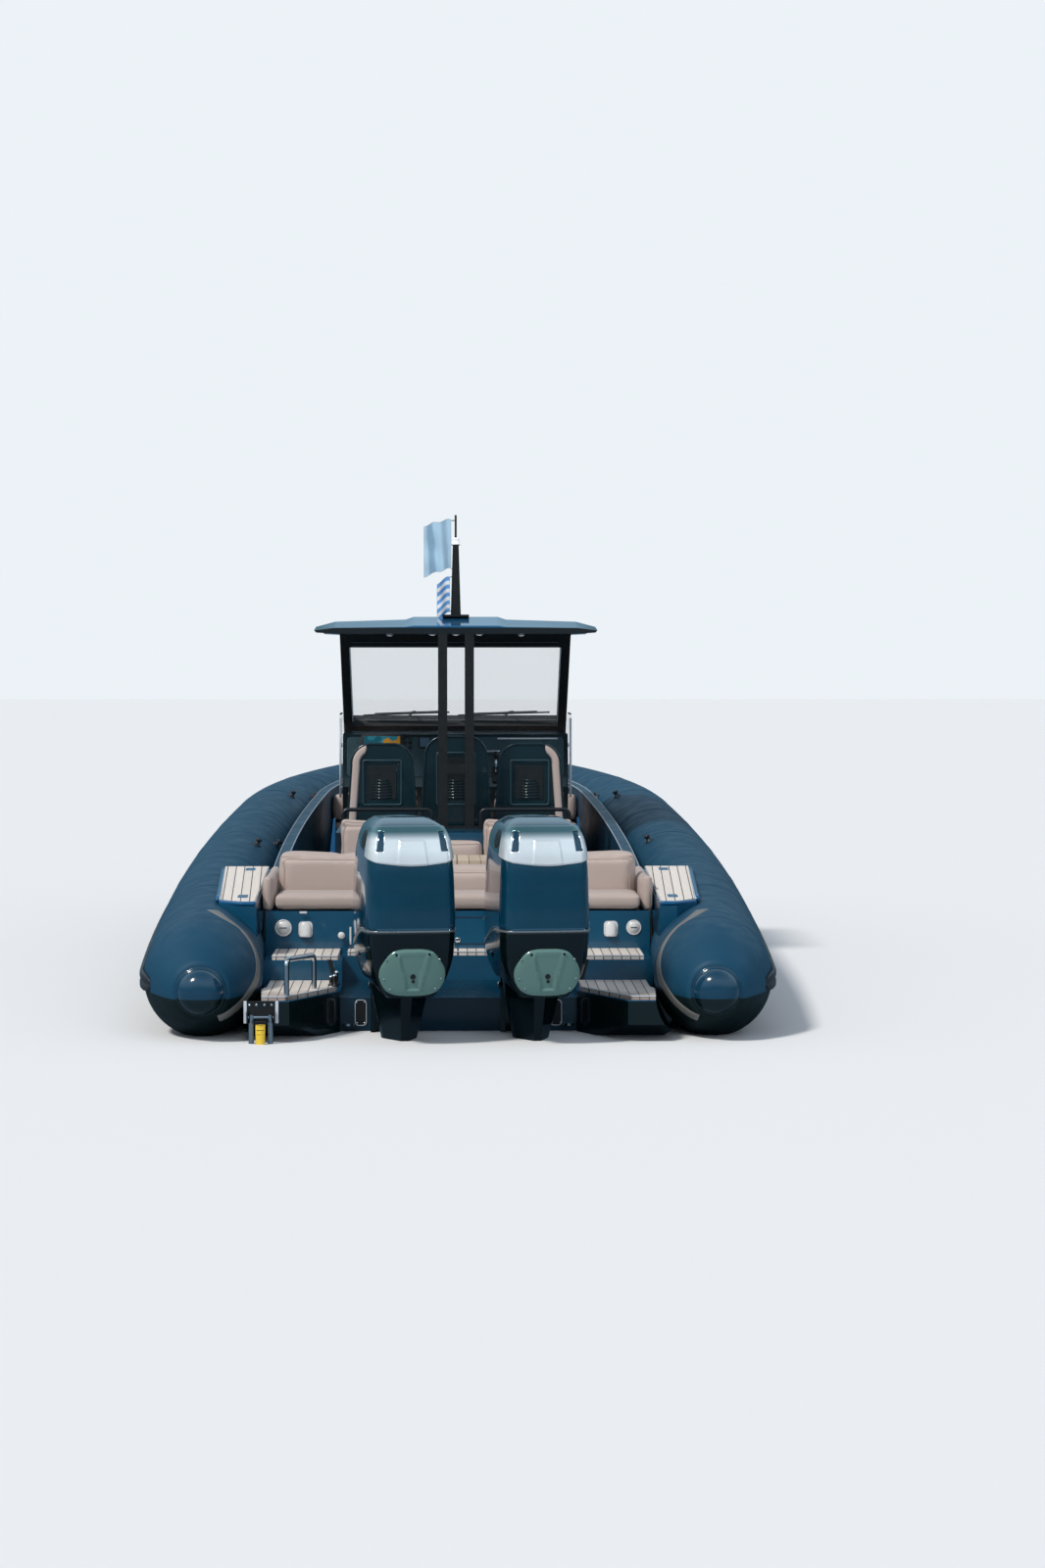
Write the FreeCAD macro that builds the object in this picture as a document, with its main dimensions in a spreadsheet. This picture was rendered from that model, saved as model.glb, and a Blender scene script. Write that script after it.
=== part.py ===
import FreeCAD, Part
import Sketcher
import math
import os
import re

# Open rigid inflatable boat, about eleven metres long, with two tilting outboard engines.
# Lengths are in millimetres and angles in degrees.
# X points to starboard, Y to the bow and Z up.
# The origin is on the waterline, where the engine transom's aft face crosses the centreline.

Vector = FreeCAD.Vector
Placement = FreeCAD.Placement
Rotation = FreeCAD.Rotation

ALONG_X = Vector(1, 0, 0)
ALONG_Y = Vector(0, 1, 0)
ALONG_Z = Vector(0, 0, 1)
ORIGIN = Vector(0, 0, 0)
PORT = -1
STARBOARD = 1
SIDES = [("port", PORT), ("starboard", STARBOARD)]

doc = FreeCAD.newDocument("rib_boat")

# Driving dimensions: alias, value, what it measures

SIZES = [
    ("seat_gap", 0.3, "clearance between pieces that rest on each other along curves"),
    ("running_gap", 0.05, "radial clearance of a shaft in its bore"),
    ("tube_radius", 320, "radius of the inflatable collar"),
    ("collar_half_breadth", 1378, "centreline to collar centre at its aft end"),
    ("collar_height", 300, "waterline to collar centre at its aft end"),
    ("sheer_angle", 3.32, "rise of the collar towards the bow"),
    ("toe_out_angle", 2.2, "outward heading of the collar at its aft end"),
    ("side_arc_radius", 79500, "plan radius of the long side of the collar"),
    ("shoulder_angle", 3.0, "inward heading where the bow arc begins"),
    ("bow_arc_radius", 6900, "plan radius of the collar's bow arc"),
    ("nose_radius", 550, "plan radius of the collar's nose"),
    ("cone_length", 560, "length of the collar's tapered aft end"),
    ("cone_end_radius", 150, "radius of the tapered end where its cap sits"),
    ("cone_cap_radius", 122, "radius of the rubber cap on the tapered end"),
    ("cone_cap_length", 110, "length of the rubber cap"),
    ("strake_thickness", 22, "how far the rubbing strake stands off the collar"),
    ("strake_height", 96, "height of the rubbing strake"),
    ("hull_drop", 120, "collar centre down to the hull's upper edge"),
    ("sole_height", 300, "waterline to the cockpit sole's top"),
    ("sole_thickness", 30, "thickness of the cockpit sole"),
    ("coaming_width", 72, "width of the coaming inside the collar"),
    ("coaming_rise", 300, "collar centre up to the coaming's top"),
    ("keel_depth", 450, "waterline down to the keel at the transom"),
    ("chine_half_breadth", 1080, "centreline to chine at the transom"),
    ("teak_thickness", 22, "thickness of a teak deck panel"),
    ("teak_margin", 24, "painted edge left round a teak panel"),
    ("platform_height", 243, "waterline to the boarding platform's teak"),
    ("platform_aft", 600, "overhang of the platforms behind the transom"),
    ("platform_aft_depth", 130, "depth of a platform's aft face"),
    ("platform_keel", 60, "waterline down to a platform's lowest edge"),
    ("well_half_width", 640, "half width of the engine well"),
    ("well_mouth_half_width", 890, "half width between the platforms at their aft ends"),
    ("well_corner", 40, "distance behind the transom where the platforms start to splay"),
    ("platform_outer_aft", 1172, "outer edge of a platform at its aft end"),
    ("well_depth", 650, "front wall of the engine well ahead of the transom"),
    ("riser_at", 360, "aft face of the upper step ahead of the transom"),
    ("step_height", 377, "waterline to the upper step's teak"),
    ("bench_at", 870, "aft face of the stern bench ahead of the transom"),
    ("bench_depth", 1030, "depth of the stern bench"),
    ("bench_height", 590, "waterline to the stern bench's top"),
    ("bench_half_width", 1085, "half width of the stern bench"),
    ("quarter_inner", 1112, "inner edge of a quarter box"),
    ("quarter_outer", 1330, "outer edge of a quarter box at its aft end"),
    ("quarter_aft", 420, "aft end of a quarter box ahead of the transom"),
    ("quarter_front", 2150, "front end of a quarter box"),
    ("quarter_rise", 326, "collar centre up to a quarter box's top"),
    ("quarter_chamfer", 120, "corner cut off the aft end of a quarter box"),
    ("cushion_thickness", 100, "thickness of a seat cushion"),
    ("stern_seat_depth", 400, "depth of the seat that faces aft"),
    ("stern_seat_overhang", 16, "how far the aft seat's cushion stands out past its box"),
    ("stern_back_thickness", 180, "thickness of the stern backrest"),
    ("stern_back_height", 905, "waterline to the stern backrest's top"),
    ("stern_back_centre_height", 825, "waterline to the top of its lower middle part"),
    ("stern_back_centre_half", 300, "half width of its lower middle part"),
    ("stern_back_half", 1030, "half width of the stern backrest"),
    ("bolster_height", 785, "waterline to a bolster's top"),
    ("cushion_gap", 6, "gap between neighbouring cushions"),
    ("table_ahead_of_bench", 250, "stern bench to the cockpit table"),
    ("table_length", 650, "length of the cockpit table"),
    ("table_half_width", 290, "half width of the cockpit table"),
    ("table_height", 800, "waterline to the table's top"),
    ("table_thickness", 32, "thickness of the table's top"),
    ("table_leg_radius", 38, "radius of the table's pedestal"),
    ("cockpit_length", 1180, "stern bench to the sofa that faces aft"),
    ("sofa_depth", 480, "depth of the sofa"),
    ("module_length", 1220, "length of the helm seat module"),
    ("module_half_width", 770, "half width of the helm seat module"),
    ("module_height", 900, "waterline to the top of the helm seat module"),
    ("sofa_base_height", 570, "waterline to the sofa's base"),
    ("sofa_back_height", 990, "waterline to the sofa backrests' top"),
    ("sofa_back_thickness", 130, "thickness of the sofa backrests"),
    ("sofa_half_width", 735, "half width of the sofa's cushions"),
    ("sofa_centre_half", 170, "half width of the sofa's middle cushion"),
    ("sofa_centre_height", 856, "waterline to the middle backrest's top"),
    ("helm_seat_spacing", 485, "distance between the helm seats' centres"),
    ("helm_seat_width", 465, "width of a helm seat"),
    ("helm_back_rise", 465, "helm seat's cushion up to an outer seat's top"),
    ("helm_centre_rise", 50, "how far the middle helm seat stands over the outer ones"),
    ("helm_seat_base", 985, "waterline to a helm seat's cushion"),
    ("helm_back_from_front", 450, "front of the module back to the helm seats' aft faces"),
    ("helm_back_thickness", 150, "thickness of a helm seat's back"),
    ("helm_seat_depth", 560, "depth of a helm seat"),
    ("helm_shell_thickness", 45, "thickness of a helm seat's shell"),
    ("helm_recess_half", 118, "half width of the recess in a helm seat's back"),
    ("helm_recess_depth", 14, "depth of that recess"),
    ("helm_floor_length", 900, "helm seat module to the console"),
    ("console_length", 1270, "length of the console"),
    ("console_half_width", 780, "half width of the console"),
    ("dash_height", 1480, "waterline to the top of the dash"),
    ("dash_low", 1120, "waterline to the lower edge of the dash"),
    ("dash_rake", 130, "how far the dash's lower edge stands aft of the console"),
    ("console_seat_depth", 470, "depth of the seat ahead of the console"),
    ("console_seat_height", 640, "waterline to that seat's base"),
    ("screen_foot_from_front", 250, "front of the console back to the windscreen's foot"),
    ("screen_lean", 1000, "how far the windscreen leans aft"),
    ("screen_top", 2130, "waterline to the windscreen's upper edge"),
    ("screen_thickness", 10, "thickness of the glass"),
    ("pillar_width", 62, "width of a windscreen pillar"),
    ("pillar_depth", 90, "depth of a windscreen pillar"),
    ("frame_half_width", 800, "half width of the windscreen frame"),
    ("header_height", 90, "height of the windscreen's header"),
    ("wing_length", 1450, "length of a side glass along its foot"),
    ("wing_top", 1630, "waterline to the top of a side glass"),
    ("wing_foot", 1050, "waterline to the foot of a side glass"),
    ("roof_length", 1750, "length of the hard top"),
    ("roof_ahead_of_screen", 350, "windscreen's head to the hard top's front edge"),
    ("roof_half_width", 930, "half width of the hard top"),
    ("roof_height", 2285, "waterline to the hard top's crown"),
    ("roof_underside", 2170, "waterline to the hard top's underside"),
    ("post_size", 60, "side of a square roof post"),
    ("post_spacing", 174, "distance between the roof posts' centres"),
    ("post_from_module", 550, "aft face of the module to the roof posts"),
    ("post_crossbar_height", 1290, "waterline to the posts' crossbar"),
    ("mast_from_roof", 320, "aft edge of the hard top to the mast"),
    ("mast_length", 475, "hard top's crown up to the mast's top"),
    ("mast_width", 68, "width of the mast's foot"),
    ("mast_tip_width", 40, "width of the mast's top"),
    ("staff_radius", 7, "radius of the flag staff"),
    ("staff_length", 200, "flag staff above the mast's top"),
    ("flag_upper_hoist", 345, "hoist of the upper flag"),
    ("flag_upper_fly", 190, "how far the upper flag reaches as it hangs"),
    ("flag_lower_hoist", 250, "hoist of the lower flag"),
    ("flag_lower_fly", 90, "how far the lower flag reaches as it hangs"),
    ("flag_fold", 14, "depth of a flag's folds"),
    ("toggle_radius", 3, "radius of the bars that hold a flag off the mast"),
    ("rail_radius", 13, "radius of a stainless rail"),
    ("module_rail_height", 1030, "waterline to the rail behind the helm seats"),
    ("rail_from_module", 400, "aft face of the module to the rail behind the helm seats"),
    ("grab_rail_height", 190, "height of the boarding grab rail"),
    ("ladder_at", 1037, "centreline to the boarding ladder, on the port side"),
    ("ladder_width", 150, "width of the ladder's bracket"),
    ("ladder_tube_radius", 14, "radius of a ladder tube"),
    ("ladder_pivot_drop", 105, "ladder's pivot below the platform's teak"),
    ("ladder_length", 820, "length of the ladder below its pivot"),
    ("ladder_step_width", 320, "width of a ladder step"),
    ("bow_seat_height", 700, "waterline to the bow lounge's seat base"),
    ("bow_back_height", 190, "height of the bow lounge's backrests"),
    ("bow_back_thickness", 110, "thickness of those backrests"),
    ("rest_height", 330, "height of the backrest ahead of the console"),
    ("rest_thickness", 90, "thickness of that backrest"),
    ("rest_inset", 100, "console's side to that backrest"),
    ("bow_deck_height", 1010, "waterline to the foredeck"),
    ("bow_seat_depth", 380, "depth of the bow lounge's front seat"),
    ("bow_passage", 10, "gap between the console's seat and the bow lounge"),
    ("bow_well_half_width", 330, "half width of the bow footwell"),
    ("bow_well_length", 1370, "length of the bow footwell"),
    ("bow_sole_height", 420, "waterline to the bow footwell's floor"),
    ("locker_half_width", 210, "half width of the anchor locker"),
    ("locker_from_deck", 150, "aft edge of the foredeck to the anchor locker"),
    ("locker_length", 430, "length of the anchor locker"),
    ("locker_depth", 330, "depth of the anchor locker"),
    ("locker_lip", 18, "width of the ledge that carries the locker's lid"),
    ("lid_gap", 6, "gap round a lid"),
    ("hinge_radius", 3.5, "radius of the locker lid's hinge bar"),
    ("eye_hole_radius", 12, "radius of the hole in a towing eye"),
    ("eye_radius", 30, "outer radius of a towing eye"),
    ("eye_thickness", 12, "thickness of a towing eye"),
    ("engine_spacing", 700, "distance between the engines' centres"),
    ("engine_turn", 9, "steering angle at which the engines rest"),
    ("tilt_height", 250, "waterline to the engines' tilt axis"),
    ("steer_behind", 120, "transom to the engines' steering axis"),
    ("tilt_tube_radius", 22, "radius of the tilt tube"),
    ("kingpin_radius", 18, "radius of the steering pin"),
    ("swivel_radius", 44, "radius of the swivel bracket's tube"),
    ("swivel_top", 292, "waterline to the swivel bracket's top"),
    ("swivel_foot", 150, "waterline down to the swivel bracket's foot"),
    ("cheek_inner", 98, "engine's centre to the inner face of a clamp cheek"),
    ("cheek_thickness", 26, "thickness of a clamp cheek"),
    ("cheek_foot", 210, "waterline down to the foot of a clamp cheek"),
    ("cowl_half_width", 238, "half width of the cowl"),
    ("cowl_rear_half", 186, "half width of the cowl's rear panel"),
    ("cowl_front", 20, "front of the cowl ahead of the transom"),
    ("cowl_rear", 830, "rear of the cowl behind the transom"),
    ("cowl_foot", 335, "waterline to the lower cowl's foot"),
    ("cowl_seam", 580, "waterline to the seam between the cowls"),
    ("cowl_shoulder", 1020, "waterline to the lower edge of the cap"),
    ("cowl_top", 1180, "waterline to the cowl's top"),
    ("cowl_gap", 2, "shut line between the cowls"),
    ("cover_half_width", 175, "half width of the oval rear cover"),
    ("cover_half_height", 124, "half height of the oval rear cover"),
    ("cover_height", 387, "waterline to the oval rear cover's centre"),
    ("cover_thickness", 36, "thickness of the oval rear cover"),
    ("skirt_foot", 236, "waterline to the foot of the lower cowl's rear skirt"),
    ("leg_half_width", 74, "half width of the leg at the waterline"),
    ("plate_depth", 450, "waterline down to the anti-ventilation plate"),
    ("plate_half_width", 145, "half width of the anti-ventilation plate"),
    ("plate_thickness", 12, "thickness of the anti-ventilation plate"),
    ("shaft_depth", 652, "waterline down to the propeller shaft"),
    ("gearcase_radius", 66, "radius of the gearcase"),
    ("gearcase_front", 150, "transom to the gearcase's nose"),
    ("gearcase_rear", 560, "transom to the gearcase's rear face"),
    ("skeg_depth", 950, "waterline down to the skeg"),
    ("skeg_thickness", 16, "thickness of the skeg"),
    ("propeller_radius", 184, "radius of a propeller"),
    ("propeller_hub_radius", 56, "radius of a propeller's hub"),
    ("propeller_hub_length", 86, "length of a propeller's hub"),
    ("propeller_gap", 3, "gap between a propeller and what is ahead of it"),
    ("propeller_shaft_radius", 16, "radius of the propeller shaft"),
    ("propeller_pitch", 560, "pitch of a propeller"),
    ("blade_thickness", 9, "thickness of a propeller blade at its root"),
    ("helm_wheel_radius", 168, "radius of the helm wheel's rim"),
    ("helm_rim_radius", 14, "radius of the rim's section"),
    ("helm_wheel_drop", 235, "top of the dash down to the helm wheel's shaft"),
    ("helm_wheel_stand_off", 165, "helm wheel's centre off the dash"),
]

# Places and heights that follow from those sizes

PLACES = [
    ("bench_front", "bench_at + bench_depth", "front face of the stern bench"),
    ("table_aft", "bench_front + table_ahead_of_bench", "aft edge of the cockpit table"),
    ("table_front", "table_aft + table_length", "front edge of the cockpit table"),
    ("sofa_aft", "bench_front + cockpit_length", "aft edge of the sofa that faces aft"),
    ("module_aft", "sofa_aft + sofa_depth", "aft face of the helm seat module"),
    ("module_front", "module_aft + module_length", "front face of the helm seat module"),
    ("helm_back_at", "module_front - helm_back_from_front", "aft face of the helm seats"),
    ("module_rail_at", "module_aft + rail_from_module", "rail behind the helm seats"),
    ("post_at", "module_aft + post_from_module", "aft face of the roof posts"),
    ("console_aft", "module_front + helm_floor_length", "aft face of the console"),
    ("console_front", "console_aft + console_length", "front face of the console"),
    ("console_seat_front", "console_front + console_seat_depth", "front of the seat ahead of the console"),
    ("screen_foot", "console_front - screen_foot_from_front", "lower edge of the windscreen"),
    ("screen_head", "screen_foot - screen_lean", "upper edge of the windscreen"),
    ("wing_aft", "screen_foot - wing_length", "aft edge of a side glass"),
    ("roof_front", "screen_head + roof_ahead_of_screen", "front edge of the hard top"),
    ("roof_aft", "roof_front - roof_length", "aft edge of the hard top"),
    ("mast_at", "roof_aft + mast_from_roof", "aft face of the mast"),
    ("bow_moulding_at", "console_seat_front + bow_passage", "aft edge of the bow lounge"),
    ("bow_well_front", "bow_moulding_at + bow_well_length", "front of the bow footwell"),
    ("bow_deck_at", "bow_well_front + bow_seat_depth", "aft edge of the foredeck"),
    ("locker_aft", "bow_deck_at + locker_from_deck", "aft edge of the anchor locker"),
    ("locker_front", "locker_aft + locker_length", "front edge of the anchor locker"),
    ("mast_height", "roof_height + mast_length", "waterline to the mast's top"),
    ("staff_height", "mast_height + staff_length", "waterline to the flag staff's top"),
    ("helm_seat_height", "helm_seat_base + helm_back_rise", "waterline to the top of an outer helm seat"),
    ("helm_seat_centre_height", "helm_seat_height + helm_centre_rise", "waterline to the top of the middle helm seat"),
    ("helm_wheel_height", "dash_height - helm_wheel_drop", "waterline to the helm wheel's shaft on the dash"),
]

sheet = doc.addObject("Spreadsheet::Sheet", "Sizes")
for row, (alias, number, note) in enumerate(SIZES, start=1):
    sheet.set("A%d" % row, alias)
    sheet.set("B%d" % row, str(number))
    sheet.set("C%d" % row, note)
    sheet.setAlias("B%d" % row, alias)
for row, (alias, formula, note) in enumerate(PLACES, start=len(SIZES) + 1):
    sheet.set("A%d" % row, alias)
    sheet.set("B%d" % row, "=" + formula)
    sheet.set("C%d" % row, note)
    sheet.setAlias("B%d" % row, alias)
doc.recompute()


def size(alias):
    """One driving dimension, read from the sheet."""
    return float(sheet.get(alias))


def bound(formula):
    """A formula in words, with the sheet's name put before each alias."""
    return re.sub(r"[a-z][a-z_]+", lambda word: "Sizes." + word.group(0), str(formula))


# Ways to make a piece

NODES = []


def node(label, thing):
    """Marks an object as a sub-part of the boat."""
    thing.Label = label
    NODES.append(thing)
    return thing


def sketch_of(body, plane, corners, side=1, offset="0"):
    """A closed sketch of straight lines, each corner bound to the sheet."""
    sketch = body.newObject("Sketcher::SketchObject", body.Name + "_sketch")
    base = [item for item in body.Origin.OriginFeatures if item.Role == plane + "_Plane"][0]
    sketch.AttachmentSupport = [(base, "")]
    sketch.MapMode = "FlatFace"
    count = len(corners)
    turn = 2 * math.pi / count
    start = [Vector(1000 * math.cos(turn * i), 1000 * math.sin(turn * i), 0) for i in range(count)]
    for i in range(count):
        sketch.addGeometry(Part.LineSegment(start[i], start[(i + 1) % count]), False)
    for i in range(count):
        sketch.addConstraint(Sketcher.Constraint("Coincident", i, 2, (i + 1) % count, 1))
    mirrored = side if plane != "YZ" else 1
    for i, (across, up) in enumerate(corners):
        first = sketch.addConstraint(Sketcher.Constraint("DistanceX", -1, 1, i, 1, start[i].x))
        second = sketch.addConstraint(Sketcher.Constraint("DistanceY", -1, 1, i, 1, start[i].y))
        sketch.setExpression("Constraints[%d]" % first, "%d * (%s)" % (mirrored, bound(across)))
        sketch.setExpression("Constraints[%d]" % second, bound(up))
    facing = -1 if plane == "XZ" else 1
    sketch.setExpression("AttachmentOffset.Base.z", "%d * (%s)" % (facing, bound(offset)))
    return sketch


def prism(label, plane, corners, start, end, side=1):
    """A padded sketch that runs from start to end along the plane's normal."""
    body = doc.addObject("PartDesign::Body", label)
    begin = start
    if plane == "YZ" and side == PORT:
        begin = "0 - (%s)" % end
    sketch = sketch_of(body, plane, corners, side, begin)
    pad = body.newObject("PartDesign::Pad", label + "_pad")
    pad.Profile = sketch
    pad.setExpression("Length", bound("(%s) - (%s)" % (end, start)))
    pad.Reversed = plane == "XZ"
    body.Tip = pad
    return body


def block(label, across, along, up, side=1):
    """A box between two distances across, along and up."""
    corners = [(across[0], along[0]), (across[1], along[0]), (across[1], along[1]), (across[0], along[1])]
    return prism(label, "XY", corners, up[0], up[1], side)


def rounded(body, alias, chosen):
    """Rounds the edges of a body that a test picks, by one size of the sheet."""
    doc.recompute()
    tip = body.Tip
    names = ["Edge%d" % (i + 1) for i, edge in enumerate(tip.Shape.Edges) if chosen(edge)]
    fillet = body.newObject("PartDesign::Fillet", body.Name + "_fillet")
    fillet.Base = (tip, names)
    fillet.setExpression("Radius", bound(alias))
    body.Tip = fillet
    return body


def is_along(edge, direction):
    """Tells whether an edge is a straight line along a direction."""
    if edge.Curve.TypeId != "Part::GeomLine":
        return False
    return abs(abs(edge.Curve.Direction.dot(direction)) - 1) < 1e-6


def made(label, shape, placement=None):
    """A feature whose shape comes from functions of this script."""
    feature = doc.addObject("Part::Feature", label)
    feature.Shape = shape
    if placement is not None:
        feature.Placement = placement.multiply(shape.Placement)
    return feature


def apart(label, things):
    """Like pieces that don't touch, kept as one sub-part."""
    compound = doc.addObject("Part::Compound", label)
    compound.Links = things
    return compound


def joined(label, things):
    """Pieces joined into one."""
    fusion = doc.addObject("Part::MultiFuse", label)
    fusion.Shapes = things
    fusion.Refine = True
    return fusion


def without(label, base, tool):
    """A piece with another cut out of it."""
    cut = doc.addObject("Part::Cut", label)
    cut.Base = base
    cut.Tool = tool
    return cut


def rod(start, end, radius):
    """A round bar between two points."""
    return Part.makeCylinder(radius, (end - start).Length, start, end - start)


def bent_bar(points, radius, bend):
    """A round bar through points in one plane, with an arc at each bend."""
    edges = []
    last = points[0]
    for before, corner, after in zip(points, points[1:], points[2:]):
        into = (corner - before).normalize()
        out = (after - corner).normalize()
        turn = into.getAngle(out)
        cut = bend * math.tan(turn / 2)
        first = corner - into * cut
        second = corner + out * cut
        middle = (out - into).normalize()
        middle = corner + middle * (bend / math.cos(turn / 2) - bend)
        edges.append(Part.makeLine(last, first))
        edges.append(Part.Arc(first, middle, second).toShape())
        last = second
    edges.append(Part.makeLine(last, points[-1]))
    path = Part.Wire(edges)
    ring = Part.Face(Part.Wire(Part.makeCircle(radius, points[0], points[1] - points[0])))
    return path.makePipe(ring)


# The collar's centreline, drawn flat and then laid on the sheer

SHEER = Placement(Vector(0, 0, size("collar_height")), Rotation(ALONG_X, size("sheer_angle")))
SLOPE = math.tan(math.radians(size("sheer_angle")))
TUBE = size("tube_radius")
GAP = size("seat_gap")
FAR = 20000


def collar_arcs():
    """Centre, radius and two headings of each starboard arc, from the stern to the nose."""
    toe = math.radians(size("toe_out_angle"))
    shoulder = math.radians(size("shoulder_angle"))
    side_radius = size("side_arc_radius")
    bow_radius = size("bow_arc_radius")
    nose = size("nose_radius")
    side_centre = Vector(size("collar_half_breadth") - side_radius * math.cos(toe), side_radius * math.sin(toe), 0)
    outward = Vector(math.cos(shoulder), math.sin(shoulder), 0)
    bow_centre = side_centre + outward * (side_radius - bow_radius)
    last = math.acos(-bow_centre.x / (bow_radius - nose))
    nose_centre = bow_centre + Vector(math.cos(last), math.sin(last), 0) * (bow_radius - nose)
    return [
        (side_centre, side_radius, -toe, shoulder),
        (bow_centre, bow_radius, shoulder, last),
        (nose_centre, nose, last, math.pi / 2),
    ]


ARCS = collar_arcs()


def on_arc(centre, radius, heading):
    """The point of an arc at a heading."""
    return centre + Vector(radius * math.cos(heading), radius * math.sin(heading), 0)


def arc_edge(centre, radius, start, end):
    """An arc between two headings."""
    ends = [on_arc(centre, radius, heading) for heading in (start, (start + end) / 2, end)]
    return Part.Arc(*ends).toShape()


def half_breadth(along, inset=0):
    """Centreline to the collar's centreline, less an inset, at a distance along the sheer."""
    for centre, radius, start, end in ARCS:
        shorter = radius - inset
        rise = (along - centre.y) / shorter
        if rise <= math.sin(end) or end == ARCS[-1][3]:
            rise = max(-1, min(1, rise))
            return centre.x + shorter * math.sqrt(1 - rise * rise)


def side_edges(inset, start_along):
    """Starboard edges of the collar's line, set inwards, from a distance along the sheer to the nose."""
    edges = []
    for centre, radius, start, end in ARCS:
        shorter = radius - inset
        low = start
        if on_arc(centre, shorter, end).y <= start_along:
            continue
        if on_arc(centre, shorter, start).y < start_along:
            low = math.asin((start_along - centre.y) / shorter)
        edges.append(arc_edge(centre, shorter, low, end))
    return edges


def mirrored(shape):
    """The same shape on the other side of the boat."""
    return shape.mirror(ORIGIN, ALONG_X)


def inside_plan(inset, start_along, end_along=None):
    """Face inside the collar's line set inwards, between two distances along the sheer."""
    right = side_edges(inset, start_along)
    left = [mirrored(edge) for edge in right]
    first = right[0].Vertexes[0].Point
    closing = Part.makeLine(Vector(-first.x, first.y, 0), first)
    face = Part.Face(Part.Wire(Part.__sortEdges__(right + left + [closing])))
    if end_along is not None:
        keep = Part.makePlane(2 * FAR, end_along + FAR, Vector(-FAR, -FAR, 0))
        face = face.common(keep).Faces[0]
    return face


def raised(face, low, high):
    """A flat face made solid between two heights over the sheer, and laid on it."""
    solid = face.extrude(Vector(0, 0, high - low))
    solid.translate(Vector(0, 0, low))
    solid.Placement = SHEER.multiply(solid.Placement)
    return solid


def level_box(low, high, aft=-FAR, front=FAR, half=FAR):
    """A box between two levels, which keeps or cuts what is inside it."""
    return Part.makeBox(2 * half, front - aft, high - low, Vector(-half, aft, low))


# Collar: two side chambers with tapered ends, and the bow chamber

def cone_profile():
    """Half outline of a tapered end: distance aft and radius of its corners."""
    length = size("cone_length")
    end = size("cone_end_radius")
    cap = size("cone_cap_radius")
    tip = length + size("cone_cap_length")
    bow = (length ** 2 + (TUBE - end) ** 2) / (2 * (TUBE - end))
    middle = length / 2
    half = Vector(middle, TUBE - (bow - math.sqrt(bow ** 2 - middle ** 2)), 0)
    shelf = (TUBE - cap) * 0.08
    taper = Part.Arc(Vector(0, TUBE, 0), half, Vector(length, end, 0)).toShape()
    step = Part.makeLine(Vector(length, end, 0), Vector(length, cap, 0))
    wall = Part.makeLine(Vector(length, cap, 0), Vector(length + shelf, cap, 0))
    reach = tip - length - shelf
    bulge = Vector(length + shelf + reach * 0.76, cap * 0.72, 0)
    dome = Part.Arc(Vector(length + shelf, cap, 0), bulge, Vector(tip, cap * 0.3, 0)).toShape()
    flat = Part.makeLine(Vector(tip, cap * 0.3, 0), Vector(tip, 0, 0))
    axis = Part.makeLine(Vector(tip, 0, 0), ORIGIN)
    foot = Part.makeLine(ORIGIN, Vector(0, TUBE, 0))
    return bow, Part.Face(Part.Wire([taper, step, wall, dome, flat, axis, foot]))


CONE_BOW, CONE_FACE = cone_profile()
AFT_END = on_arc(ARCS[0][0], ARCS[0][1], ARCS[0][2])
AFT_OUTWARD = Vector(math.cos(ARCS[0][2]), math.sin(ARCS[0][2]), 0)
AFT_BACK = Vector(AFT_OUTWARD.y, -AFT_OUTWARD.x, 0)


def tapered_end():
    """Starboard tapered end, in the plane of the collar."""
    solid = CONE_FACE.revolve(ORIGIN, ALONG_X, 360)
    solid.Placement = Placement(AFT_END, Rotation(ALONG_X, AFT_BACK))
    return solid


def tube_along(arc, radius):
    """A tube round one arc of the collar's line."""
    centre, bend, start, end = arc
    tangent = Vector(-math.sin(start), math.cos(start), 0)
    ring = Part.Face(Part.Wire(Part.makeCircle(radius, on_arc(centre, bend, start), tangent)))
    return ring.revolve(centre, ALONG_Z, math.degrees(end - start))


def laid(shape):
    """A flat shape laid on the sheer."""
    copy = shape.copy()
    copy.Placement = SHEER.multiply(copy.Placement)
    return copy


SIDE_TUBE = tube_along(ARCS[0], TUBE).fuse(tapered_end()).removeSplitter()
BOW_HALF = tube_along(ARCS[1], TUBE).fuse(tube_along(ARCS[2], TUBE))
BOW_TUBE = BOW_HALF.fuse(mirrored(BOW_HALF)).removeSplitter()
node("tube_starboard", made("tube_starboard", SIDE_TUBE, SHEER))
node("tube_port", made("tube_port", mirrored(SIDE_TUBE), SHEER))
node("tube_bow", made("tube_bow", BOW_TUBE, SHEER))


def collar_cutter():
    """The whole collar a little larger, for seats that are cut to it."""
    fat = TUBE + GAP
    start = ARCS[0][2] - math.asin((size("cone_length") + size("cone_cap_length")) / ARCS[0][1])
    side = tube_along((ARCS[0][0], ARCS[0][1], start, ARCS[0][3]), fat)
    half = side.fuse([tube_along(ARCS[1], fat), tube_along(ARCS[2], fat)])
    return [laid(half), laid(mirrored(half))]


CUTTERS = collar_cutter()


def clear_of_collar(shape):
    """A shape with the collar's seat cut out of it."""
    return shape.cut(CUTTERS)


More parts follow.
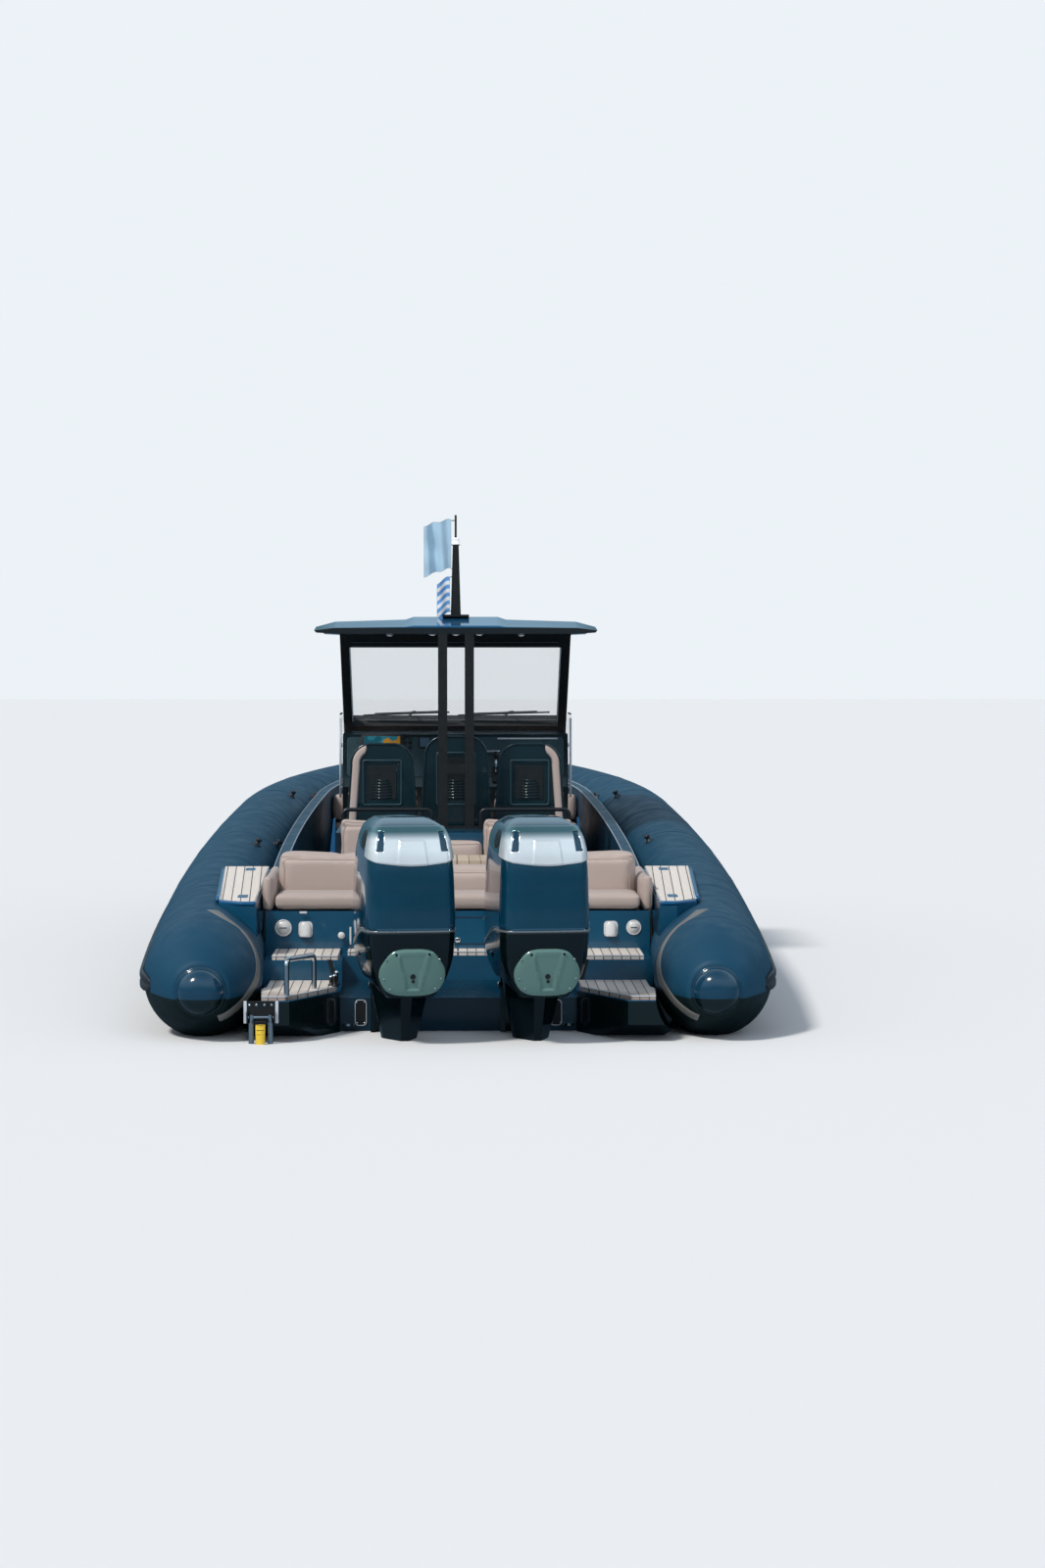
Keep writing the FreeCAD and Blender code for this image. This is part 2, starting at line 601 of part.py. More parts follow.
def rubbing_strake():
    """Strip round the outside of the collar, from one tapered end to the other."""
    edges = {}
    sweep = math.asin(size("cone_length") * 0.55 / CONE_BOW)
    cone_centre = AFT_END + AFT_OUTWARD * (TUBE - CONE_BOW)
    for name, stand in (("inner", GAP), ("outer", size("strake_thickness"))):
        reach = TUBE + stand
        around = [arc_edge(centre, radius + reach, start, end) for centre, radius, start, end in ARCS]
        aft = ARCS[0][2] - sweep
        around.insert(0, arc_edge(cone_centre, CONE_BOW + stand, aft, ARCS[0][2]))
        edges[name] = around + [mirrored(edge) for edge in around]
    end = ARCS[0][2] - sweep
    close = Part.makeLine(on_arc(cone_centre, CONE_BOW + GAP, end),
                          on_arc(cone_centre, CONE_BOW + size("strake_thickness"), end))
    wire = Part.Wire(Part.__sortEdges__(edges["inner"] + edges["outer"] + [close, mirrored(close)]))
    strip = Part.Face(wire).extrude(Vector(0, 0, size("strake_height")))
    strip.translate(Vector(0, 0, -size("strake_height") / 2))
    return strip


node("rub_strake", made("rub_strake", rubbing_strake(), SHEER))

# Hull: a deep vee, its sections in a table

HULL_SECTIONS = [
    # along, keel rise, chine in, chine height
    (0, 0, 0, 0),
    (2500, 0, -20, 10),
    (5000, 10, -5, 35),
    (7000, 40, 95, 95),
    (8500, 130, 330, 200),
    (9500, 330, 590, 340),
    (10100, 620, 840, 500),
    (10400, 930, 1010, 640),
]
CHINE_FLAT = (70, 45)
HULL_SEAT = 140


def hull_section(along, keel_rise, chine_in, chine_height):
    """One cross section: keel, chines, shoulders and the edge under the collar."""
    keel = keel_rise - size("keel_depth")
    chine = size("chine_half_breadth") - chine_in
    top = size("collar_height") + along * SLOPE - size("hull_drop")
    edge = half_breadth(along) - HULL_SEAT
    edge = max(edge, chine * 0.7)
    right = [
        (chine, chine_height),
        (chine + CHINE_FLAT[0], chine_height + CHINE_FLAT[1]),
        (edge, top),
    ]
    left = [(-across, up) for across, up in reversed(right)]
    points = [Vector(across, along, up) for across, up in [(0, keel)] + right + left]
    return Part.makePolygon(points + [points[0]])


def hull_shape():
    """Hull bottom and sides, with the collar's seat and the cockpit cut out."""
    sections = [hull_section(*row) for row in HULL_SECTIONS]
    solid = Part.makeLoft(sections, True, True)
    floor = size("sole_height") - size("sole_thickness")
    pocket = raised(inside_plan(TUBE + GAP, 100), -FAR, FAR)
    pocket = pocket.common(level_box(floor, FAR))
    return clear_of_collar(solid).cut(pocket).removeSplitter()


HULL = hull_shape()
node("hull", made("hull", HULL))

# Coaming and sole

FLOOR = size("sole_height") - size("sole_thickness")
COAMING_IN = TUBE + GAP + size("coaming_width")


def coaming():
    """Moulded wall inside the collar, open at the stern."""
    start = size("bench_front")
    outer = inside_plan(TUBE + 2 * GAP, start - TUBE / 2)
    inner = inside_plan(COAMING_IN, start - TUBE)
    wall = raised(outer.cut(inner), -FAR, size("coaming_rise"))
    wall = wall.common(level_box(FLOOR, FAR, start, FAR))
    return wall.cut(STERN).removeSplitter()


def level_plan(inset, aft, front, low, high):
    """A level slab inside the coaming, between two distances from the transom."""
    slab = raised(inside_plan(inset, aft - TUBE), -FAR, FAR)
    return slab.common(level_box(low, high, aft, front))


# Stern: platforms, steps, bench and quarter boxes

HULL_TOP_AFT = size("collar_height") - size("hull_drop")


def hull_top(along):
    """Level of the hull's upper edge at a distance from the transom."""
    return HULL_TOP_AFT + along * SLOPE


def platform(side):
    """Boarding platform beside the engine well, deeper towards the transom."""
    top = size("platform_height") - size("teak_thickness")
    riser = size("riser_at")
    aft = -size("platform_aft")
    profile = [
        (aft, top),
        (riser, top),
        (riser, hull_top(riser)),
        (0, hull_top(0)),
        (0, -size("platform_keel")),
        (aft, top - size("platform_aft_depth")),
    ]
    points = [Vector(0, along, up) for along, up in profile]
    body = Part.Face(Part.makePolygon(points + [points[0]])).extrude(Vector(FAR, 0, 0))
    plan = platform_plan(side, 0)
    shape = (mirrored(body) if side == PORT else body).common(plan)
    return clear_of_collar(shape)


def platform_plan(side, margin):
    """Upright prism over a platform's outline, set in by a margin."""
    riser = size("riser_at") - margin * 0.2
    aft = -size("platform_aft") + margin
    inner = size("well_half_width") + margin
    corners = [
        (inner, riser),
        (inner, -size("well_corner") + margin * 0.3),
        (size("well_mouth_half_width") + margin, aft),
        (size("platform_outer_aft") - margin, aft),
        (size("collar_half_breadth") - TUBE - margin - GAP, -size("well_corner")),
        (size("collar_half_breadth") - TUBE - margin - GAP, riser),
    ]
    points = [Vector(side * across, along, -FAR) for across, along in corners]
    return Part.Face(Part.makePolygon(points + [points[0]])).extrude(Vector(0, 0, 2 * FAR))


def stern_block():
    """Upper step, stern bench and quarter boxes as one moulding on the hull."""
    half = size("bench_half_width")
    teak = size("teak_thickness")
    aft = size("bench_at")
    front = size("bench_front")
    step = level_box(0, size("step_height") - teak, size("riser_at"), aft, half - 12)
    well = level_box(-FAR, FAR, -FAR, size("well_depth"), size("well_half_width"))
    bench = level_box(0, size("bench_height"), aft, front, half)
    filler = level_box(0, size("bench_height"), aft + 30, front, size("quarter_inner") + 30)
    boxes = [raised(quarter_plan(side, 0), -60, size("quarter_rise")) for name, side in SIDES]
    solid = step.cut(well).fuse([bench, filler] + boxes).removeSplitter()
    return clear_of_collar(solid.cut(HULL)).removeSplitter()


def quarter_plan(side, margin):
    """Outline of a quarter box: parallel to the collar, its aft outer corner cut off."""
    aft = size("quarter_aft") + margin
    front = size("quarter_front") - margin
    inner = size("quarter_inner") + margin
    spread = (front - aft) * math.tan(math.radians(size("toe_out_angle")))
    outer = size("quarter_outer") - margin
    cut = size("quarter_chamfer")
    corners = [(inner, aft), (outer - cut, aft), (outer, aft + cut * 1.2), (outer + spread, front), (inner, front)]
    points = [Vector(side * across, along, 0) for across, along in corners]
    return Part.Face(Part.makePolygon(points + [points[0]]))


def stern_teak():
    """Teak on both platforms, the upper step, between the engines and on the quarter boxes."""
    teak = size("teak_thickness")
    margin = size("teak_margin")
    pieces = []
    for name, side in SIDES:
        slab = platform_plan(side, margin).common(
            level_box(size("platform_height") - teak, size("platform_height")))
        pieces.append(clear_of_collar(slab))
        pieces.append(raised(quarter_plan(side, margin * 0.6), size("quarter_rise"), size("quarter_rise") + teak))
    half = size("bench_half_width") - 12
    well = size("well_half_width")
    step_low = size("step_height") - teak
    aft = size("riser_at") + margin
    front = size("bench_at")
    for name, side in SIDES:
        edge = sorted((side * (well + margin), side * (half - 2 * margin)))
        pieces.append(Part.makeBox(edge[1] - edge[0], front - aft, teak, Vector(edge[0], aft, step_low)))
    strip_aft = size("well_depth") + margin
    width = 2 * (well - margin)
    pieces.append(Part.makeBox(width, front - strip_aft, teak, Vector(-width / 2, strip_aft, step_low)))
    return Part.makeCompound(pieces)


node("platforms", made("platforms", Part.makeCompound([platform(side) for name, side in SIDES])))
STERN = stern_block()
node("stern_moulding", made("stern_moulding", STERN))
node("stern_teak", made("stern_teak", stern_teak()))

node("deck_liner", made("deck_liner", coaming()))
node("cockpit_sole", made("cockpit_sole", level_plan(
    COAMING_IN + GAP, size("bench_front"), size("bow_moulding_at"), FLOOR, size("sole_height"))))

# Cushions of the stern bench

STERN_SEAT = ("bench_at - stern_seat_overhang", "bench_at + stern_seat_depth")
STERN_BACK = ("bench_at + stern_seat_depth + cushion_gap",
              "bench_at + stern_seat_depth + cushion_gap + stern_back_thickness")
SEAT_LOW = "bench_height + seat_gap"
SEAT_TOP = "bench_height + seat_gap + cushion_thickness"
stern_cushions = [
    block("stern_seat", ("0 - stern_back_half", "stern_back_half"), STERN_SEAT, (SEAT_LOW, SEAT_TOP)),
    block("stern_back_centre", ("0 - stern_back_centre_half", "stern_back_centre_half"),
          STERN_BACK, (SEAT_LOW, "stern_back_centre_height")),
    block("cockpit_bench", ("0 - stern_back_half", "stern_back_half"),
          (STERN_BACK[1] + " + cushion_gap", "bench_front"), (SEAT_LOW, SEAT_TOP)),
]
for name, side in SIDES:
    stern_cushions.append(block(
        "stern_back_" + name, ("stern_back_centre_half + cushion_gap", "stern_back_half"),
        STERN_BACK, (SEAT_LOW, "stern_back_height"), side))
    stern_cushions.append(block(
        "stern_bolster_" + name,
        ("stern_back_half + cushion_gap", "quarter_inner - cushion_gap"),
        ("bench_at + 40", "bench_front"), (SEAT_LOW, "bolster_height"), side))
node("stern_cushions", apart("stern_cushions", stern_cushions))

# Cockpit table

table_top = block("table_top", ("0 - table_half_width", "table_half_width"), ("table_aft", "table_front"),
                  ("table_height - table_thickness", "table_height"))
rounded(table_top, "table_thickness * 2", lambda edge: is_along(edge, ALONG_Z))
table_leg = doc.addObject("Part::Cylinder", "table_leg")
table_leg.setExpression("Radius", bound("table_leg_radius"))
table_leg.setExpression("Height", bound("table_height - table_thickness - sole_height"))
table_leg.setExpression(".Placement.Base.y", bound("(table_aft + table_front) / 2"))
table_leg.setExpression(".Placement.Base.z", bound("sole_height"))
node("cockpit_table", joined("cockpit_table", [table_top, table_leg]))

# Helm seat module with the sofa against its aft side

module_profile = [
    ("sofa_aft", "sole_height"),
    ("sofa_aft", "sofa_base_height"),
    ("module_aft", "sofa_base_height"),
    ("module_aft", "module_height"),
    ("module_front", "module_height"),
    ("module_front", "sole_height"),
]
module = prism("seat_module", "YZ", module_profile, "0 - module_half_width", "module_half_width")
node("seat_module", module)

SOFA_SEAT_UP = ("sofa_base_height + seat_gap", "sofa_base_height + seat_gap + cushion_thickness")
SOFA_BACK_ALONG = ("module_aft - seat_gap - sofa_back_thickness", "module_aft - seat_gap")
SOFA_BACK_LOW = "sofa_base_height + cushion_thickness + cushion_gap"
sofa_cushions = [
    block("sofa_seat", ("0 - sofa_half_width", "sofa_half_width"), ("sofa_aft", "module_aft - seat_gap"),
          SOFA_SEAT_UP),
    block("sofa_back_centre", ("cushion_gap - sofa_centre_half", "sofa_centre_half - cushion_gap"),
          SOFA_BACK_ALONG, (SOFA_BACK_LOW, "sofa_centre_height")),
]
for name, side in SIDES:
    sofa_cushions.append(block("sofa_back_" + name, ("sofa_centre_half", "sofa_half_width"), SOFA_BACK_ALONG,
                               (SOFA_BACK_LOW, "sofa_back_height"), side))
node("sofa_cushions", apart("sofa_cushions", sofa_cushions))


def seat_outline(half, low, top):
    """A seat back seen from astern: sides that lean in, round shoulders and a flat top."""
    narrow = half * 0.88
    drop = half * 0.62
    flat = half * 0.34
    shoulder = [
        Vector(narrow, 0, top - drop),
        Vector(flat + (narrow - flat) * 0.72, 0, top - drop * 0.29),
        Vector(flat, 0, top),
    ]
    side = Part.makeLine(Vector(half, 0, low), shoulder[0])
    edges = [side, Part.Arc(*shoulder).toShape()]
    edges += [mirrored(edge) for edge in edges]
    edges.append(Part.makeLine(Vector(-half, 0, low), Vector(half, 0, low)))
    edges.append(Part.makeLine(Vector(-flat, 0, top), Vector(flat, 0, top)))
    return Part.Face(Part.Wire(Part.__sortEdges__(edges)))


def helm_seats():
    """Shell and pad of each helm seat."""
    shells = []
    pads = []
    half = size("helm_seat_width") / 2
    thick = size("helm_shell_thickness")
    back = size("helm_back_thickness")
    at = size("helm_back_at")
    base = size("helm_seat_base")
    foot = size("module_height")
    gap = size("cushion_gap")
    for place, top in ((-1, "helm_seat_height"), (0, "helm_seat_centre_height"), (1, "helm_seat_height")):
        crown = size(top)
        shift = Vector(place * size("helm_seat_spacing"), at, 0)
        shell = seat_outline(half, foot, crown).extrude(Vector(0, thick, 0))
        recess = size("helm_recess_half")
        depth = size("helm_recess_depth")
        panel = Part.makeBox(2 * recess, depth, crown - base - 190, Vector(-recess, 0, base + 70))
        shell = shell.cut(panel)
        pedestal = Part.makeBox(2 * half, size("helm_seat_depth"), base - foot - gap, Vector(-half, 0, foot))
        shells.append(shell.fuse(pedestal).removeSplitter().translated(shift))
        pad = seat_outline(half - gap, base + 100 + gap, crown - 2 * gap)
        pad = pad.extrude(Vector(0, back - thick, 0)).translated(Vector(0, thick + GAP, 0))
        seat = Part.makeBox(2 * (half - gap), size("helm_seat_depth") - thick - gap, 100,
                            Vector(gap - half, thick + GAP, base - gap + GAP))
        pads.append(pad.translated(shift))
        pads.append(seat.translated(shift))
    return Part.makeCompound(shells), Part.makeCompound(pads)


seat_shells, seat_pads = helm_seats()
node("helm_seat_shells", made("helm_seat_shells", seat_shells))
node("helm_seat_pads", made("helm_seat_pads", seat_pads))

# Console, windscreen and hard top

console_profile = [
    ("console_aft", "sole_height"),
    ("console_aft", "dash_low - 220"),
    ("console_aft - dash_rake", "dash_low"),
    ("console_aft", "dash_height"),
    ("screen_foot - 40", "dash_height + 10"),
    ("console_front", "dash_low"),
    ("console_front", "console_seat_height"),
    ("console_seat_front", "console_seat_height"),
    ("console_seat_front", "sole_height"),
]
console = prism("console", "YZ", console_profile, "0 - console_half_width", "console_half_width")
node("console", console)


CONSOLE_TOP = [
    Vector(0, size("console_aft"), 0),
    Vector(0, size("console_aft"), size("dash_height")),
    Vector(0, size("screen_foot") - 40, size("dash_height") + 10),
    Vector(0, size("console_front"), size("dash_low")),
    Vector(0, size("console_front"), 0),
]


def screen_line(share, offset=0):
    """A point of the windscreen's slope, from its foot to its head, set forward by an offset."""
    foot = Vector(0, size("screen_foot"), size("dash_height") + 10)
    head = Vector(0, size("screen_head"), size("screen_top"))
    along = (head - foot).normalize()
    outward = Vector(0, along.z, -along.y)
    return foot + (head - foot) * share + outward * offset


def slab(points, start, end):
    """An outline in the fore-and-aft plane made solid from one distance across to another."""
    face = Part.Face(Part.makePolygon(points + [points[0]]))
    return face.extrude(Vector(end - start, 0, 0)).translated(Vector(start, 0, 0))


def windscreen_frame():
    """Two raked pillars, the header and the sill as one frame, seated on the console."""
    half = size("frame_half_width")
    width = size("pillar_width")
    depth = size("pillar_depth")
    rise = (screen_line(1) - screen_line(0)).Length
    share = size("header_height") / rise
    below = -2.5 * depth / rise
    above = 1 + depth / rise
    profile = [screen_line(below), screen_line(below, depth), screen_line(above, depth), screen_line(above)]
    pillars = [slab(profile, half - width, half), slab(profile, -half, width - half)]
    header = [screen_line(1 - share), screen_line(1 - share, depth), screen_line(above, depth), screen_line(above)]
    sill = [screen_line(below), screen_line(below, depth), screen_line(share * 0.6, depth), screen_line(share * 0.6)]
    bars = [slab(header, width - half, half - width), slab(sill, width - half, half - width)]
    frame = pillars[0].fuse([pillars[1]] + bars)
    frame = frame.common(level_box(0, size("roof_underside")))
    return frame.cut(slab(CONSOLE_TOP, -FAR, FAR)).removeSplitter()


def glass():
    """Windscreen between the pillars, and a side glass along each side of the console."""
    inner = size("frame_half_width") - size("pillar_width") - GAP
    thick = size("screen_thickness")
    share = size("header_height") / (screen_line(1) - screen_line(0)).Length
    middle = size("pillar_depth") / 2
    low = share * 0.6 + 0.0005
    high = 1 - share - 0.0005
    pane = [screen_line(low, middle), screen_line(low, middle + thick),
            screen_line(high, middle + thick), screen_line(high, middle)]
    panes = [slab(pane, -inner, inner)]
    start = size("console_half_width") + GAP
    aft = size("wing_aft")
    foot = size("wing_foot")
    front = size("screen_foot")
    wing = [(aft, foot), (front, foot), (front, size("dash_height")), (aft + 420, size("wing_top")), (aft, size("wing_top"))]
    points = [Vector(0, along, up) for along, up in wing]
    panes.append(slab(points, start, start + thick))
    panes.append(slab(points, -start - thick, -start))
    return Part.makeCompound(panes)


def roof_section(along, drop):
    """Cross section of the hard top: raised crown, sloping shoulders and drooping tips."""
    half = size("roof_half_width")
    top = size("roof_height") - drop
    under = size("roof_underside")
    deep = top - under
    right = [
        (half * 0.30, top),
        (half * 0.36, top - deep * 0.16),
        (half * 0.86, top - deep * 0.28),
        (half, under + deep * 0.42),
        (half * 0.985, under + deep * 0.14),
        (half * 0.86, under),
    ]
    left = [(-across, up) for across, up in reversed(right)]
    points = [Vector(across, along, up) for across, up in right + left]
    return Part.makePolygon(points + [points[0]])


def hard_top():
    """Hard top, thinner at its aft and front edges."""
    aft = size("roof_aft")
    front = size("roof_front")
    rows = [(aft, 62), (aft + 380, 0), (front - 500, 6), (front, 78)]
    return Part.makeLoft([roof_section(*row) for row in rows], True, True)


node("windscreen_frame", made("windscreen_frame", windscreen_frame()))
node("windscreen_glass", made("windscreen_glass", glass()))
node("roof", made("roof", hard_top()))

posts = [
    block("post_" + name, ("post_spacing / 2 - post_size / 2", "post_spacing / 2 + post_size / 2"),
          ("post_at", "post_at + post_size"), ("module_height", "roof_underside - seat_gap"), side)
    for name, side in SIDES
]
posts.append(block("post_crossbar", ("0 - post_spacing / 2", "post_spacing / 2"),
                   ("post_at", "post_at + post_size"),
                   ("post_crossbar_height - post_size / 2", "post_crossbar_height + post_size / 2")))
posts.append(block("post_foot", ("0 - post_spacing / 2 - post_size", "post_spacing / 2 + post_size"),
                   ("post_at - post_size / 2", "post_at + post_size * 1.5"),
                   ("module_height + seat_gap", "module_height + post_size / 4")))
node("roof_posts", joined("roof_posts", posts))

# Mast and flags


def tapered_bar(at, low, high, foot, tip):
    """An upright square bar that narrows towards its top."""
    rings = []
    for level, width in ((low, foot), (high, tip)):
        corner = Vector(-width / 2, at, level)
        across = Vector(width, 0, 0)
        back = Vector(0, width, 0)
        rings.append(Part.makePolygon([corner, corner + across, corner + across + back, corner + back, corner]))
    return Part.makeLoft(rings, True, True)


def flag(hoist_at, top, hoist, fly, droop):
    """A hanging flag: a folded sheet whose fly end droops."""
    fold = size("flag_fold")
    thick = 4
    steps = 4
    upper = []
    for i in range(steps + 1):
        share = i / steps
        sway = fold * math.sin(share * math.pi * 2)
        upper.append(Vector(hoist_at - fly * share, sway, top - droop * share))
    outline = upper + [point + Vector(0, thick, 0) for point in reversed(upper)]
    low = [point - Vector(0, 0, hoist) for point in outline]
    wires = [Part.makePolygon(low + [low[0]]), Part.makePolygon(outline + [outline[0]])]
    return Part.makeLoft(wires, True, True)


mast = tapered_bar(size("mast_at"), size("roof_height") + GAP, size("mast_height"), size("mast_width"),
                   size("mast_tip_width"))
mast_plate = Part.makeBox(size("mast_width") * 2.6, size("mast_width") * 2, 14,
                          Vector(-size("mast_width") * 1.3, size("mast_at") - size("mast_width") * 0.5,
                                 size("roof_height") + GAP))
staff_at = size("mast_at") + size("mast_tip_width") / 2
staff = rod(Vector(0, staff_at, size("mast_height") - 60), Vector(0, staff_at, size("staff_height")),
            size("staff_radius"))
FLAG_ROWS = [
    # foot, hoist, fly, droop
    (size("staff_height") - 24 - size("flag_upper_hoist"), "flag_upper_hoist", "flag_upper_fly", 40),
    (size("roof_height") + 26, "flag_lower_hoist", "flag_lower_fly", 14),
]


def mast_half(level):
    """Half width of the mast at a level, and of the staff above it."""
    low = size("roof_height")
    share = (level - low) / (size("mast_height") - low)
    width = size("mast_width") + (size("mast_tip_width") - size("mast_width")) * share
    return max(width / 2, size("staff_radius"))


def flags_and_toggles():
    """Each flag hangs a little off the mast, held by a short bar at its top and another at its foot."""
    cloths = []
    toggles = []
    for foot, hoist, fly, droop in FLAG_ROWS:
        edge = -mast_half(foot) - 4
        high = foot + size(hoist)
        cloth = flag(edge, high, size(hoist), size(fly), droop)
        cloths.append(cloth.translated(Vector(0, staff_at - 2, 0)))
        for level in (foot + 12, high - 12):
            start = Vector(0, staff_at, level)
            toggles.append(rod(start, start + Vector(edge + GAP, 0, 0), size("toggle_radius")))
    return Part.makeCompound(cloths), toggles


FLAG_CLOTHS, TOGGLES = flags_and_toggles()
node("mast", made("mast", mast.fuse([mast_plate, staff] + TOGGLES).removeSplitter()))
node("flags", made("flags", FLAG_CLOTHS))

# Rails and deck fittings


def module_rail(side):
    """Low rail behind the helm seats: a bar with two legs."""
    inner = 160 * side
    outer = size("module_half_width") * 0.95 * side
    at = size("module_rail_at")
    top = size("module_rail_height")
    foot = size("module_height") + GAP
    radius = size("rail_radius")
    points = [Vector(inner, at, foot), Vector(inner, at, top), Vector(outer, at, top), Vector(outer, at, foot)]
    return bent_bar(points, radius, radius * 2.6)


def grab_rail():
    """Hoop beside the port platform's slanting edge."""
    top = size("platform_height")
    radius = size("rail_radius") * 1.1
    aft = Vector(-size("well_mouth_half_width") - 16, -size("platform_aft") + 60, top + GAP)
    lead = Vector(-size("well_half_width") - 135, -size("well_corner") - 110, top + GAP)
    up = Vector(0, 0, size("grab_rail_height"))
    return bent_bar([aft, aft + up, lead + up * 0.96, lead], radius, radius * 2.6)


def bow_bitt():
    """Mooring post on the foredeck: a plate, a round post and a bar through its head."""
    top = size("bow_deck_height") + GAP
    at = Vector(0, size("locker_front") + 118, top)
    plate = Part.makeBox(130, 110, 8, at - Vector(65, 55, 0))
    post = rod(at, at + Vector(0, 0, 120), 21)
    bar = rod(at + Vector(-72, 0, 88), at + Vector(72, 0, 88), 9)
    return plate.fuse([post, bar]).removeSplitter()


def deck_fittings():
    """Rails, the boarding hoop and the mooring post."""
    pieces = [module_rail(side) for name, side in SIDES] + [grab_rail(), bow_bitt()]
    return Part.makeCompound(pieces)


node("deck_fittings", made("deck_fittings", deck_fittings()))

# Boarding ladder on the port platform

LADDER_PIVOT = Vector(-size("ladder_at"), -size("platform_aft") - size("ladder_tube_radius") * 2.4,
                      size("platform_height") - size("ladder_pivot_drop"))


def ladder_bracket():
    """Plate on the platform's aft face, with an ear each side of the ladder."""
    half = size("ladder_width") / 2
    top = size("platform_height") - size("teak_thickness")
    aft = -size("platform_aft") - GAP
    thick = 8
    low = top - size("platform_aft_depth") + 14
    plate = Part.makeBox(2 * half, thick, top - low, Vector(-size("ladder_at") - half, aft - thick, low))
    ears = []
    for side in (-1, 1):
        start = -size("ladder_at") + side * half - (thick if side > 0 else 0)
        ears.append(Part.makeBox(thick, aft - LADDER_PIVOT.y + 22, 60, Vector(start, LADDER_PIVOT.y - 22,
                                                                            LADDER_PIVOT.z - 30)))
    solid = plate.fuse(ears)
    hole = rod(LADDER_PIVOT - Vector(half * 2, 0, 0), LADDER_PIVOT + Vector(half * 2, 0, 0),
               7 + size("running_gap"))
    return solid.cut(hole).removeSplitter()


def boarding_ladder():
    """Two tubes with steps, hanging from a pivot pin."""
    half = size("ladder_width") / 2
    radius = size("ladder_tube_radius")
    spread = half - 8 - 3 - radius
    length = size("ladder_length")
    pin = rod(LADDER_PIVOT - Vector(half, 0, 0), LADDER_PIVOT + Vector(half, 0, 0), 7)
    solids = [pin]
    for side in (-1, 1):
        top = LADDER_PIVOT + Vector(side * spread, 0, 14)
        solids.append(rod(top, top - Vector(0, 0, length), radius))
    for share in (0.36, 0.66, 0.97):
        level = LADDER_PIVOT.z - length * share
        step = Part.makeBox(size("ladder_step_width"), 62, 24,
                            Vector(LADDER_PIVOT.x - size("ladder_step_width") / 2, LADDER_PIVOT.y - 31, level))
        solids.append(step)
    return solids[0].fuse(solids[1:]).removeSplitter()


node("ladder_bracket", made("ladder_bracket", ladder_bracket()))
node("boarding_ladder", made("boarding_ladder", boarding_ladder()))

# Bow lounge, foredeck and anchor locker


def bow_moulding():
    """Seats round a footwell, with the foredeck and its locker ahead of them."""
    aft = size("bow_moulding_at")
    deck_at = size("bow_deck_at")
    seat = level_plan(COAMING_IN + GAP, aft, FAR, FLOOR, size("bow_seat_height"))
    deck = level_plan(COAMING_IN + GAP, deck_at, FAR, FLOOR, size("bow_deck_height"))
    well = level_box(size("bow_sole_height"), FAR, aft - 100, size("bow_well_front"), size("bow_well_half_width"))
    top = size("bow_deck_height")
    lip = size("locker_lip")
    rebate = level_box(top - size("teak_thickness") - GAP, FAR, size("locker_aft"), size("locker_front"),
                       size("locker_half_width"))
    locker = level_box(top - size("locker_depth"), FAR, size("locker_aft") + lip, size("locker_front") - lip,
                       size("locker_half_width") - lip)
    return seat.fuse(deck).removeSplitter().cut([well, rebate, locker])


def bow_cushions():
    """Side cushions, their backrests and the cushion ahead of the footwell."""
    thick = size("cushion_thickness")
    gap = size("cushion_gap")
    low = size("bow_seat_height") + GAP
    aft = size("bow_moulding_at") + gap
    front = size("bow_well_front") - gap
    inner = size("bow_well_half_width") + gap
    base = level_plan(COAMING_IN + gap, aft, size("bow_deck_at") - gap, low, low + thick)
    middle = base.common(level_box(-FAR, FAR, front + 2 * gap, FAR))
    side = base.common(level_box(-FAR, FAR, -FAR, front))
    right = side.common(Part.makeBox(FAR, 2 * FAR, 2 * FAR, Vector(inner, -FAR, -FAR)))
    back_low = low + thick + gap
    backs = level_plan(COAMING_IN + gap, aft, front, back_low, back_low + size("bow_back_height"))
    inset = raised(inside_plan(COAMING_IN + gap + size("bow_back_thickness"), aft - 2 * TUBE), -FAR, FAR)
    backs = backs.cut(inset).common(Part.makeBox(FAR, 2 * FAR, 2 * FAR, Vector(inner, -FAR, -FAR)))
    seat = Part.makeBox(2 * size("console_half_width") - 4 * gap, size("console_seat_front") - size("console_front") - gap,
                        thick, Vector(2 * gap - size("console_half_width"), size("console_front") + gap,
                                      size("console_seat_height") + GAP))
    inset = size("rest_inset")
    rest = Part.makeBox(2 * size("console_half_width") - 2 * inset, size("rest_thickness"), size("rest_height"),
                        Vector(inset - size("console_half_width"), size("console_front") + GAP,
                               size("console_seat_height") + thick + gap))
    pieces = [middle, right, mirrored(right), backs, mirrored(backs), seat, rest]
    return Part.makeCompound([piece.Solids[0] for piece in pieces])


node("bow_moulding", made("bow_moulding", bow_moulding()))
node("bow_cushions", made("bow_cushions", bow_cushions()))
lid = block("lid_panel", ("lid_gap - locker_half_width", "locker_half_width - lid_gap"),
            ("locker_aft + lid_gap", "locker_front - lid_gap"),
            ("bow_deck_height - teak_thickness", "bow_deck_height"))
rounded(lid, "lid_gap", lambda edge: is_along(edge, ALONG_Z))
hinge = doc.addObject("Part::Cylinder", "lid_hinge")
hinge.Placement.Rotation = Rotation(ALONG_Y, 90)
hinge.setExpression("Radius", bound("hinge_radius"))
hinge.setExpression("Height", bound("locker_half_width"))
hinge.setExpression(".Placement.Base.x", bound("0 - locker_half_width / 2"))
hinge.setExpression(".Placement.Base.y", bound("locker_front - lid_gap - 2"))
hinge.setExpression(".Placement.Base.z", bound("bow_deck_height + 3"))
node("anchor_locker_lid", joined("anchor_locker_lid", [lid, hinge]))

# Towing eyes, one each side of the transom


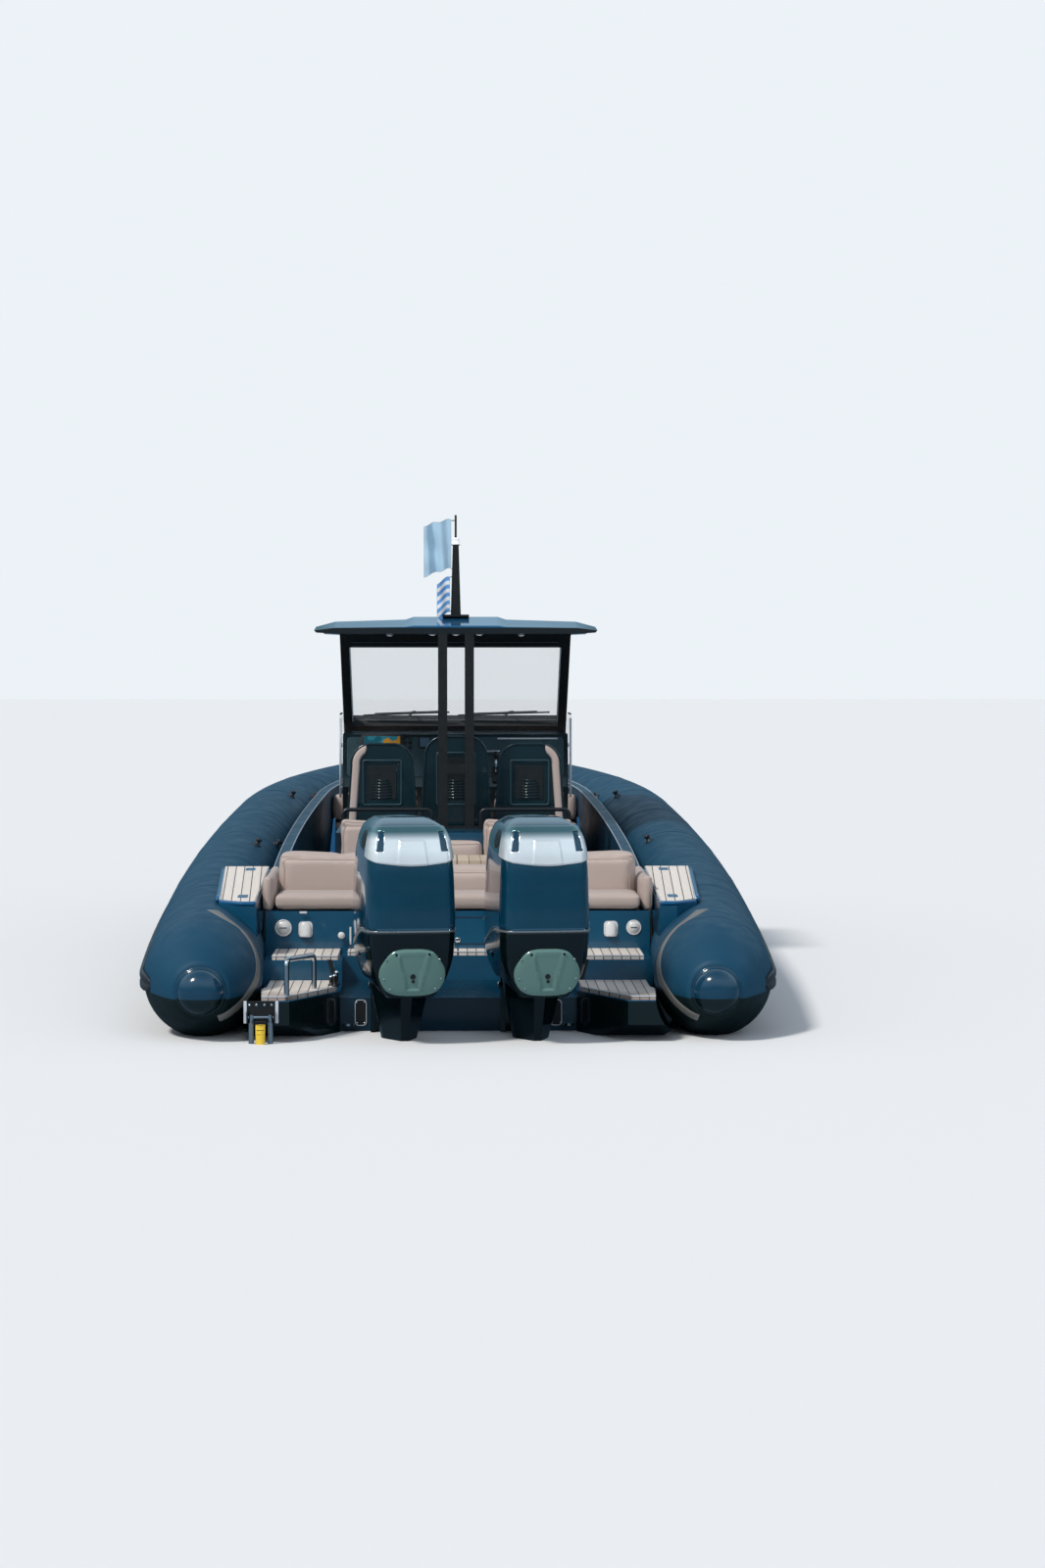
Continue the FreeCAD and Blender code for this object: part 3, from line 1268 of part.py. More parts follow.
def towing_eye(root, outward, across):
    """A lug on a root point: an arm along one direction and a round end with a hole across it."""
    thick = size("eye_thickness")
    radius = size("eye_radius")
    reach = radius + 18
    at = root + outward * reach
    disc = Part.makeCylinder(radius, thick, at - across * (thick / 2), across)
    side = outward.cross(across)
    corner = root - side * radius - across * (thick / 2)
    points = [corner, corner + side * (2 * radius)]
    points += [points[1] + outward * reach, points[0] + outward * reach]
    arm = Part.Face(Part.makePolygon(points + [points[0]])).extrude(across * thick)
    hole = Part.makeCylinder(size("eye_hole_radius"), thick * 3, at - across * (thick * 1.5), across)
    return disc.fuse(arm).cut(hole).removeSplitter()


def towing_eyes():
    """A flat eye on each side of the transom, with an upright hole."""
    eyes = []
    for name, side in SIDES:
        root = Vector(side * (size("well_half_width") - 45), -GAP, 40)
        eyes.append(towing_eye(root, Vector(0, -1, 0), ALONG_Z))
    return Part.makeCompound(eyes)


node("towing_eyes", made("towing_eyes", towing_eyes()))

# Helm wheel

DASH_RAKE = math.atan2(size("dash_rake"), size("dash_height") - size("dash_low"))
WHEEL_AXIS = Vector(0, -math.cos(DASH_RAKE), math.sin(DASH_RAKE))
DASH_POINT = Vector(0, size("console_aft") - (size("dash_height") - size("helm_wheel_height")) * math.tan(DASH_RAKE),
                    size("helm_wheel_height"))
WHEEL_CENTRE = DASH_POINT + WHEEL_AXIS * size("helm_wheel_stand_off")


def helm_wheel():
    """Rim, three spokes, hub and the shaft that reaches the dash."""
    rim = Part.makeTorus(size("helm_wheel_radius"), size("helm_rim_radius"), ORIGIN, ALONG_Z)
    parts = [Part.makeCylinder(38, 26, Vector(0, 0, -13)), rim]
    for turn in (90, 210, 330):
        heading = math.radians(turn)
        tip = Vector(math.cos(heading), math.sin(heading), 0) * size("helm_wheel_radius")
        parts.append(rod(ORIGIN, tip, 8))
    parts.append(Part.makeCylinder(24, size("helm_wheel_stand_off") - GAP, ORIGIN, Vector(0, 0, -1)))
    return parts[0].fuse(parts[1:]).removeSplitter()


node("helm_wheel", made("helm_wheel", helm_wheel(), Placement(WHEEL_CENTRE, Rotation(ALONG_Z, WHEEL_AXIS))))

# Outboard engines, drawn straight on the centreline and then set beside it and turned

TILT = Vector(0, 0, size("tilt_height"))
STEER_Y = -size("steer_behind")


def cowl_ring(level, half, rear_half, front, rear):
    """Cowl outline at one level: flat rear, round corners, bowed sides and a round front."""
    corner = (half - rear_half) * 2.2
    side_aft = rear + corner
    side_fore = front - (front - rear) * 0.34
    right = [
        (Vector(rear_half, rear, level), Vector(half - (half - rear_half) * 0.30, rear + corner * 0.34, level),
         Vector(half, side_aft, level)),
        (Vector(half, side_aft, level), Vector(half + 6, (side_aft + side_fore) / 2, level),
         Vector(half, side_fore, level)),
        (Vector(half, side_fore, level),
         Vector(half * 0.74, front - (front - side_fore) * 0.30, level), Vector(half * 0.30, front, level)),
    ]
    edges = [Part.Arc(*points).toShape() for points in right]
    left = [mirrored(edge) for edge in edges]
    closing = [
        Part.makeLine(Vector(-rear_half, rear, level), Vector(rear_half, rear, level)),
        Part.makeLine(Vector(-half * 0.30, front, level), Vector(half * 0.30, front, level)),
    ]
    return Part.Wire(Part.__sortEdges__(edges + left + closing))


def cowl_pieces():
    """Lower cowl, upper cowl and cap, each lofted between outlines."""
    half = size("cowl_half_width")
    rear_half = size("cowl_rear_half")
    front = size("cowl_front")
    rear = -size("cowl_rear")
    seam = size("cowl_seam")
    shoulder = size("cowl_shoulder")
    gap = size("cowl_gap")
    lower = Part.makeLoft([
        cowl_ring(size("cowl_foot"), half * 0.74, rear_half * 0.80, front - 60, rear + 60),
        cowl_ring(size("cowl_foot") + 90, half * 0.92, rear_half * 0.92, front - 20, rear + 26),
        cowl_ring(seam, half, rear_half, front, rear),
    ], True, True)
    skirt = Part.makeLoft([
        cowl_ring(size("skirt_foot"), half * 0.50, rear_half * 0.60, rear + 380, rear + 100),
        cowl_ring(size("cowl_foot") + 30, half * 0.74, rear_half * 0.80, rear + 430, rear + 62),
    ], True, True)
    upper = Part.makeLoft([
        cowl_ring(seam + gap, half, rear_half, front, rear),
        cowl_ring((seam + shoulder) / 2, half * 0.995, rear_half, front, rear + 4),
        cowl_ring(shoulder, half * 0.93, rear_half * 0.97, front - 24, rear + 20),
    ], True, True)
    top = size("cowl_top")
    rise = top - shoulder
    cap = Part.makeLoft([
        cowl_ring(shoulder + gap, half * 0.93, rear_half * 0.97, front - 24, rear + 20),
        cowl_ring(shoulder + rise * 0.55, half * 0.83, rear_half * 0.86, front - 44, rear + 58),
        cowl_ring(shoulder + rise * 0.86, half * 0.68, rear_half * 0.72, front - 84, rear + 128),
        cowl_ring(top, half * 0.42, rear_half * 0.46, front - 190, rear + 270),
    ], True, True)
    return lower.fuse(skirt), upper, cap


def rear_cover():
    """Oval cover on the skirt's rear, drawn in arcs."""
    wide = size("cover_half_width")
    tall = size("cover_half_height")
    middle = size("cover_height")
    rear = -size("cowl_rear") + 22
    right = [
        # first, middle and last point of each arc: across, up
        ((0, 1), (0.34, 0.985), (0.62, 0.86)),
        ((0.62, 0.86), (0.90, 0.50), (1, 0.02)),
        ((1, 0.02), (0.95, -0.46), (0.76, -0.86)),
        ((0.76, -0.86), (0.42, -0.97), (0, -1)),
    ]
    edges = []
    for row in right:
        points = [Vector(wide * across, rear, middle + tall * up) for across, up in row]
        edges.append(Part.Arc(*points).toShape())
    edges += [mirrored(edge) for edge in edges]
    face = Part.Face(Part.Wire(Part.__sortEdges__(edges)))
    return face.extrude(Vector(0, size("cover_thickness"), 0))


def foil(level, half, front, rear):
    """Leg outline at one level: round nose and a thin tail."""
    side = rear + (front - rear) * 0.45
    edges = [
        Part.Arc(Vector(half, side, level), Vector(half * 0.72, front - (front - side) * 0.26, level),
                 Vector(0, front, level)).toShape(),
        Part.makeLine(Vector(half * 0.22, rear, level), Vector(half, side, level)),
    ]
    edges += [mirrored(edge) for edge in edges]
    edges.append(Part.makeLine(Vector(-half * 0.22, rear, level), Vector(half * 0.22, rear, level)))
    return Part.Wire(Part.__sortEdges__(edges))


def leg():
    """Midsection, anti-ventilation plate, gearcase, skeg and steering pin as one casting."""
    half = size("leg_half_width")
    plate = -size("plate_depth")
    shaft = -size("shaft_depth")
    radius = size("gearcase_radius")
    front = STEER_Y - size("swivel_radius") - 14
    mid = Part.makeLoft([
        foil(plate, half * 0.72, front + 6, front - 320),
        foil(-60, half, front, front - 340),
        foil(size("skirt_foot") + 6, half * 1.9, front, front - 420),
        foil(size("cowl_foot") - 1, half * 2.1, front, front - 440),
    ], True, True)
    strut = Part.makeLoft([foil(shaft, half * 0.42, front - 20, front - 310),
                           foil(plate, half * 0.62, front + 4, front - 320)], True, True)
    sheet_rear = -size("gearcase_rear") - 2 * size("propeller_hub_length") - 30
    wide = size("plate_half_width")
    outline = [(0, front + 40), (wide * 0.7, front - 60), (wide, front - 240), (wide * 0.92, sheet_rear),
               (-wide * 0.92, sheet_rear), (-wide, front - 240), (-wide * 0.7, front - 60)]
    points = [Vector(across, along, plate) for across, along in outline]
    vent = Part.Face(Part.makePolygon(points + [points[0]])).extrude(Vector(0, 0, size("plate_thickness")))
    nose = -size("gearcase_front")
    rear = -size("gearcase_rear")
    case = Part.makeCylinder(radius, nose - radius * 1.6 - rear, Vector(0, rear, shaft), ALONG_Y)
    tip = [Vector(0, nose, shaft), Vector(0, nose - radius * 0.5, shaft + radius * 0.72),
           Vector(0, nose - radius * 1.6, shaft + radius)]
    profile = Part.Wire([Part.Arc(*tip).toShape(), Part.makeLine(tip[2], Vector(0, tip[2].y, shaft)),
                         Part.makeLine(Vector(0, tip[2].y, shaft), tip[0])])
    bullet = Part.Face(profile).revolve(Vector(0, 0, shaft), ALONG_Y, 360)
    thick = size("skeg_thickness")
    fin = [(front - 60, shaft - radius * 0.7), (front - 190, -size("skeg_depth")),
           (front - 300, -size("skeg_depth")), (front - 320, shaft - radius * 0.7)]
    skeg = slab([Vector(0, along, up) for along, up in fin], -thick / 2, thick / 2)
    pin_low = -size("swivel_foot") - 60
    pin = rod(Vector(0, STEER_Y, pin_low), Vector(0, STEER_Y, size("cowl_foot") - 1), size("kingpin_radius"))
    mount = size("swivel_radius") + 4
    gap = 5
    yokes = [
        Part.makeBox(2 * mount, mount * 2 + 40, 55, Vector(-mount, front - 40 + 14, pin_low)),
        Part.makeBox(2 * mount, mount * 2 + 40, size("cowl_foot") - 1 - size("swivel_top") - gap,
                     Vector(-mount, front - 40 + 14, size("swivel_top") + gap)),
    ]
    length = 2 * (size("propeller_hub_length") + size("propeller_gap")) + 14
    spindle = rod(Vector(0, rear, shaft), Vector(0, rear - length, shaft), size("propeller_shaft_radius"))
    solid = mid.fuse([strut, vent, case, bullet, skeg, pin, spindle] + yokes)
    return solid.removeSplitter()


def propeller(hand, start):
    """Hub and three twisted blades, of either hand."""
    shaft = -size("shaft_depth")
    hub_length = size("propeller_hub_length")
    hub = Part.makeCylinder(size("propeller_hub_radius"), hub_length, ORIGIN, Vector(0, -1, 0))
    blades = []
    root = size("propeller_hub_radius") * 0.8
    reach = size("propeller_radius")
    rows = [
        # radius, chord, thickness
        (root, hub_length * 1.02, size("blade_thickness")),
        (reach * 0.62, hub_length * 1.55, size("blade_thickness") * 0.6),
        (reach * 0.97, hub_length * 0.75, size("blade_thickness") * 0.35),
    ]
    rings = []
    for radius, chord, thick in rows:
        pitch = math.atan2(size("propeller_pitch"), 2 * math.pi * radius)
        along = Vector(math.cos(pitch) * hand, -math.sin(pitch), 0) * (chord / 2)
        across = Vector(math.sin(pitch), math.cos(pitch) * hand, 0) * (thick / 2)
        middle = Vector(0, -hub_length / 2, radius)
        corners = [middle - along - across, middle + along - across, middle + along + across,
                   middle - along + across]
        rings.append(Part.makePolygon(corners + [corners[0]]))
    blade = Part.makeLoft(rings, True, True)
    for turn in (0, 120, 240):
        copy = blade.copy()
        copy.rotate(ORIGIN, ALONG_Y, turn)
        blades.append(copy)
    bore = Part.makeCylinder(size("propeller_shaft_radius") + size("running_gap"), hub_length * 3,
                             Vector(0, hub_length, 0), Vector(0, -1, 0))
    solid = hub.fuse(blades).cut(bore).removeSplitter()
    return solid.translated(Vector(0, start, shaft))


def swivel_bracket():
    """Tilt tube, arm and the upright tube that carries the steering pin."""
    radius = size("swivel_radius")
    inner = size("cheek_inner") - 3
    top = size("swivel_top")
    foot = -size("swivel_foot")
    tube = rod(Vector(0, STEER_Y, foot), Vector(0, STEER_Y, top), radius)
    boss = size("tilt_tube_radius") * 1.7
    knuckle = rod(TILT - Vector(inner, 0, 0), TILT + Vector(inner, 0, 0), boss)
    axle = rod(TILT - Vector(inner + size("cheek_thickness") + 12, 0, 0),
               TILT + Vector(inner + size("cheek_thickness") + 12, 0, 0), size("tilt_tube_radius"))
    web = [(0, TILT.z + boss), (STEER_Y, top), (STEER_Y, TILT.z - boss * 1.2), (0, TILT.z - boss)]
    arm = slab([Vector(0, along, up) for along, up in web], -inner * 0.8, inner * 0.8)
    bore = rod(Vector(0, STEER_Y, foot - 10), Vector(0, STEER_Y, top + 10),
               size("kingpin_radius") + size("running_gap"))
    solid = tube.fuse([knuckle, axle, arm]).cut(bore)
    return solid.removeSplitter()


def clamp_bracket():
    """Two cheeks and the plate that bolts them to the transom."""
    inner = size("cheek_inner")
    thick = size("cheek_thickness")
    foot = -size("cheek_foot")
    profile = [(-GAP, foot), (-GAP, HULL_TOP_AFT + 6), (46, HULL_TOP_AFT + 6), (46, TILT.z + 10),
               (24, TILT.z + 44), (-30, TILT.z + 44), (-62, TILT.z), (-84, foot + 60), (-84, foot)]
    points = [Vector(0, along, up) for along, up in profile]
    cheeks = [slab(points, inner, inner + thick), slab(points, -inner - thick, -inner)]
    plate = Part.makeBox(2 * inner, 16, HULL_TOP_AFT - 40 - foot, Vector(-inner, -GAP - 16, foot))
    hole = rod(TILT - Vector(500, 0, 0), TILT + Vector(500, 0, 0), size("tilt_tube_radius") + size("running_gap"))
    return cheeks[0].fuse([cheeks[1], plate]).cut(hole).removeSplitter()


LOWER, UPPER, CAP = cowl_pieces()
LEG = leg()
COVER = rear_cover()
ENGINE_SHAPES = {
    "leg": LEG,
    "cowl_lower": LOWER.cut([LEG, COVER]).removeSplitter(),
    "cowl_upper": UPPER,
    "cowl_cap": CAP,
    "rear_cover": COVER,
    "propeller_fore": propeller(1, -size("gearcase_rear") - size("propeller_gap")),
    "propeller_aft": propeller(-1, -size("gearcase_rear") - 2 * size("propeller_gap")
                               - size("propeller_hub_length")),
}
TURN = Placement(ORIGIN, Rotation(ALONG_Z, size("engine_turn")), Vector(0, STEER_Y, 0))
for name, side in SIDES:
    beside = Placement(Vector(side * size("engine_spacing") / 2, 0, 0), Rotation())
    node("clamp_bracket_" + name, made("clamp_bracket_" + name, clamp_bracket(), beside))
    node("swivel_bracket_" + name, made("swivel_bracket_" + name, swivel_bracket(), beside))
    for piece, shape in ENGINE_SHAPES.items():
        label = piece + "_" + name
        node(label, made(label, shape, beside.multiply(TURN)))

doc.recompute()

# Every object must be sound before anything is written

faults = []
for thing in doc.Objects:
    if "Invalid" in thing.State or "Error" in thing.State:
        faults.append(thing.Name + " " + str(thing.State))
for thing in NODES:
    if thing.Shape.isNull() or not thing.Shape.isValid():
        faults.append(thing.Label + " has no sound shape")
    if not thing.Shape.Solids:
        faults.append(thing.Label + " has no solid")
if faults:
    raise RuntimeError("; ".join(faults))

os.makedirs("parts", exist_ok=True)
total = 0
for thing in NODES:
    thing.Shape.exportStep("parts/" + thing.Label + ".step")
    total += thing.Shape.Volume
    print(thing.Label, len(thing.Shape.Solids), round(thing.Shape.Volume / 1e9, 4))
print("nodes", len(NODES), "volume in cubic metres", round(total / 1e9, 3))
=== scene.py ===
# %% [markdown]
# # An open rigid inflatable boat
# A rib is a deep vee hull with a fat air-filled collar round it. This one carries a pair of outboard engines,
# a helm under a small hard top and soft seats fore and aft. The solids of the boat are loaded first, in metres,
# with +X to starboard, +Y to the bow and the waterline at z = 0. Everything below dresses those solids.

# %% Load the boat's solids
import math

import bmesh
import bpy
import mathutils
import numpy as np
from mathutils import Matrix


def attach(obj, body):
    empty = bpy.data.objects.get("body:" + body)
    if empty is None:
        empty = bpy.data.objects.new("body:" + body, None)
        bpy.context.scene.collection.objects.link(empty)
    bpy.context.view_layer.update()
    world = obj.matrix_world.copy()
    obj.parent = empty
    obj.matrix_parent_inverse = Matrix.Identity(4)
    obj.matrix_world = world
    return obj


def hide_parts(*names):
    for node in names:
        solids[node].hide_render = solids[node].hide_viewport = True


SIDES = (("port", -1), ("starboard", 1))
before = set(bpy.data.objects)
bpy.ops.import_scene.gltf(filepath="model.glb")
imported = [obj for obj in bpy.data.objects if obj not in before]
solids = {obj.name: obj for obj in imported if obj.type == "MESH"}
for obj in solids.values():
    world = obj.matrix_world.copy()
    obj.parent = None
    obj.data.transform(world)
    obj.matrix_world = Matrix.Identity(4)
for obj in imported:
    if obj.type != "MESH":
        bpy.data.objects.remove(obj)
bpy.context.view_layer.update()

# %% [markdown]
# ## Camera
# The camera stands twenty metres astern and two metres over the waterline. Its long lens flattens depth, so the
# bow looks almost as wide as the stern. The lens is given for a tall frame.

# %% Camera astern
EYE = (-0.07, -19.90, 2.05)
LENS_DOWN, LENS_LEFT = math.radians(2.05), math.radians(1.2)
lens = bpy.data.cameras.new("astern_view")
lens.sensor_fit = "VERTICAL"
lens.sensor_height = 36.0
lens.lens = 84.6
lens.clip_end = 500.0
camera = bpy.data.objects.new("astern_view", lens)
camera.location = EYE
camera.rotation_euler = (math.radians(90) - LENS_DOWN, 0.0, -LENS_LEFT)
bpy.context.scene.collection.objects.link(camera)
bpy.context.scene.camera = camera
bpy.context.scene.view_settings.view_transform = "Standard"
print("camera", EYE, "lens", lens.lens)

# %% [markdown]
# ## Floor and light
# The floor is a plain pale sheet at the waterline, so it cuts the hull where the boat floats. The sky is pale
# and even, and one broad lamp stands high to port, where the sun was, so each form has a lit side and a shadow. A
# weak one astern fills the shadows.


# %% Floor at the waterline
def grid_mesh(name, points, closed_u=False, closed_v=False):
    """Mesh of quads over a grid of points, joined round where a direction is closed."""
    rows, columns = points.shape[:2]
    index = np.arange(rows * columns).reshape(rows, columns)
    if closed_u:
        index = np.concatenate([index, index[:, :1]], axis=1)
    if closed_v:
        index = np.concatenate([index, index[:1]], axis=0)
    quads = np.stack([index[:-1, :-1], index[:-1, 1:], index[1:, 1:], index[1:, :-1]], axis=-1).reshape(-1, 4)
    mesh = bpy.data.meshes.new(name)
    mesh.from_pydata(points.reshape(-1, 3).tolist(), [], quads.tolist())
    mesh.update()
    return mesh


def placed(name, mesh, finish=None, smooth=True):
    """Puts a mesh in the scene as an object at the origin."""
    thing = bpy.data.objects.new(name, mesh)
    bpy.context.scene.collection.objects.link(thing)
    if finish is not None:
        mesh.materials.append(finish)
    if smooth:
        mesh.polygons.foreach_set("use_smooth", np.ones(len(mesh.polygons), dtype=bool))
    return thing


FLOOR_REACH = 140
reach = np.linspace(-FLOOR_REACH, FLOOR_REACH, 3)
flat = np.stack([*np.meshgrid(reach, reach), np.zeros((3, 3))], axis=-1)
floor = placed("floor", grid_mesh("floor", flat), smooth=False)
print("floor faces", len(floor.data.polygons))

# %% [markdown]
# ### Shader nodes
# Every finish is a small graph of nodes. These helpers add one node each and give back the socket it feeds, so
# that a finish reads like a sum: a noise, a mix of two colours, a bump.


# %% Helpers for shader nodes
def new_material(name, **values):
    """An empty node material with its tree and its Principled shader, some of whose sockets are given values."""
    material = bpy.data.materials.new(name)
    material.use_nodes = True
    tree = material.node_tree
    shader = tree.nodes["Principled BSDF"]
    for socket, value in values.items():
        shader.inputs[socket.replace("_", " ")].default_value = value
    return material, tree, shader


def put(tree, kind, inputs=(), **settings):
    """Adds a node, sets its properties and its sockets by name or number."""
    node = tree.nodes.new("ShaderNode" + kind)
    for name, value in settings.items():
        setattr(node, name, value)
    for key, value in dict(inputs).items():
        if isinstance(value, bpy.types.NodeSocket):
            tree.links.new(value, node.inputs[key])
        else:
            node.inputs[key].default_value = value
    return node


def object_place(tree):
    """Object coordinates, in metres."""
    return put(tree, "TexCoord").outputs["Object"]


def maths(tree, operation, *values):
    """Result of a sum on numbers or sockets."""
    return put(tree, "Math", dict(enumerate(values)), operation=operation).outputs[0]


def remap(tree, value, start, end, low=0.0, high=1.0):
    """A value carried from one range to another and kept inside it."""
    ends = {"Value": value, "From Min": start, "From Max": end, "To Min": low, "To Max": high}
    return put(tree, "MapRange", ends).outputs["Result"]


def mixed(tree, share, first, second):
    """A mix of two colours, each a socket or three numbers."""
    colours = [c if isinstance(c, bpy.types.NodeSocket) else (*c, 1) for c in (first, second)]
    return put(tree, "Mix", {"Factor": share, "A": colours[0], "B": colours[1]}, data_type="RGBA").outputs["Result"]


def noise(tree, place, scale, detail, **more):
    """Soft noise between 0 and 1."""
    return put(tree, "TexNoise", {"Vector": place, "Scale": scale, "Detail": detail, **more}).outputs["Fac"]


def cells(tree, place, scale):
    """Distance to the nearest of many scattered points, for a weave or a pebbled grain."""
    return put(tree, "TexVoronoi", {"Vector": place, "Scale": scale}).outputs["Distance"]


def bumped(tree, height, strength, distance, **more):
    """A normal tilted by a height."""
    return put(tree, "Bump", {"Height": height, "Strength": strength, "Distance": distance, **more}).outputs["Normal"]


def colour_stops(tree, share, stops, interpolation="LINEAR"):
    """A colour picked from stops of place and colour."""
    ramp = put(tree, "ValToRGB", {"Fac": share})
    ramp.color_ramp.interpolation = interpolation
    own = ramp.color_ramp.elements
    for number, (place, colour) in enumerate(stops):
        stop = own[number] if number < 2 else own.new(place)
        stop.position, stop.color = place, (*colour, 1)
    return ramp.outputs["Color"]


print("node helpers are ready")


# %% Floor finish, sky and lamps
PALE_SKY = (0.84, 0.89, 0.93)
MIRRORED_SKY = [
    # height of the direction, colour that glossy pieces see there
    (0.0, (0.05, 0.12, 0.15)), (0.14, (0.10, 0.19, 0.25)), (0.34, (0.36, 0.52, 0.64)), (0.60, (0.50, 0.66, 0.78)),
    (1.0, (0.16, 0.26, 0.38)),
]
pale, tree, shader = new_material("pale_floor", Roughness=0.9, Specular_IOR_Level=0.1)
glossy = put(tree, "LightPath").outputs["Is Glossy Ray"]
tree.links.new(mixed(tree, glossy, (0.80, 0.82, 0.84), (0.10, 0.16, 0.22)), shader.inputs["Base Color"])
floor.data.materials.append(pale)

world = bpy.data.worlds.new("pale_sky")
bpy.context.scene.world = world
world.use_nodes = True
sky = world.node_tree
ray = put(sky, "LightPath")
up = put(sky, "SeparateXYZ", {"Vector": put(sky, "TexCoord").outputs["Generated"]})
mirror = colour_stops(sky, up.outputs["Z"], MIRRORED_SKY)
even = mixed(sky, ray.outputs["Is Camera Ray"], (0.40, 0.44, 0.50), PALE_SKY)
shown = mixed(sky, ray.outputs["Is Glossy Ray"], even, mirror)
clear = mixed(sky, ray.outputs["Is Transmission Ray"], shown, PALE_SKY)
backing = sky.nodes["Background"]
sky.links.new(clear, backing.inputs["Color"])
backing.inputs["Strength"].default_value = 1.0


def sun_lamp(name, towards, strength, angle, colour):
    """A lamp so far off that it lights every part alike, from the direction of a vector."""
    light = bpy.data.lights.new(name, "SUN")
    light.energy = strength
    light.angle = math.radians(angle)
    light.color = colour
    thing = bpy.data.objects.new(name, light)
    thing.rotation_euler = mathutils.Vector(towards).to_track_quat("Z", "Y").to_euler()
    bpy.context.scene.collection.objects.link(thing)
    return thing


sun = sun_lamp("port_sun", (-0.62, -0.55, 0.95), 2.5, 9.0, (1.0, 0.95, 0.88))
fill = sun_lamp("astern_fill", (0.35, -1.0, 0.28), 0.55, 40.0, (0.90, 0.95, 1.0))
fill.visible_glossy = False
print("lamps", sun.name, fill.name)

# %% [markdown]
# ## Finishes
# A finish is more than a colour. Rubberised cloth has a fine weave and chalky scuffs, glossy moulding has faint
# ripples and dust, and vinyl has a pebbled grain. Each finish below reads Object coordinates, in metres, so that
# the scale of its grain is the real one wherever the piece is.


# %% A finish with mottling and grain
def finish(name, colour, rough, metallic=0.0, mottle=0.12, patch=3.0, grain=0.0, grain_size=0.002, coat=0.0,
           uneven=0.08, sheen=0.0, second=None):
    """Principled finish whose colour drifts between two tones in soft patches, with a fine bump for its grain."""
    material, tree, shader = new_material(name, Metallic=metallic, Coat_Weight=coat, Coat_Roughness=0.04,
                                          Sheen_Weight=sheen)
    place = object_place(tree)
    cloud = noise(tree, place, patch, 5.0, Roughness=0.6)
    dark = [c * (1 - mottle) for c in colour]
    light = second or [min(1, c * (1 + mottle)) for c in colour]
    tree.links.new(mixed(tree, cloud, dark, light), shader.inputs["Base Color"])
    wear = noise(tree, place, patch * 6, 4.0)
    matt = remap(tree, wear, 0.3, 0.7, max(0.02, rough - uneven), min(1, rough + uneven))
    tree.links.new(matt, shader.inputs["Roughness"])
    if grain:
        bump = bumped(tree, cells(tree, place, 1 / grain_size), grain, grain_size)
        tree.links.new(bump, shader.inputs["Normal"])
    return material


print("the plain finish is ready")

# %% Plain finishes of the boat
STEEL, PAINT_BLACK, GEL_BLACK = (0.74, 0.75, 0.77), (0.008, 0.009, 0.010), (0.008, 0.009, 0.011)
TAUPE = (0.46, 0.375, 0.340)
navy_gel = finish("navy_gelcoat", (0.002, 0.070, 0.145), 0.2, mottle=0.25, patch=1.5, coat=0.6, uneven=0.05,
                  second=(0.005, 0.086, 0.172))
hull_gel = finish("hull_gelcoat", (0.002, 0.022, 0.045), 0.22, mottle=0.2, patch=1.0, coat=0.4)
black_paint = finish("black_powder_coat", PAINT_BLACK, 0.42, mottle=0.2, patch=4, grain=0.15, grain_size=0.0015)
stainless = finish("polished_stainless", STEEL, 0.16, metallic=1.0, mottle=0.05, patch=20)
liner_gel = finish("liner_gelcoat", (0.003, 0.040, 0.082), 0.48, mottle=0.2, patch=1.5)
seat_shell_gel = finish("seat_shell_gelcoat", (0.003, 0.016, 0.022), 0.2, mottle=0.3, patch=2.0, coat=0.5)
taupe_vinyl = finish("taupe_vinyl", TAUPE, 0.52, mottle=0.07, patch=5.0, grain=0.25, grain_size=0.0022, sheen=0.06)
engine_navy = finish("engine_navy", (0.002, 0.040, 0.078), 0.14, metallic=0.2, mottle=0.3, coat=1.0, uneven=0.04)
engine_black = finish("engine_black", (0.001, 0.004, 0.005), 0.12, mottle=0.2, coat=0.3, uneven=0.05)
cover_grey = finish("cover_grey", (0.13, 0.24, 0.215), 0.22, metallic=0.4, mottle=0.06, patch=1.5, coat=0.8,
                    uneven=0.02)
propeller_steel = finish("propeller_steel", (0.62, 0.63, 0.65), 0.2, metallic=1.0, mottle=0.08, patch=12)
rim_leather = finish("rim_leather", (0.02, 0.02, 0.022), 0.5, grain=0.3, grain_size=0.0015)
# Black that stands for the shade inside slots, holes, grooves, recesses, vent mouths and joints: painted shade.
opening_shade_black = finish("opening_shade_black", (0.006, 0.006, 0.008), 0.5, mottle=0.1)
seam_grey = finish("seam_grey", (0.22, 0.24, 0.26), 0.32, metallic=0.6, mottle=0.05, coat=0.3)
strake_rubber = finish("strake_rubber", (0.016, 0.018, 0.024), 0.45, mottle=0.25, patch=2.5, grain=0.1)

print("plain finishes", len(bpy.data.materials))


# %% Finishes in two tones
def two_tone(name, axis, level, below, above, rough, metallic=(0.0, 0.0), coat=0.0, soft=0.003, window=None):
    """Finish that changes along one axis at a level, or inside a window of that axis, with a narrow edge."""
    material, tree, shader = new_material(name, Coat_Weight=coat, Coat_Roughness=0.05)
    place = object_place(tree)
    along = put(tree, "SeparateXYZ", {"Vector": place}).outputs[axis]
    share = remap(tree, along, level - soft, level + soft)
    if window is not None:
        share = maths(tree, "SUBTRACT", share, remap(tree, along, window - soft, window + soft))
    for socket, (low, high) in (("Roughness", rough), ("Metallic", metallic)):
        tree.links.new(remap(tree, share, 0.0, 1.0, low, high), shader.inputs[socket])
    worn = remap(tree, noise(tree, place, 4.0, 4.0), 0.0, 1.0, 0.8, 1.15)
    shade = put(tree, "VectorMath", {0: mixed(tree, share, below, above), 1: worn}, operation="MULTIPLY")
    tree.links.new(shade.outputs[0], shader.inputs["Base Color"])
    return material


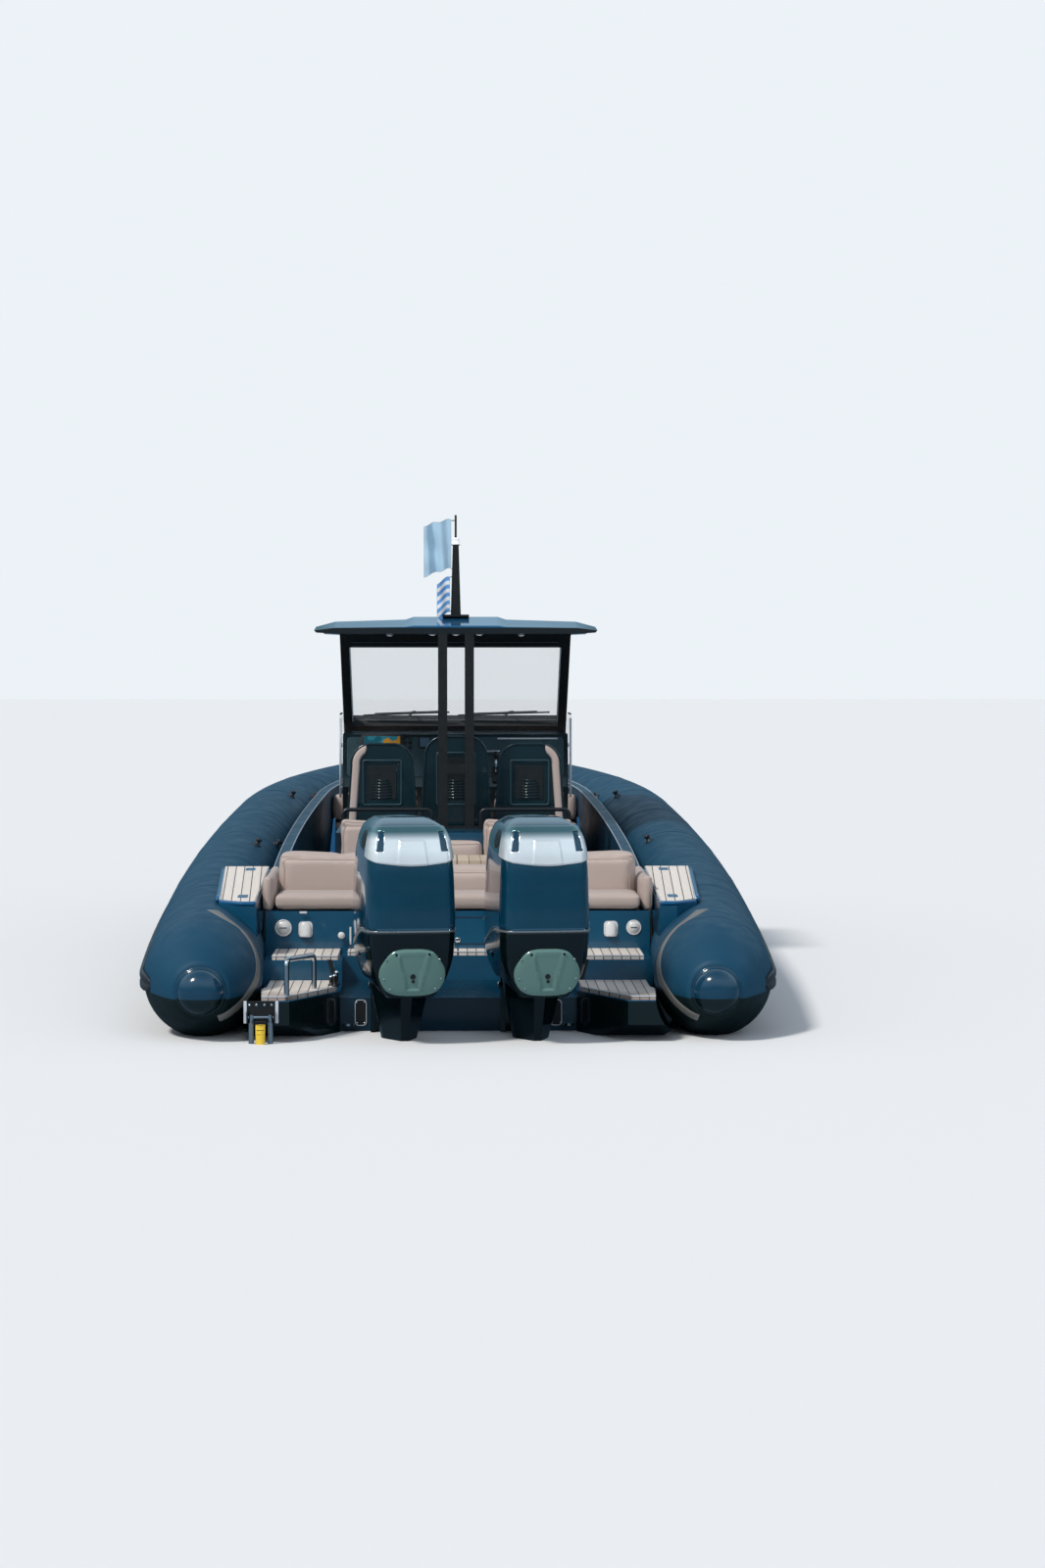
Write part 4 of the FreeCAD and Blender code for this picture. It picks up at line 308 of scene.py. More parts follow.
UP, AHEAD = 2, 1
NAVY = (0.003, 0.072, 0.150)
cap_rubber = two_tone("cap_rubber", UP, 0.232, (0.002, 0.009, 0.010), (0.006, 0.040, 0.080), (0.22, 0.16), coat=0.6)
# The silver panel's two tones are a painted reflection: bright silver below z = 1.095 m, dark teal above.
engine_silver = two_tone("engine_silver", UP, 1.095, (0.82, 0.87, 0.90), (0.10, 0.22, 0.235), (0.25, 0.22),
                         metallic=(0.45, 0.7), coat=0.6, soft=0.022)
roof_gel = two_tone("roof_gelcoat", UP, 2.212, GEL_BLACK, (0.020, 0.13, 0.29), (0.3, 0.10), coat=1.0)
platform_gel = two_tone("platform_gelcoat", UP, 0.216, (0.002, 0.007, 0.008), NAVY, (0.2, 0.2), coat=0.5)
fittings = two_tone("deck_fittings_metal", AHEAD, 3.9, STEEL, GEL_BLACK, (0.16, 0.35), metallic=(1.0, 0.0),
                    window=4.0)
print("finishes", len(bpy.data.materials))

# %% [markdown]
# ### Collar cloth
# The collar is rubber-coated cloth, dark navy above its middle line and nearly black below. The dividing line
# follows the collar as it rises to the bow, so the finish compares the height with a sloping plane: z = 0.26 m
# at the stern, rising 58 mm in each metre. Salt and handling leave rougher patches.


# %% Two-tone collar cloth
def collar_cloth():
    """Navy above a sloping plane and near black below it, with a woven bump."""
    material, tree, shader = new_material("collar_cloth", Specular_IOR_Level=0.22)
    place = object_place(tree)
    axes = put(tree, "SeparateXYZ", {"Vector": place})
    rise = maths(tree, "MULTIPLY_ADD", axes.outputs["Y"], -0.058, axes.outputs["Z"])
    cloud = noise(tree, place, 1.1, 2.0, Roughness=0.5)
    upper = mixed(tree, cloud, (0.003, 0.043, 0.088), (0.007, 0.060, 0.114))
    lower = mixed(tree, cloud, (0.002, 0.009, 0.010), (0.005, 0.016, 0.018))
    both = mixed(tree, remap(tree, rise, 0.255, 0.262), lower, upper)
    tree.links.new(both, shader.inputs["Base Color"])
    matt = remap(tree, noise(tree, place, 9.0, 6.0), 0.3, 0.7, 0.42, 0.62)
    tree.links.new(matt, shader.inputs["Roughness"])
    fine = bumped(tree, cells(tree, place, 420.0), 0.12, 0.001)
    soft = bumped(tree, noise(tree, place, 1.2, 1.0), 0.05, 0.008, Normal=fine)
    tree.links.new(soft, shader.inputs["Normal"])
    return material


collar = collar_cloth()
print("collar finish", collar.name)

# %% [markdown]
# ### Teak
# Teak decking is made of narrow planks with black caulking between them. The seams are counted from the boat's
# side with a fraction of the distance across, so both sides match. On the collar's pads the planks follow the
# collar, which stands 2.2 degrees out, so a little of the distance ahead is taken off first.


# %% Teak planks with caulked seams
def teak(name, plank, tone_low, tone_high, caulk=0.005, slant=0.0, shift=0.0, wet=False):
    """Planks that run fore and aft with their own tones, slanted over z = 0.5 m and darker aft where they are wet."""
    material, tree, shader = new_material(name, Roughness=0.6)
    place = object_place(tree)
    axes = put(tree, "SeparateXYZ", {"Vector": place}).outputs
    x, y, z = (axes[axis] for axis in "XYZ")
    high = maths(tree, "GREATER_THAN", z, 0.5)
    along = maths(tree, "MULTIPLY_ADD", y, maths(tree, "MULTIPLY", high, -slant), maths(tree, "ABSOLUTE", x))
    start = maths(tree, "MULTIPLY_ADD", high, shift, 50.0)
    count = maths(tree, "MULTIPLY_ADD", along, 1 / plank, start)
    seam = maths(tree, "LESS_THAN", maths(tree, "FRACT", count), caulk / plank)
    board = maths(tree, "FLOOR", count)
    tone = put(tree, "TexWhiteNoise", {"W": board}, noise_dimensions="1D").outputs["Value"]
    stretch = put(tree, "Mapping", {"Vector": place, "Scale": (90.0, 5.0, 30.0)}).outputs[0]
    fibre = noise(tree, stretch, 1.0, 5.0)
    blend = maths(tree, "MULTIPLY_ADD", fibre, 0.6, maths(tree, "MULTIPLY", tone, 0.45))
    whole = mixed(tree, seam, mixed(tree, blend, tone_low, tone_high), (0.03, 0.028, 0.028))
    edge = maths(tree, "MULTIPLY_ADD", noise(tree, place, 7.0, 3.0), 0.5, y)
    damp = remap(tree, edge, -0.30, 0.02, 0.62 if wet else 0.0, 0.0)
    tree.links.new(mixed(tree, damp, whole, (0.16, 0.085, 0.055)), shader.inputs["Base Color"])
    bump = bumped(tree, maths(tree, "SUBTRACT", fibre, seam), 0.4, 0.0015)
    tree.links.new(bump, shader.inputs["Normal"])
    return material


deck_teak = teak("deck_teak", 0.05, (0.60, 0.53, 0.47), (0.86, 0.80, 0.74), slant=0.0384, shift=0.35, wet=True)
table_teak = teak("table_teak", 0.07, (0.46, 0.36, 0.27), (0.66, 0.54, 0.42), caulk=0.003)
print("teak", deck_teak.name, table_teak.name)

# %% [markdown]
# ### Who wears what
# The glass is clear with a faint grey tint and lets most light straight through. Each solid gets one finish here;
# a few are replaced by finer pieces further on.

# %% Glass, and a finish for each solid
glass = new_material("tinted_glass", Base_Color=(0.55, 0.62, 0.66, 1), Roughness=0.02, Alpha=0.11, IOR=1.5)[0]
DRESS = [
    (collar, "tube_port tube_starboard tube_bow"),
    (strake_rubber, "rub_strake"),
    (hull_gel, "hull"),
    (platform_gel, "platforms"),
    (navy_gel, "stern_moulding seat_module bow_moulding anchor_locker_lid"),
    (deck_teak, "stern_teak cockpit_sole"),
    (table_teak, "cockpit_table"),
    (liner_gel, "deck_liner"),
    (seat_shell_gel, "helm_seat_shells console"),
    (black_paint, "windscreen_frame roof_posts mast ladder_bracket"),
    (glass, "windscreen_glass"),
    (roof_gel, "roof"),
    (fittings, "deck_fittings"),
    (stainless, "boarding_ladder towing_eyes"),
    (rim_leather, "helm_wheel"),
    (taupe_vinyl, "stern_cushions sofa_cushions helm_seat_pads bow_cushions flags"),
]
ENGINE_DRESS = [
    (engine_black, "clamp_bracket swivel_bracket leg cowl_lower"),
    (engine_navy, "cowl_upper"),
    (engine_silver, "cowl_cap"),
    (cover_grey, "rear_cover"),
    (propeller_steel, "propeller_fore propeller_aft"),
]
dressed = [(cover, name) for cover, names in DRESS for name in names.split()]
dressed += [(cover, "%s_%s" % (name, side)) for cover, names in ENGINE_DRESS for name in names.split()
            for side, _ in SIDES]
for cover, name in dressed:
    mesh = solids[name].data
    mesh.materials.clear()
    mesh.materials.append(cover)
print("undressed", sorted(set(solids) - {name for _, name in dressed}))

# %% [markdown]
# ## Ways to make a piece
# Most small pieces on a boat are bars bent along a path, discs turned on a lathe, or plates cut to an outline. One
# function for each keeps every later cell short. Each returns an object at the origin with its place in its mesh.


# %% Merge, round off and put a piece on its body
def tidy(mesh):
    """Merges points that coincide and turns every face of a closed shell outwards."""
    work = bmesh.new()
    work.from_mesh(mesh)
    bmesh.ops.remove_doubles(work, verts=work.verts, dist=1e-6)
    bmesh.ops.recalc_face_normals(work, faces=work.faces)
    work.to_mesh(mesh)
    work.free()
    return mesh


def bevelled(thing, width):
    """Rounds a piece's sharp edges."""
    edge = thing.modifiers.new("edges", "BEVEL")
    edge.width = width
    edge.segments = 2
    edge.limit_method = "ANGLE"
    edge.angle_limit = math.radians(35)


def ridden(name, mesh, cover, body="boat", replaces=None, smooth=True):
    """An object that rides on a body, and stands in for a solid where one is named."""
    thing = placed(name, mesh, cover, smooth)
    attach(thing, body)
    if replaces:
        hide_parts(replaces)
    return thing


def lofted(name, rings, cover, body="boat", closed_v=False, replaces=None):
    """A closed shell through rings of points."""
    return ridden(name, tidy(grid_mesh(name, rings, closed_u=True, closed_v=closed_v)), cover, body, replaces)


def with_ends(rings):
    """Rings with one more at each end, shrunk to its middle, so that the shell closes."""
    first, last = (np.repeat(rings[i].mean(axis=0)[None, None], rings.shape[1], axis=1) for i in (0, -1))
    return np.concatenate([first, rings, last])


print("shells are ready")


# %% Bars and turned pieces
def ring_turns(count):
    """Equal turns round a circle, in radians."""
    return np.linspace(0, 2 * math.pi, count, endpoint=False)


def unit_rows(vectors):
    """Vectors of length one."""
    return vectors / np.linalg.norm(vectors, axis=-1, keepdims=True)


def guide_for(axis):
    """A direction that is never along the axis: up, or across for an axis that is nearly upright."""
    return np.array([0.0, 0.0, 1.0]) if abs(axis[2]) < 0.9 else np.array([1.0, 0.0, 0.0])


def rings_along(points, radius, sides=12, closed=False):
    """Rings round a path: point + radius * (first * cos(turn) + second * sin(turn))."""
    points = np.asarray(points, float)
    if closed:
        ahead = np.roll(points, -1, axis=0) - np.roll(points, 1, axis=0)
    else:
        ahead = np.gradient(points, axis=0)
    ahead = unit_rows(ahead)
    guide = guide_for(ahead[0])
    first = np.zeros_like(points)
    for i, way in enumerate(ahead):
        guide = unit_rows(guide - way * np.dot(guide, way))
        first[i] = guide
    second = np.cross(ahead, first)
    turn = ring_turns(sides)
    ring = first[:, None] * np.cos(turn)[:, None] + second[:, None] * np.sin(turn)[:, None]
    return points[:, None] + radius * ring


def bar(name, points, radius, cover, body="boat", sides=12, closed=False):
    """A round bar along a path, closed at its ends or joined to itself."""
    rings = rings_along(points, radius, sides, closed)
    return lofted(name, rings if closed else with_ends(rings), cover, body, closed_v=closed)


def turned(name, profile, centre, axis, cover, body="boat", sides=28):
    """A piece turned on a lathe: radius and height pairs round an axis from a centre."""
    axis = unit_rows(np.asarray(axis, float))
    first = unit_rows(np.cross(axis, guide_for(axis)))
    second = np.cross(axis, first)
    turn = ring_turns(sides)[:, None]
    around = first * np.cos(turn) + second * np.sin(turn)
    reach, height = np.asarray(profile, float).T[:, :, None, None]
    return lofted(name, np.asarray(centre) + height * axis + reach * around, cover, body)


print("bars and turned pieces are ready")

# %% Plates and smooth lines
ACROSS, UPRIGHT = (1, 0, 0), (0, 0, 1)
FORWARD, AFT, DOWN = (0, 1, 0), (0, -1, 0), (0, 0, -1)


def plate(name, outline, origin, thick, cover, body="boat", round_edges=0.002, across=ACROSS, up=UPRIGHT):
    """An outline, counted across and up from an origin, made solid along the third direction."""
    across, up = (unit_rows(np.asarray(way, float)) for way in (across, up))
    outline = np.asarray(outline, float)
    face = np.asarray(origin, float) + outline[:, :1] * across + outline[:, 1:] * up
    points = np.concatenate([face, face + np.cross(across, up) * thick])
    count = len(outline)
    sides = [[i, (i + 1) % count, count + (i + 1) % count, count + i] for i in range(count)]
    mesh = bpy.data.meshes.new(name)
    mesh.from_pydata(points.tolist(), [], [list(range(count))[::-1], list(range(count, 2 * count))] + sides)
    thing = ridden(name, tidy(mesh), cover, body, smooth=False)
    if round_edges:
        bevelled(thing, round_edges)
    return thing


def round_corners(wide, tall, radius, steps=5):
    """Outline of a rectangle with round corners, centred on nothing."""
    turn = np.linspace(0, math.pi / 2, steps)
    points = []
    for corner, (x, y) in enumerate(((1, 1), (-1, 1), (-1, -1), (1, -1))):
        heading = turn + corner * math.pi / 2
        middle = np.array([x * (wide / 2 - radius), y * (tall / 2 - radius)])
        points.append(middle + radius * np.stack([np.cos(heading), np.sin(heading)], axis=1))
    return np.concatenate(points)


def smooth_line(points, count, closed=False):
    """Catmull-Rom curve through points, with count samples."""
    points = np.asarray(points, float)
    if closed:
        padded_points = np.concatenate([points[-1:], points, points[:2]])
        spans = len(points)
    else:
        padded_points = np.concatenate([2 * points[:1] - points[1:2], points, 2 * points[-1:] - points[-2:-1]])
        spans = len(points) - 1
    place = np.linspace(0, spans, count, endpoint=not closed)
    span = np.minimum(place.astype(int), spans - 1)
    t = (place - span)[:, None]
    a, b, c, d = (padded_points[span + k] for k in range(4))
    return 0.5 * (2 * b + (c - a) * t + (2 * a - 5 * b + 4 * c - d) * t ** 2 + (3 * b - a - 3 * c + d) * t ** 3)


print("plates and smooth lines are ready")

# %% [markdown]
# ## Inflatable collar
# The collar is sewn and glued from cloth, so it has taped joints, a two-tone dividing line and tapered ends that
# close in a rubber cap. It follows three arcs in plan and rises 3.32 degrees to the bow. A station counts metres
# along its line, from zero where the taper starts, so that every tape, pad and knob can be set on its surface.

# %% The collar's line and surface
SHEER, LIFT = math.radians(3.32), 0.300  # slope of the collar's plane, and its height at the stern
HALF, TUBE = 1.378, 0.320  # half the width between the collar's lines at station zero, and the collar's radius
TOE, SHOULDER = math.radians(2.2), math.radians(3.0)  # how far the side heads out aft, and in where the bow starts
SIDE_BEND, BOW_BEND, NOSE_BEND = 79.5, 6.9, 0.55  # radii of the three arcs
CONE, CONE_END = 0.56, 0.150  # length of the taper, and its radius at the end
CAP, CAP_LENGTH = 0.122, 0.110  # radius and length of the end cap


def heading_of(angle):
    """Unit vector in the collar's plane: across and ahead."""
    return np.stack([np.cos(angle), np.sin(angle)], axis=-1)


side_centre = np.array([HALF - SIDE_BEND * math.cos(TOE), SIDE_BEND * math.sin(TOE)])
bow_centre = side_centre + heading_of(SHOULDER) * (SIDE_BEND - BOW_BEND)
LAST = math.acos(-bow_centre[0] / (BOW_BEND - NOSE_BEND))
nose_centre = bow_centre + heading_of(LAST) * (BOW_BEND - NOSE_BEND)
SIDE_LENGTH = SIDE_BEND * (TOE + SHOULDER)
BOW_LENGTH = BOW_BEND * (LAST - SHOULDER)
NOSE_LENGTH = NOSE_BEND * (math.pi / 2 - LAST)
WHOLE = SIDE_LENGTH + BOW_LENGTH + NOSE_LENGTH
CONE_BEND = (CONE ** 2 + (TUBE - CONE_END) ** 2) / (2 * (TUBE - CONE_END))


def collar_line(station):
    """Centre and outward heading in the collar's plane: straight aft of zero, then three arcs."""
    s = np.asarray(station, float)
    angle = np.where(s < 0, -TOE, -TOE + s / SIDE_BEND)
    angle = np.where(s > SIDE_LENGTH, SHOULDER + (s - SIDE_LENGTH) / BOW_BEND, angle)
    angle = np.where(s > SIDE_LENGTH + BOW_LENGTH, LAST + (s - SIDE_LENGTH - BOW_LENGTH) / NOSE_BEND, angle)
    outward = heading_of(angle)
    centre = side_centre + SIDE_BEND * outward
    centre = np.where((s > SIDE_LENGTH)[..., None], bow_centre + BOW_BEND * outward, centre)
    centre = np.where((s > SIDE_LENGTH + BOW_LENGTH)[..., None], nose_centre + NOSE_BEND * outward, centre)
    back = np.array([-math.sin(TOE), -math.cos(TOE)])
    start = side_centre + SIDE_BEND * heading_of(-TOE)
    return np.where((s < 0)[..., None], start - s[..., None] * back, centre), outward


def cone_radius(station):
    """Radius of the collar: whole ahead of zero, and a circle's arc down to the cap aft of it."""
    aft = np.clip(-np.asarray(station, float), 0, CONE)
    return TUBE - (CONE_BEND - np.sqrt(CONE_BEND ** 2 - aft ** 2))


def from_collar_plane(across, ahead, high):
    """World place of a point in the collar's plane, which rises to the bow, and of a height over it."""
    return np.stack([across, ahead * math.cos(SHEER) - high * math.sin(SHEER),
                     ahead * math.sin(SHEER) + high * math.cos(SHEER) + LIFT], axis=-1)


def collar_point(side, station, turn, reach):
    """World place at a station, a turn above the outboard side, and a reach from the collar's line."""
    side, station, turn, reach = np.broadcast_arrays(side, station, turn, reach)
    centre, outward = collar_line(station)
    flat = centre + outward * (reach * np.cos(turn))[..., None]
    return from_collar_plane(side * flat[..., 0], flat[..., 1], reach * np.sin(turn))


print("collar length", round(2 * WHOLE, 3))

# %% Side tubes and bow tube
RING = 80
for name, side in SIDES:
    cone = -CONE * np.linspace(1, 0, 25)
    whole = np.linspace(0, SIDE_LENGTH, 110)[1:]
    station = np.concatenate([[-CONE, -CONE], cone, whole, [SIDE_LENGTH]])
    reach = np.concatenate([[0.0, CAP], cone_radius(cone), np.full(len(whole), TUBE), [0.0]])
    points = collar_point(side, station[:, None], ring_turns(RING), reach[:, None])
    lofted("tube_" + name, points, collar, replaces="tube_" + name)

half = np.linspace(SIDE_LENGTH, WHOLE, 70)
station = np.concatenate([[SIDE_LENGTH], half, half[::-1][1:], [SIDE_LENGTH]])
sides = np.concatenate([np.ones(71), -np.ones(70)])
reach = np.concatenate([[0.0], np.full(139, TUBE), [0.0]])
points = collar_point(sides[:, None], station[:, None], ring_turns(RING), reach[:, None])
lofted("tube_bow", points, collar, replaces="tube_bow")
print("bow tube rings", len(points))

# %% [markdown]
# ### Caps, tapes and knobs
# A moulded rubber cone closes each tapered end, glossy and split into two tones like the collar. Tapes cover the
# cloth's joints, a wider flange bonds the collar to the hull beside the platform, and rubber knobs with a waist
# take lashings on the inner side.


# %% End caps
def cap_profile():
    """Dome of the end cap: radius CAP * cos(t), height CAP_LENGTH * sin(t), with a rolled foot."""
    t = np.linspace(0, math.pi / 2, 14)
    foot_height = 0.012
    dome = np.stack([CAP * np.cos(t) ** 0.8, foot_height + (CAP_LENGTH - foot_height) * np.sin(t)], axis=1)
    foot = [[CAP + 0.002, -0.004], [CAP + 0.012, 0.001], [CAP + 0.013, 0.008], [CAP + 0.006, 0.013]]
    return np.concatenate([[[0, -0.004]], foot, dome])


back = np.array([-math.sin(TOE), -math.cos(TOE) * math.cos(SHEER), -math.cos(TOE) * math.sin(SHEER)])
for name, side in SIDES:
    tip = collar_point(side, -CONE, 0.0, 0.0)
    turned("end_cap_" + name, cap_profile(), tip, back * [side, 1, 1], cap_rubber, sides=64)
print("end caps at", np.round(tip, 3))


# %% Tapes and bonding flange
def patch_on_collar(name, side, station, turn, width, stand, cover):
    """A strip glued along a path on the collar: flat top, thin edges that sink into the cloth."""
    path = smooth_line(np.stack([station, turn], axis=1), 60)
    way = unit_rows(np.gradient(path, axis=0) * [1, TUBE])
    across = np.stack([-way[:, 1], way[:, 0] / TUBE], axis=1)
    share = np.array([-0.5, -0.46, -0.3, 0, 0.3, 0.46, 0.5])
    rise = np.array([-0.002, stand * 0.8, stand, stand, stand, stand * 0.8, -0.002])
    place = path[:, None] + across[:, None] * (share * width)[:, None]
    reach = cone_radius(place[..., 0]) + rise
    reach[[0, -1]] = cone_radius(place[[0, -1], :, 0]) - 0.002
    points = collar_point(side, place[..., 0], place[..., 1], reach)
    middle = len(path) // 2, len(share) // 2
    outward = points[middle] - collar_point(side, path[middle[0], 0], 0.0, 0.0)
    along, over = (np.gradient(points, axis=axis)[middle] for axis in (0, 1))
    if np.dot(np.cross(over, along), outward) < 0:
        points = points[:, ::-1]
    ridden(name, grid_mesh(name, points), cover)


def taped_ring(name, side, station):
    """A tape right round the collar at one station."""
    share = np.array([-0.5, -0.47, 0, 0.47, 0.5]) * TAPE_WIDTH + station
    reach = cone_radius(share) + [-0.001, TAPE_STAND, TAPE_STAND, TAPE_STAND, -0.001]
    points = collar_point(side, share[:, None], ring_turns(RING), reach[:, None])
    if side > 0:
        points = points[:, ::-1]
    ridden(name, grid_mesh(name, points, closed_u=True), collar)


FLANGE = np.array([
    # station, turn in degrees above the outboard side
    (0.34, 97), (0.12, 112), (0.02, 132), (-0.10, 156), (-0.24, 176), (-0.36, 190), (-0.46, 212), (-0.52, 240),
])
KNOBS = [
    # side, station, turn in degrees above the outboard side
    (-1, 7.06, 116), (-1, 3.86, 117), (-1, 4.44, 137), (1, 7.07, 117), (1, 7.66, 136), (1, 4.16, 121),
    (1, 1.2, 121), (-1, 1.2, 121), (-1, 7.66, 136), (1, 9.1, 118), (-1, 9.1, 118),
]
TAPES = [0.0, 1.45, 2.9, 4.35, 5.8, SIDE_LENGTH, 8.4, 9.6]
TAPE_WIDTH, TAPE_STAND = 0.03, 0.0016
flange_grey = finish("flange_grey", (0.165, 0.165, 0.158), 0.5, mottle=0.2, patch=6.0)
hull_tape = np.linspace(0.3, 9.6, 8), np.full(8, math.radians(221))
for name, side in SIDES:
    patch_on_collar("bonding_flange_" + name, side, FLANGE[:, 0], np.radians(FLANGE[:, 1]), 0.072, 0.004, flange_grey)
    patch_on_collar("hull_tape_" + name, side, *hull_tape, 0.05, 0.002, strake_rubber)
    for count, station in enumerate(TAPES):
        taped_ring("tape_%s_%d" % (name, count), side, station)
print("tapes", 2 * len(TAPES))

# %% Knobs on the collar
KNOB = [(0, 0), (0.030, 0), (0.030, 0.006), (0.022, 0.010), (0.013, 0.020), (0.014, 0.030), (0.021, 0.038),
        (0.021, 0.044), (0.012, 0.050), (0, 0.051)]
for count, (side, station, degrees) in enumerate(KNOBS):
    turn = math.radians(degrees)
    foot = collar_point(side, station, turn, TUBE - 0.002)
    head = collar_point(side, station, turn, TUBE + 0.05)
    turned("knob_%d" % count, KNOB, foot, head - foot, strake_rubber, sides=20)
print("knobs", len(KNOBS))

# %% Rubbing strake
STRAKE = np.array([
    # two ribs with a groove between them: stand off the collar, height
    (-0.002, -0.048), (0.013, -0.048), (0.021, -0.040), (0.022, -0.030), (0.022, -0.014), (0.016, -0.009),
    (0.015, 0.0), (0.016, 0.009), (0.022, 0.014), (0.022, 0.030), (0.021, 0.040), (0.013, 0.048), (-0.002, 0.048),
])
STRAKE_START, STRAKE_FADE = -CONE * 0.55, 0.16
half = np.concatenate([np.linspace(STRAKE_START, 0, 14)[:-1], np.linspace(0, WHOLE, 180)])
grow = np.sqrt(1 - (1 - np.clip((half - STRAKE_START) / STRAKE_FADE, 0, 1)) ** 2)
station = np.concatenate([half, half[::-1][1:]])[:, None]
sides = np.concatenate([np.ones(len(half)), -np.ones(len(half) - 1)])[:, None]
grow = np.concatenate([grow, grow[::-1][1:]])[:, None]
across = cone_radius(station) + STRAKE[:, 0] * grow - 0.002 * (1 - grow)
height = STRAKE[:, 1] * (0.35 + 0.65 * grow)
points = collar_point(sides, station, np.arctan2(height, across), np.hypot(height, across))
lofted("rub_strake", with_ends(points), strake_rubber, replaces="rub_strake")
print("strake rings", len(points))

# %% [markdown]
# ## Outboard engines
# A cowl is moulded in one sweep: a nearly flat rear panel with a crease at each edge, bowed sides and a round
# front, drawn in and rounded off at the top. Its outline is written once as a function of height, so the navy
# cowl, the silver panel over its rear, the black lower cowl and the oval cover all share one surface.

# %% The cowl's surface
PANEL, CORNER, FLANK, BROW, NOSE = 14, 10, 18, 16, 6
HALF_COLS = PANEL + CORNER + FLANK + BROW + NOSE + 1
COWL_ROWS = np.array([
    # height, half width, half width of the rear panel, front, rear
    (0.230, 0.112, 0.092, -0.200, -0.742),
    (0.335, 0.186, 0.152, -0.050, -0.782),
    (0.425, 0.222, 0.174, 0.000, -0.808),
    (0.580, 0.238, 0.186, 0.020, -0.830),
    (0.800, 0.236, 0.186, 0.020, -0.828),
    (0.940, 0.229, 0.182, 0.010, -0.820),
    (1.040, 0.217, 0.175, -0.010, -0.800),
    (1.110, 0.198, 0.160, -0.036, -0.762),
    (1.150, 0.174, 0.140, -0.072, -0.700),
    (1.180, 0.128, 0.102, -0.160, -0.580),
])
COWL_LOW, COWL_TOP = COWL_ROWS[0, 0], COWL_ROWS[-1, 0]


def cowl_sizes(height):
    """The four sizes at a height, by a smooth curve through the rows."""
    rows = COWL_ROWS
    slope = np.gradient(rows[:, 1:], rows[:, 0], axis=0)
    height = np.clip(height, COWL_LOW, COWL_TOP)
    k = np.clip(np.searchsorted(rows[:, 0], height, side="right") - 1, 0, len(rows) - 2)
    step = rows[k + 1, 0] - rows[k, 0]
    t = ((height - rows[k, 0]) / step)[..., None]
    a, b = rows[k, 1:], rows[k + 1, 1:]
    m, n = slope[k] * step[..., None], slope[k + 1] * step[..., None]
    sizes = (2 * t ** 3 - 3 * t ** 2 + 1) * a + (t ** 3 - 2 * t ** 2 + t) * m
    sizes = sizes + (3 * t ** 2 - 2 * t ** 3) * b + (t ** 3 - t ** 2) * n
    return np.moveaxis(sizes, -1, 0)


def cowl_half(height):
    """Starboard half of the cowl's outline at heights given for each of its columns: five arcs from rear to front."""
    half, rear_half, front, rear = cowl_sizes(height)
    corner = (half - rear_half) * 2.2
    side_aft = rear + corner
    side_fore = front - (front - rear) * 0.34
    zero = half * 0
    arcs = [
        (PANEL, (zero, rear - 0.006), (rear_half * 0.52, rear - 0.004), (rear_half, rear)),
        (CORNER, (rear_half, rear), (half - (half - rear_half) * 0.30, rear + corner * 0.34), (half, side_aft)),
        (FLANK, (half, side_aft), (half + 0.006, (side_aft + side_fore) / 2), (half, side_fore)),
        (BROW, (half, side_fore), (half * 0.76, front - (front - side_fore) * 0.28), (half * 0.30, front)),
        (NOSE + 1, (half * 0.30, front), (half * 0.15, front + 0.002), (zero, front + 0.003)),
    ]
    points = []
    at = 0
    for count, first, middle, last in arcs:
        t = np.arange(count) / (count - 1 if count == NOSE + 1 else count)
        cols = slice(at, at + count)
        ends = []
        for k in (0, 1):
            a, m, b = (np.broadcast_to(p[k], height.shape)[..., cols] for p in (first, middle, last))
            c = 2 * m - (a + b) / 2
            ends.append((1 - t) ** 2 * a + 2 * t * (1 - t) * c + t ** 2 * b)
        points.append(np.stack(ends, axis=-1))
        at += count
    return np.concatenate(points, axis=-2)


def cowl_surface(height):
    """Grid from heights given for the starboard columns, mirrored to port: a whole ring of columns."""
    right = np.concatenate([cowl_half(height), height[..., None]], axis=-1)
    left = right[..., 1:-1, :][..., ::-1, :] * [-1, 1, 1]
    return np.concatenate([right, left], axis=-2)


def eased(low, high, value):
    """Rises smoothly from 0 at low to 1 at high."""
    t = np.clip((np.asarray(value, float) - low) / (high - low), 0, 1)
    return t * t * (3 - 2 * t)


ring = cowl_half(np.full((1, HALF_COLS), 0.58))[0]
SEAM = 0.500 + 0.100 * eased(0.20, 0.66, -ring[:, 1])
print("cowl columns", 2 * HALF_COLS - 2, "seam from", SEAM.min().round(3), "to", SEAM.max().round(3))

# %% Cowls in their places
ENGINE_SIDE, STEER_AXIS, REST_STEER = 0.35, -0.12, math.radians(9)


def on_engine(points, side):
    """Turns a shape drawn on the centreline by the resting steering angle, and sets it beside it."""
    x, y, z = points[..., 0], points[..., 1] - STEER_AXIS, points[..., 2]
    return np.stack([x * math.cos(REST_STEER) - y * math.sin(REST_STEER) + side * ENGINE_SIDE,
                     x * math.sin(REST_STEER) + y * math.cos(REST_STEER) + STEER_AXIS, z], axis=-1)


def engine_mesh(name, points, hand, cover, closed=True, replaces=None):
    """A grid drawn on the centreline, made a piece of one engine."""
    label, side = hand
    mesh = grid_mesh(name + "_" + label, on_engine(points, side), closed_u=closed)
    return ridden(name + "_" + label, tidy(mesh) if closed else mesh, cover, "engine_" + label,
                  replaces and replaces + "_" + label)


def middle_ring(ring, z):
    """A ring shrunk to one point on the cowl's middle line, to close a shell."""
    return ring * [0, 0, 1] + np.array([0, -0.4, z])


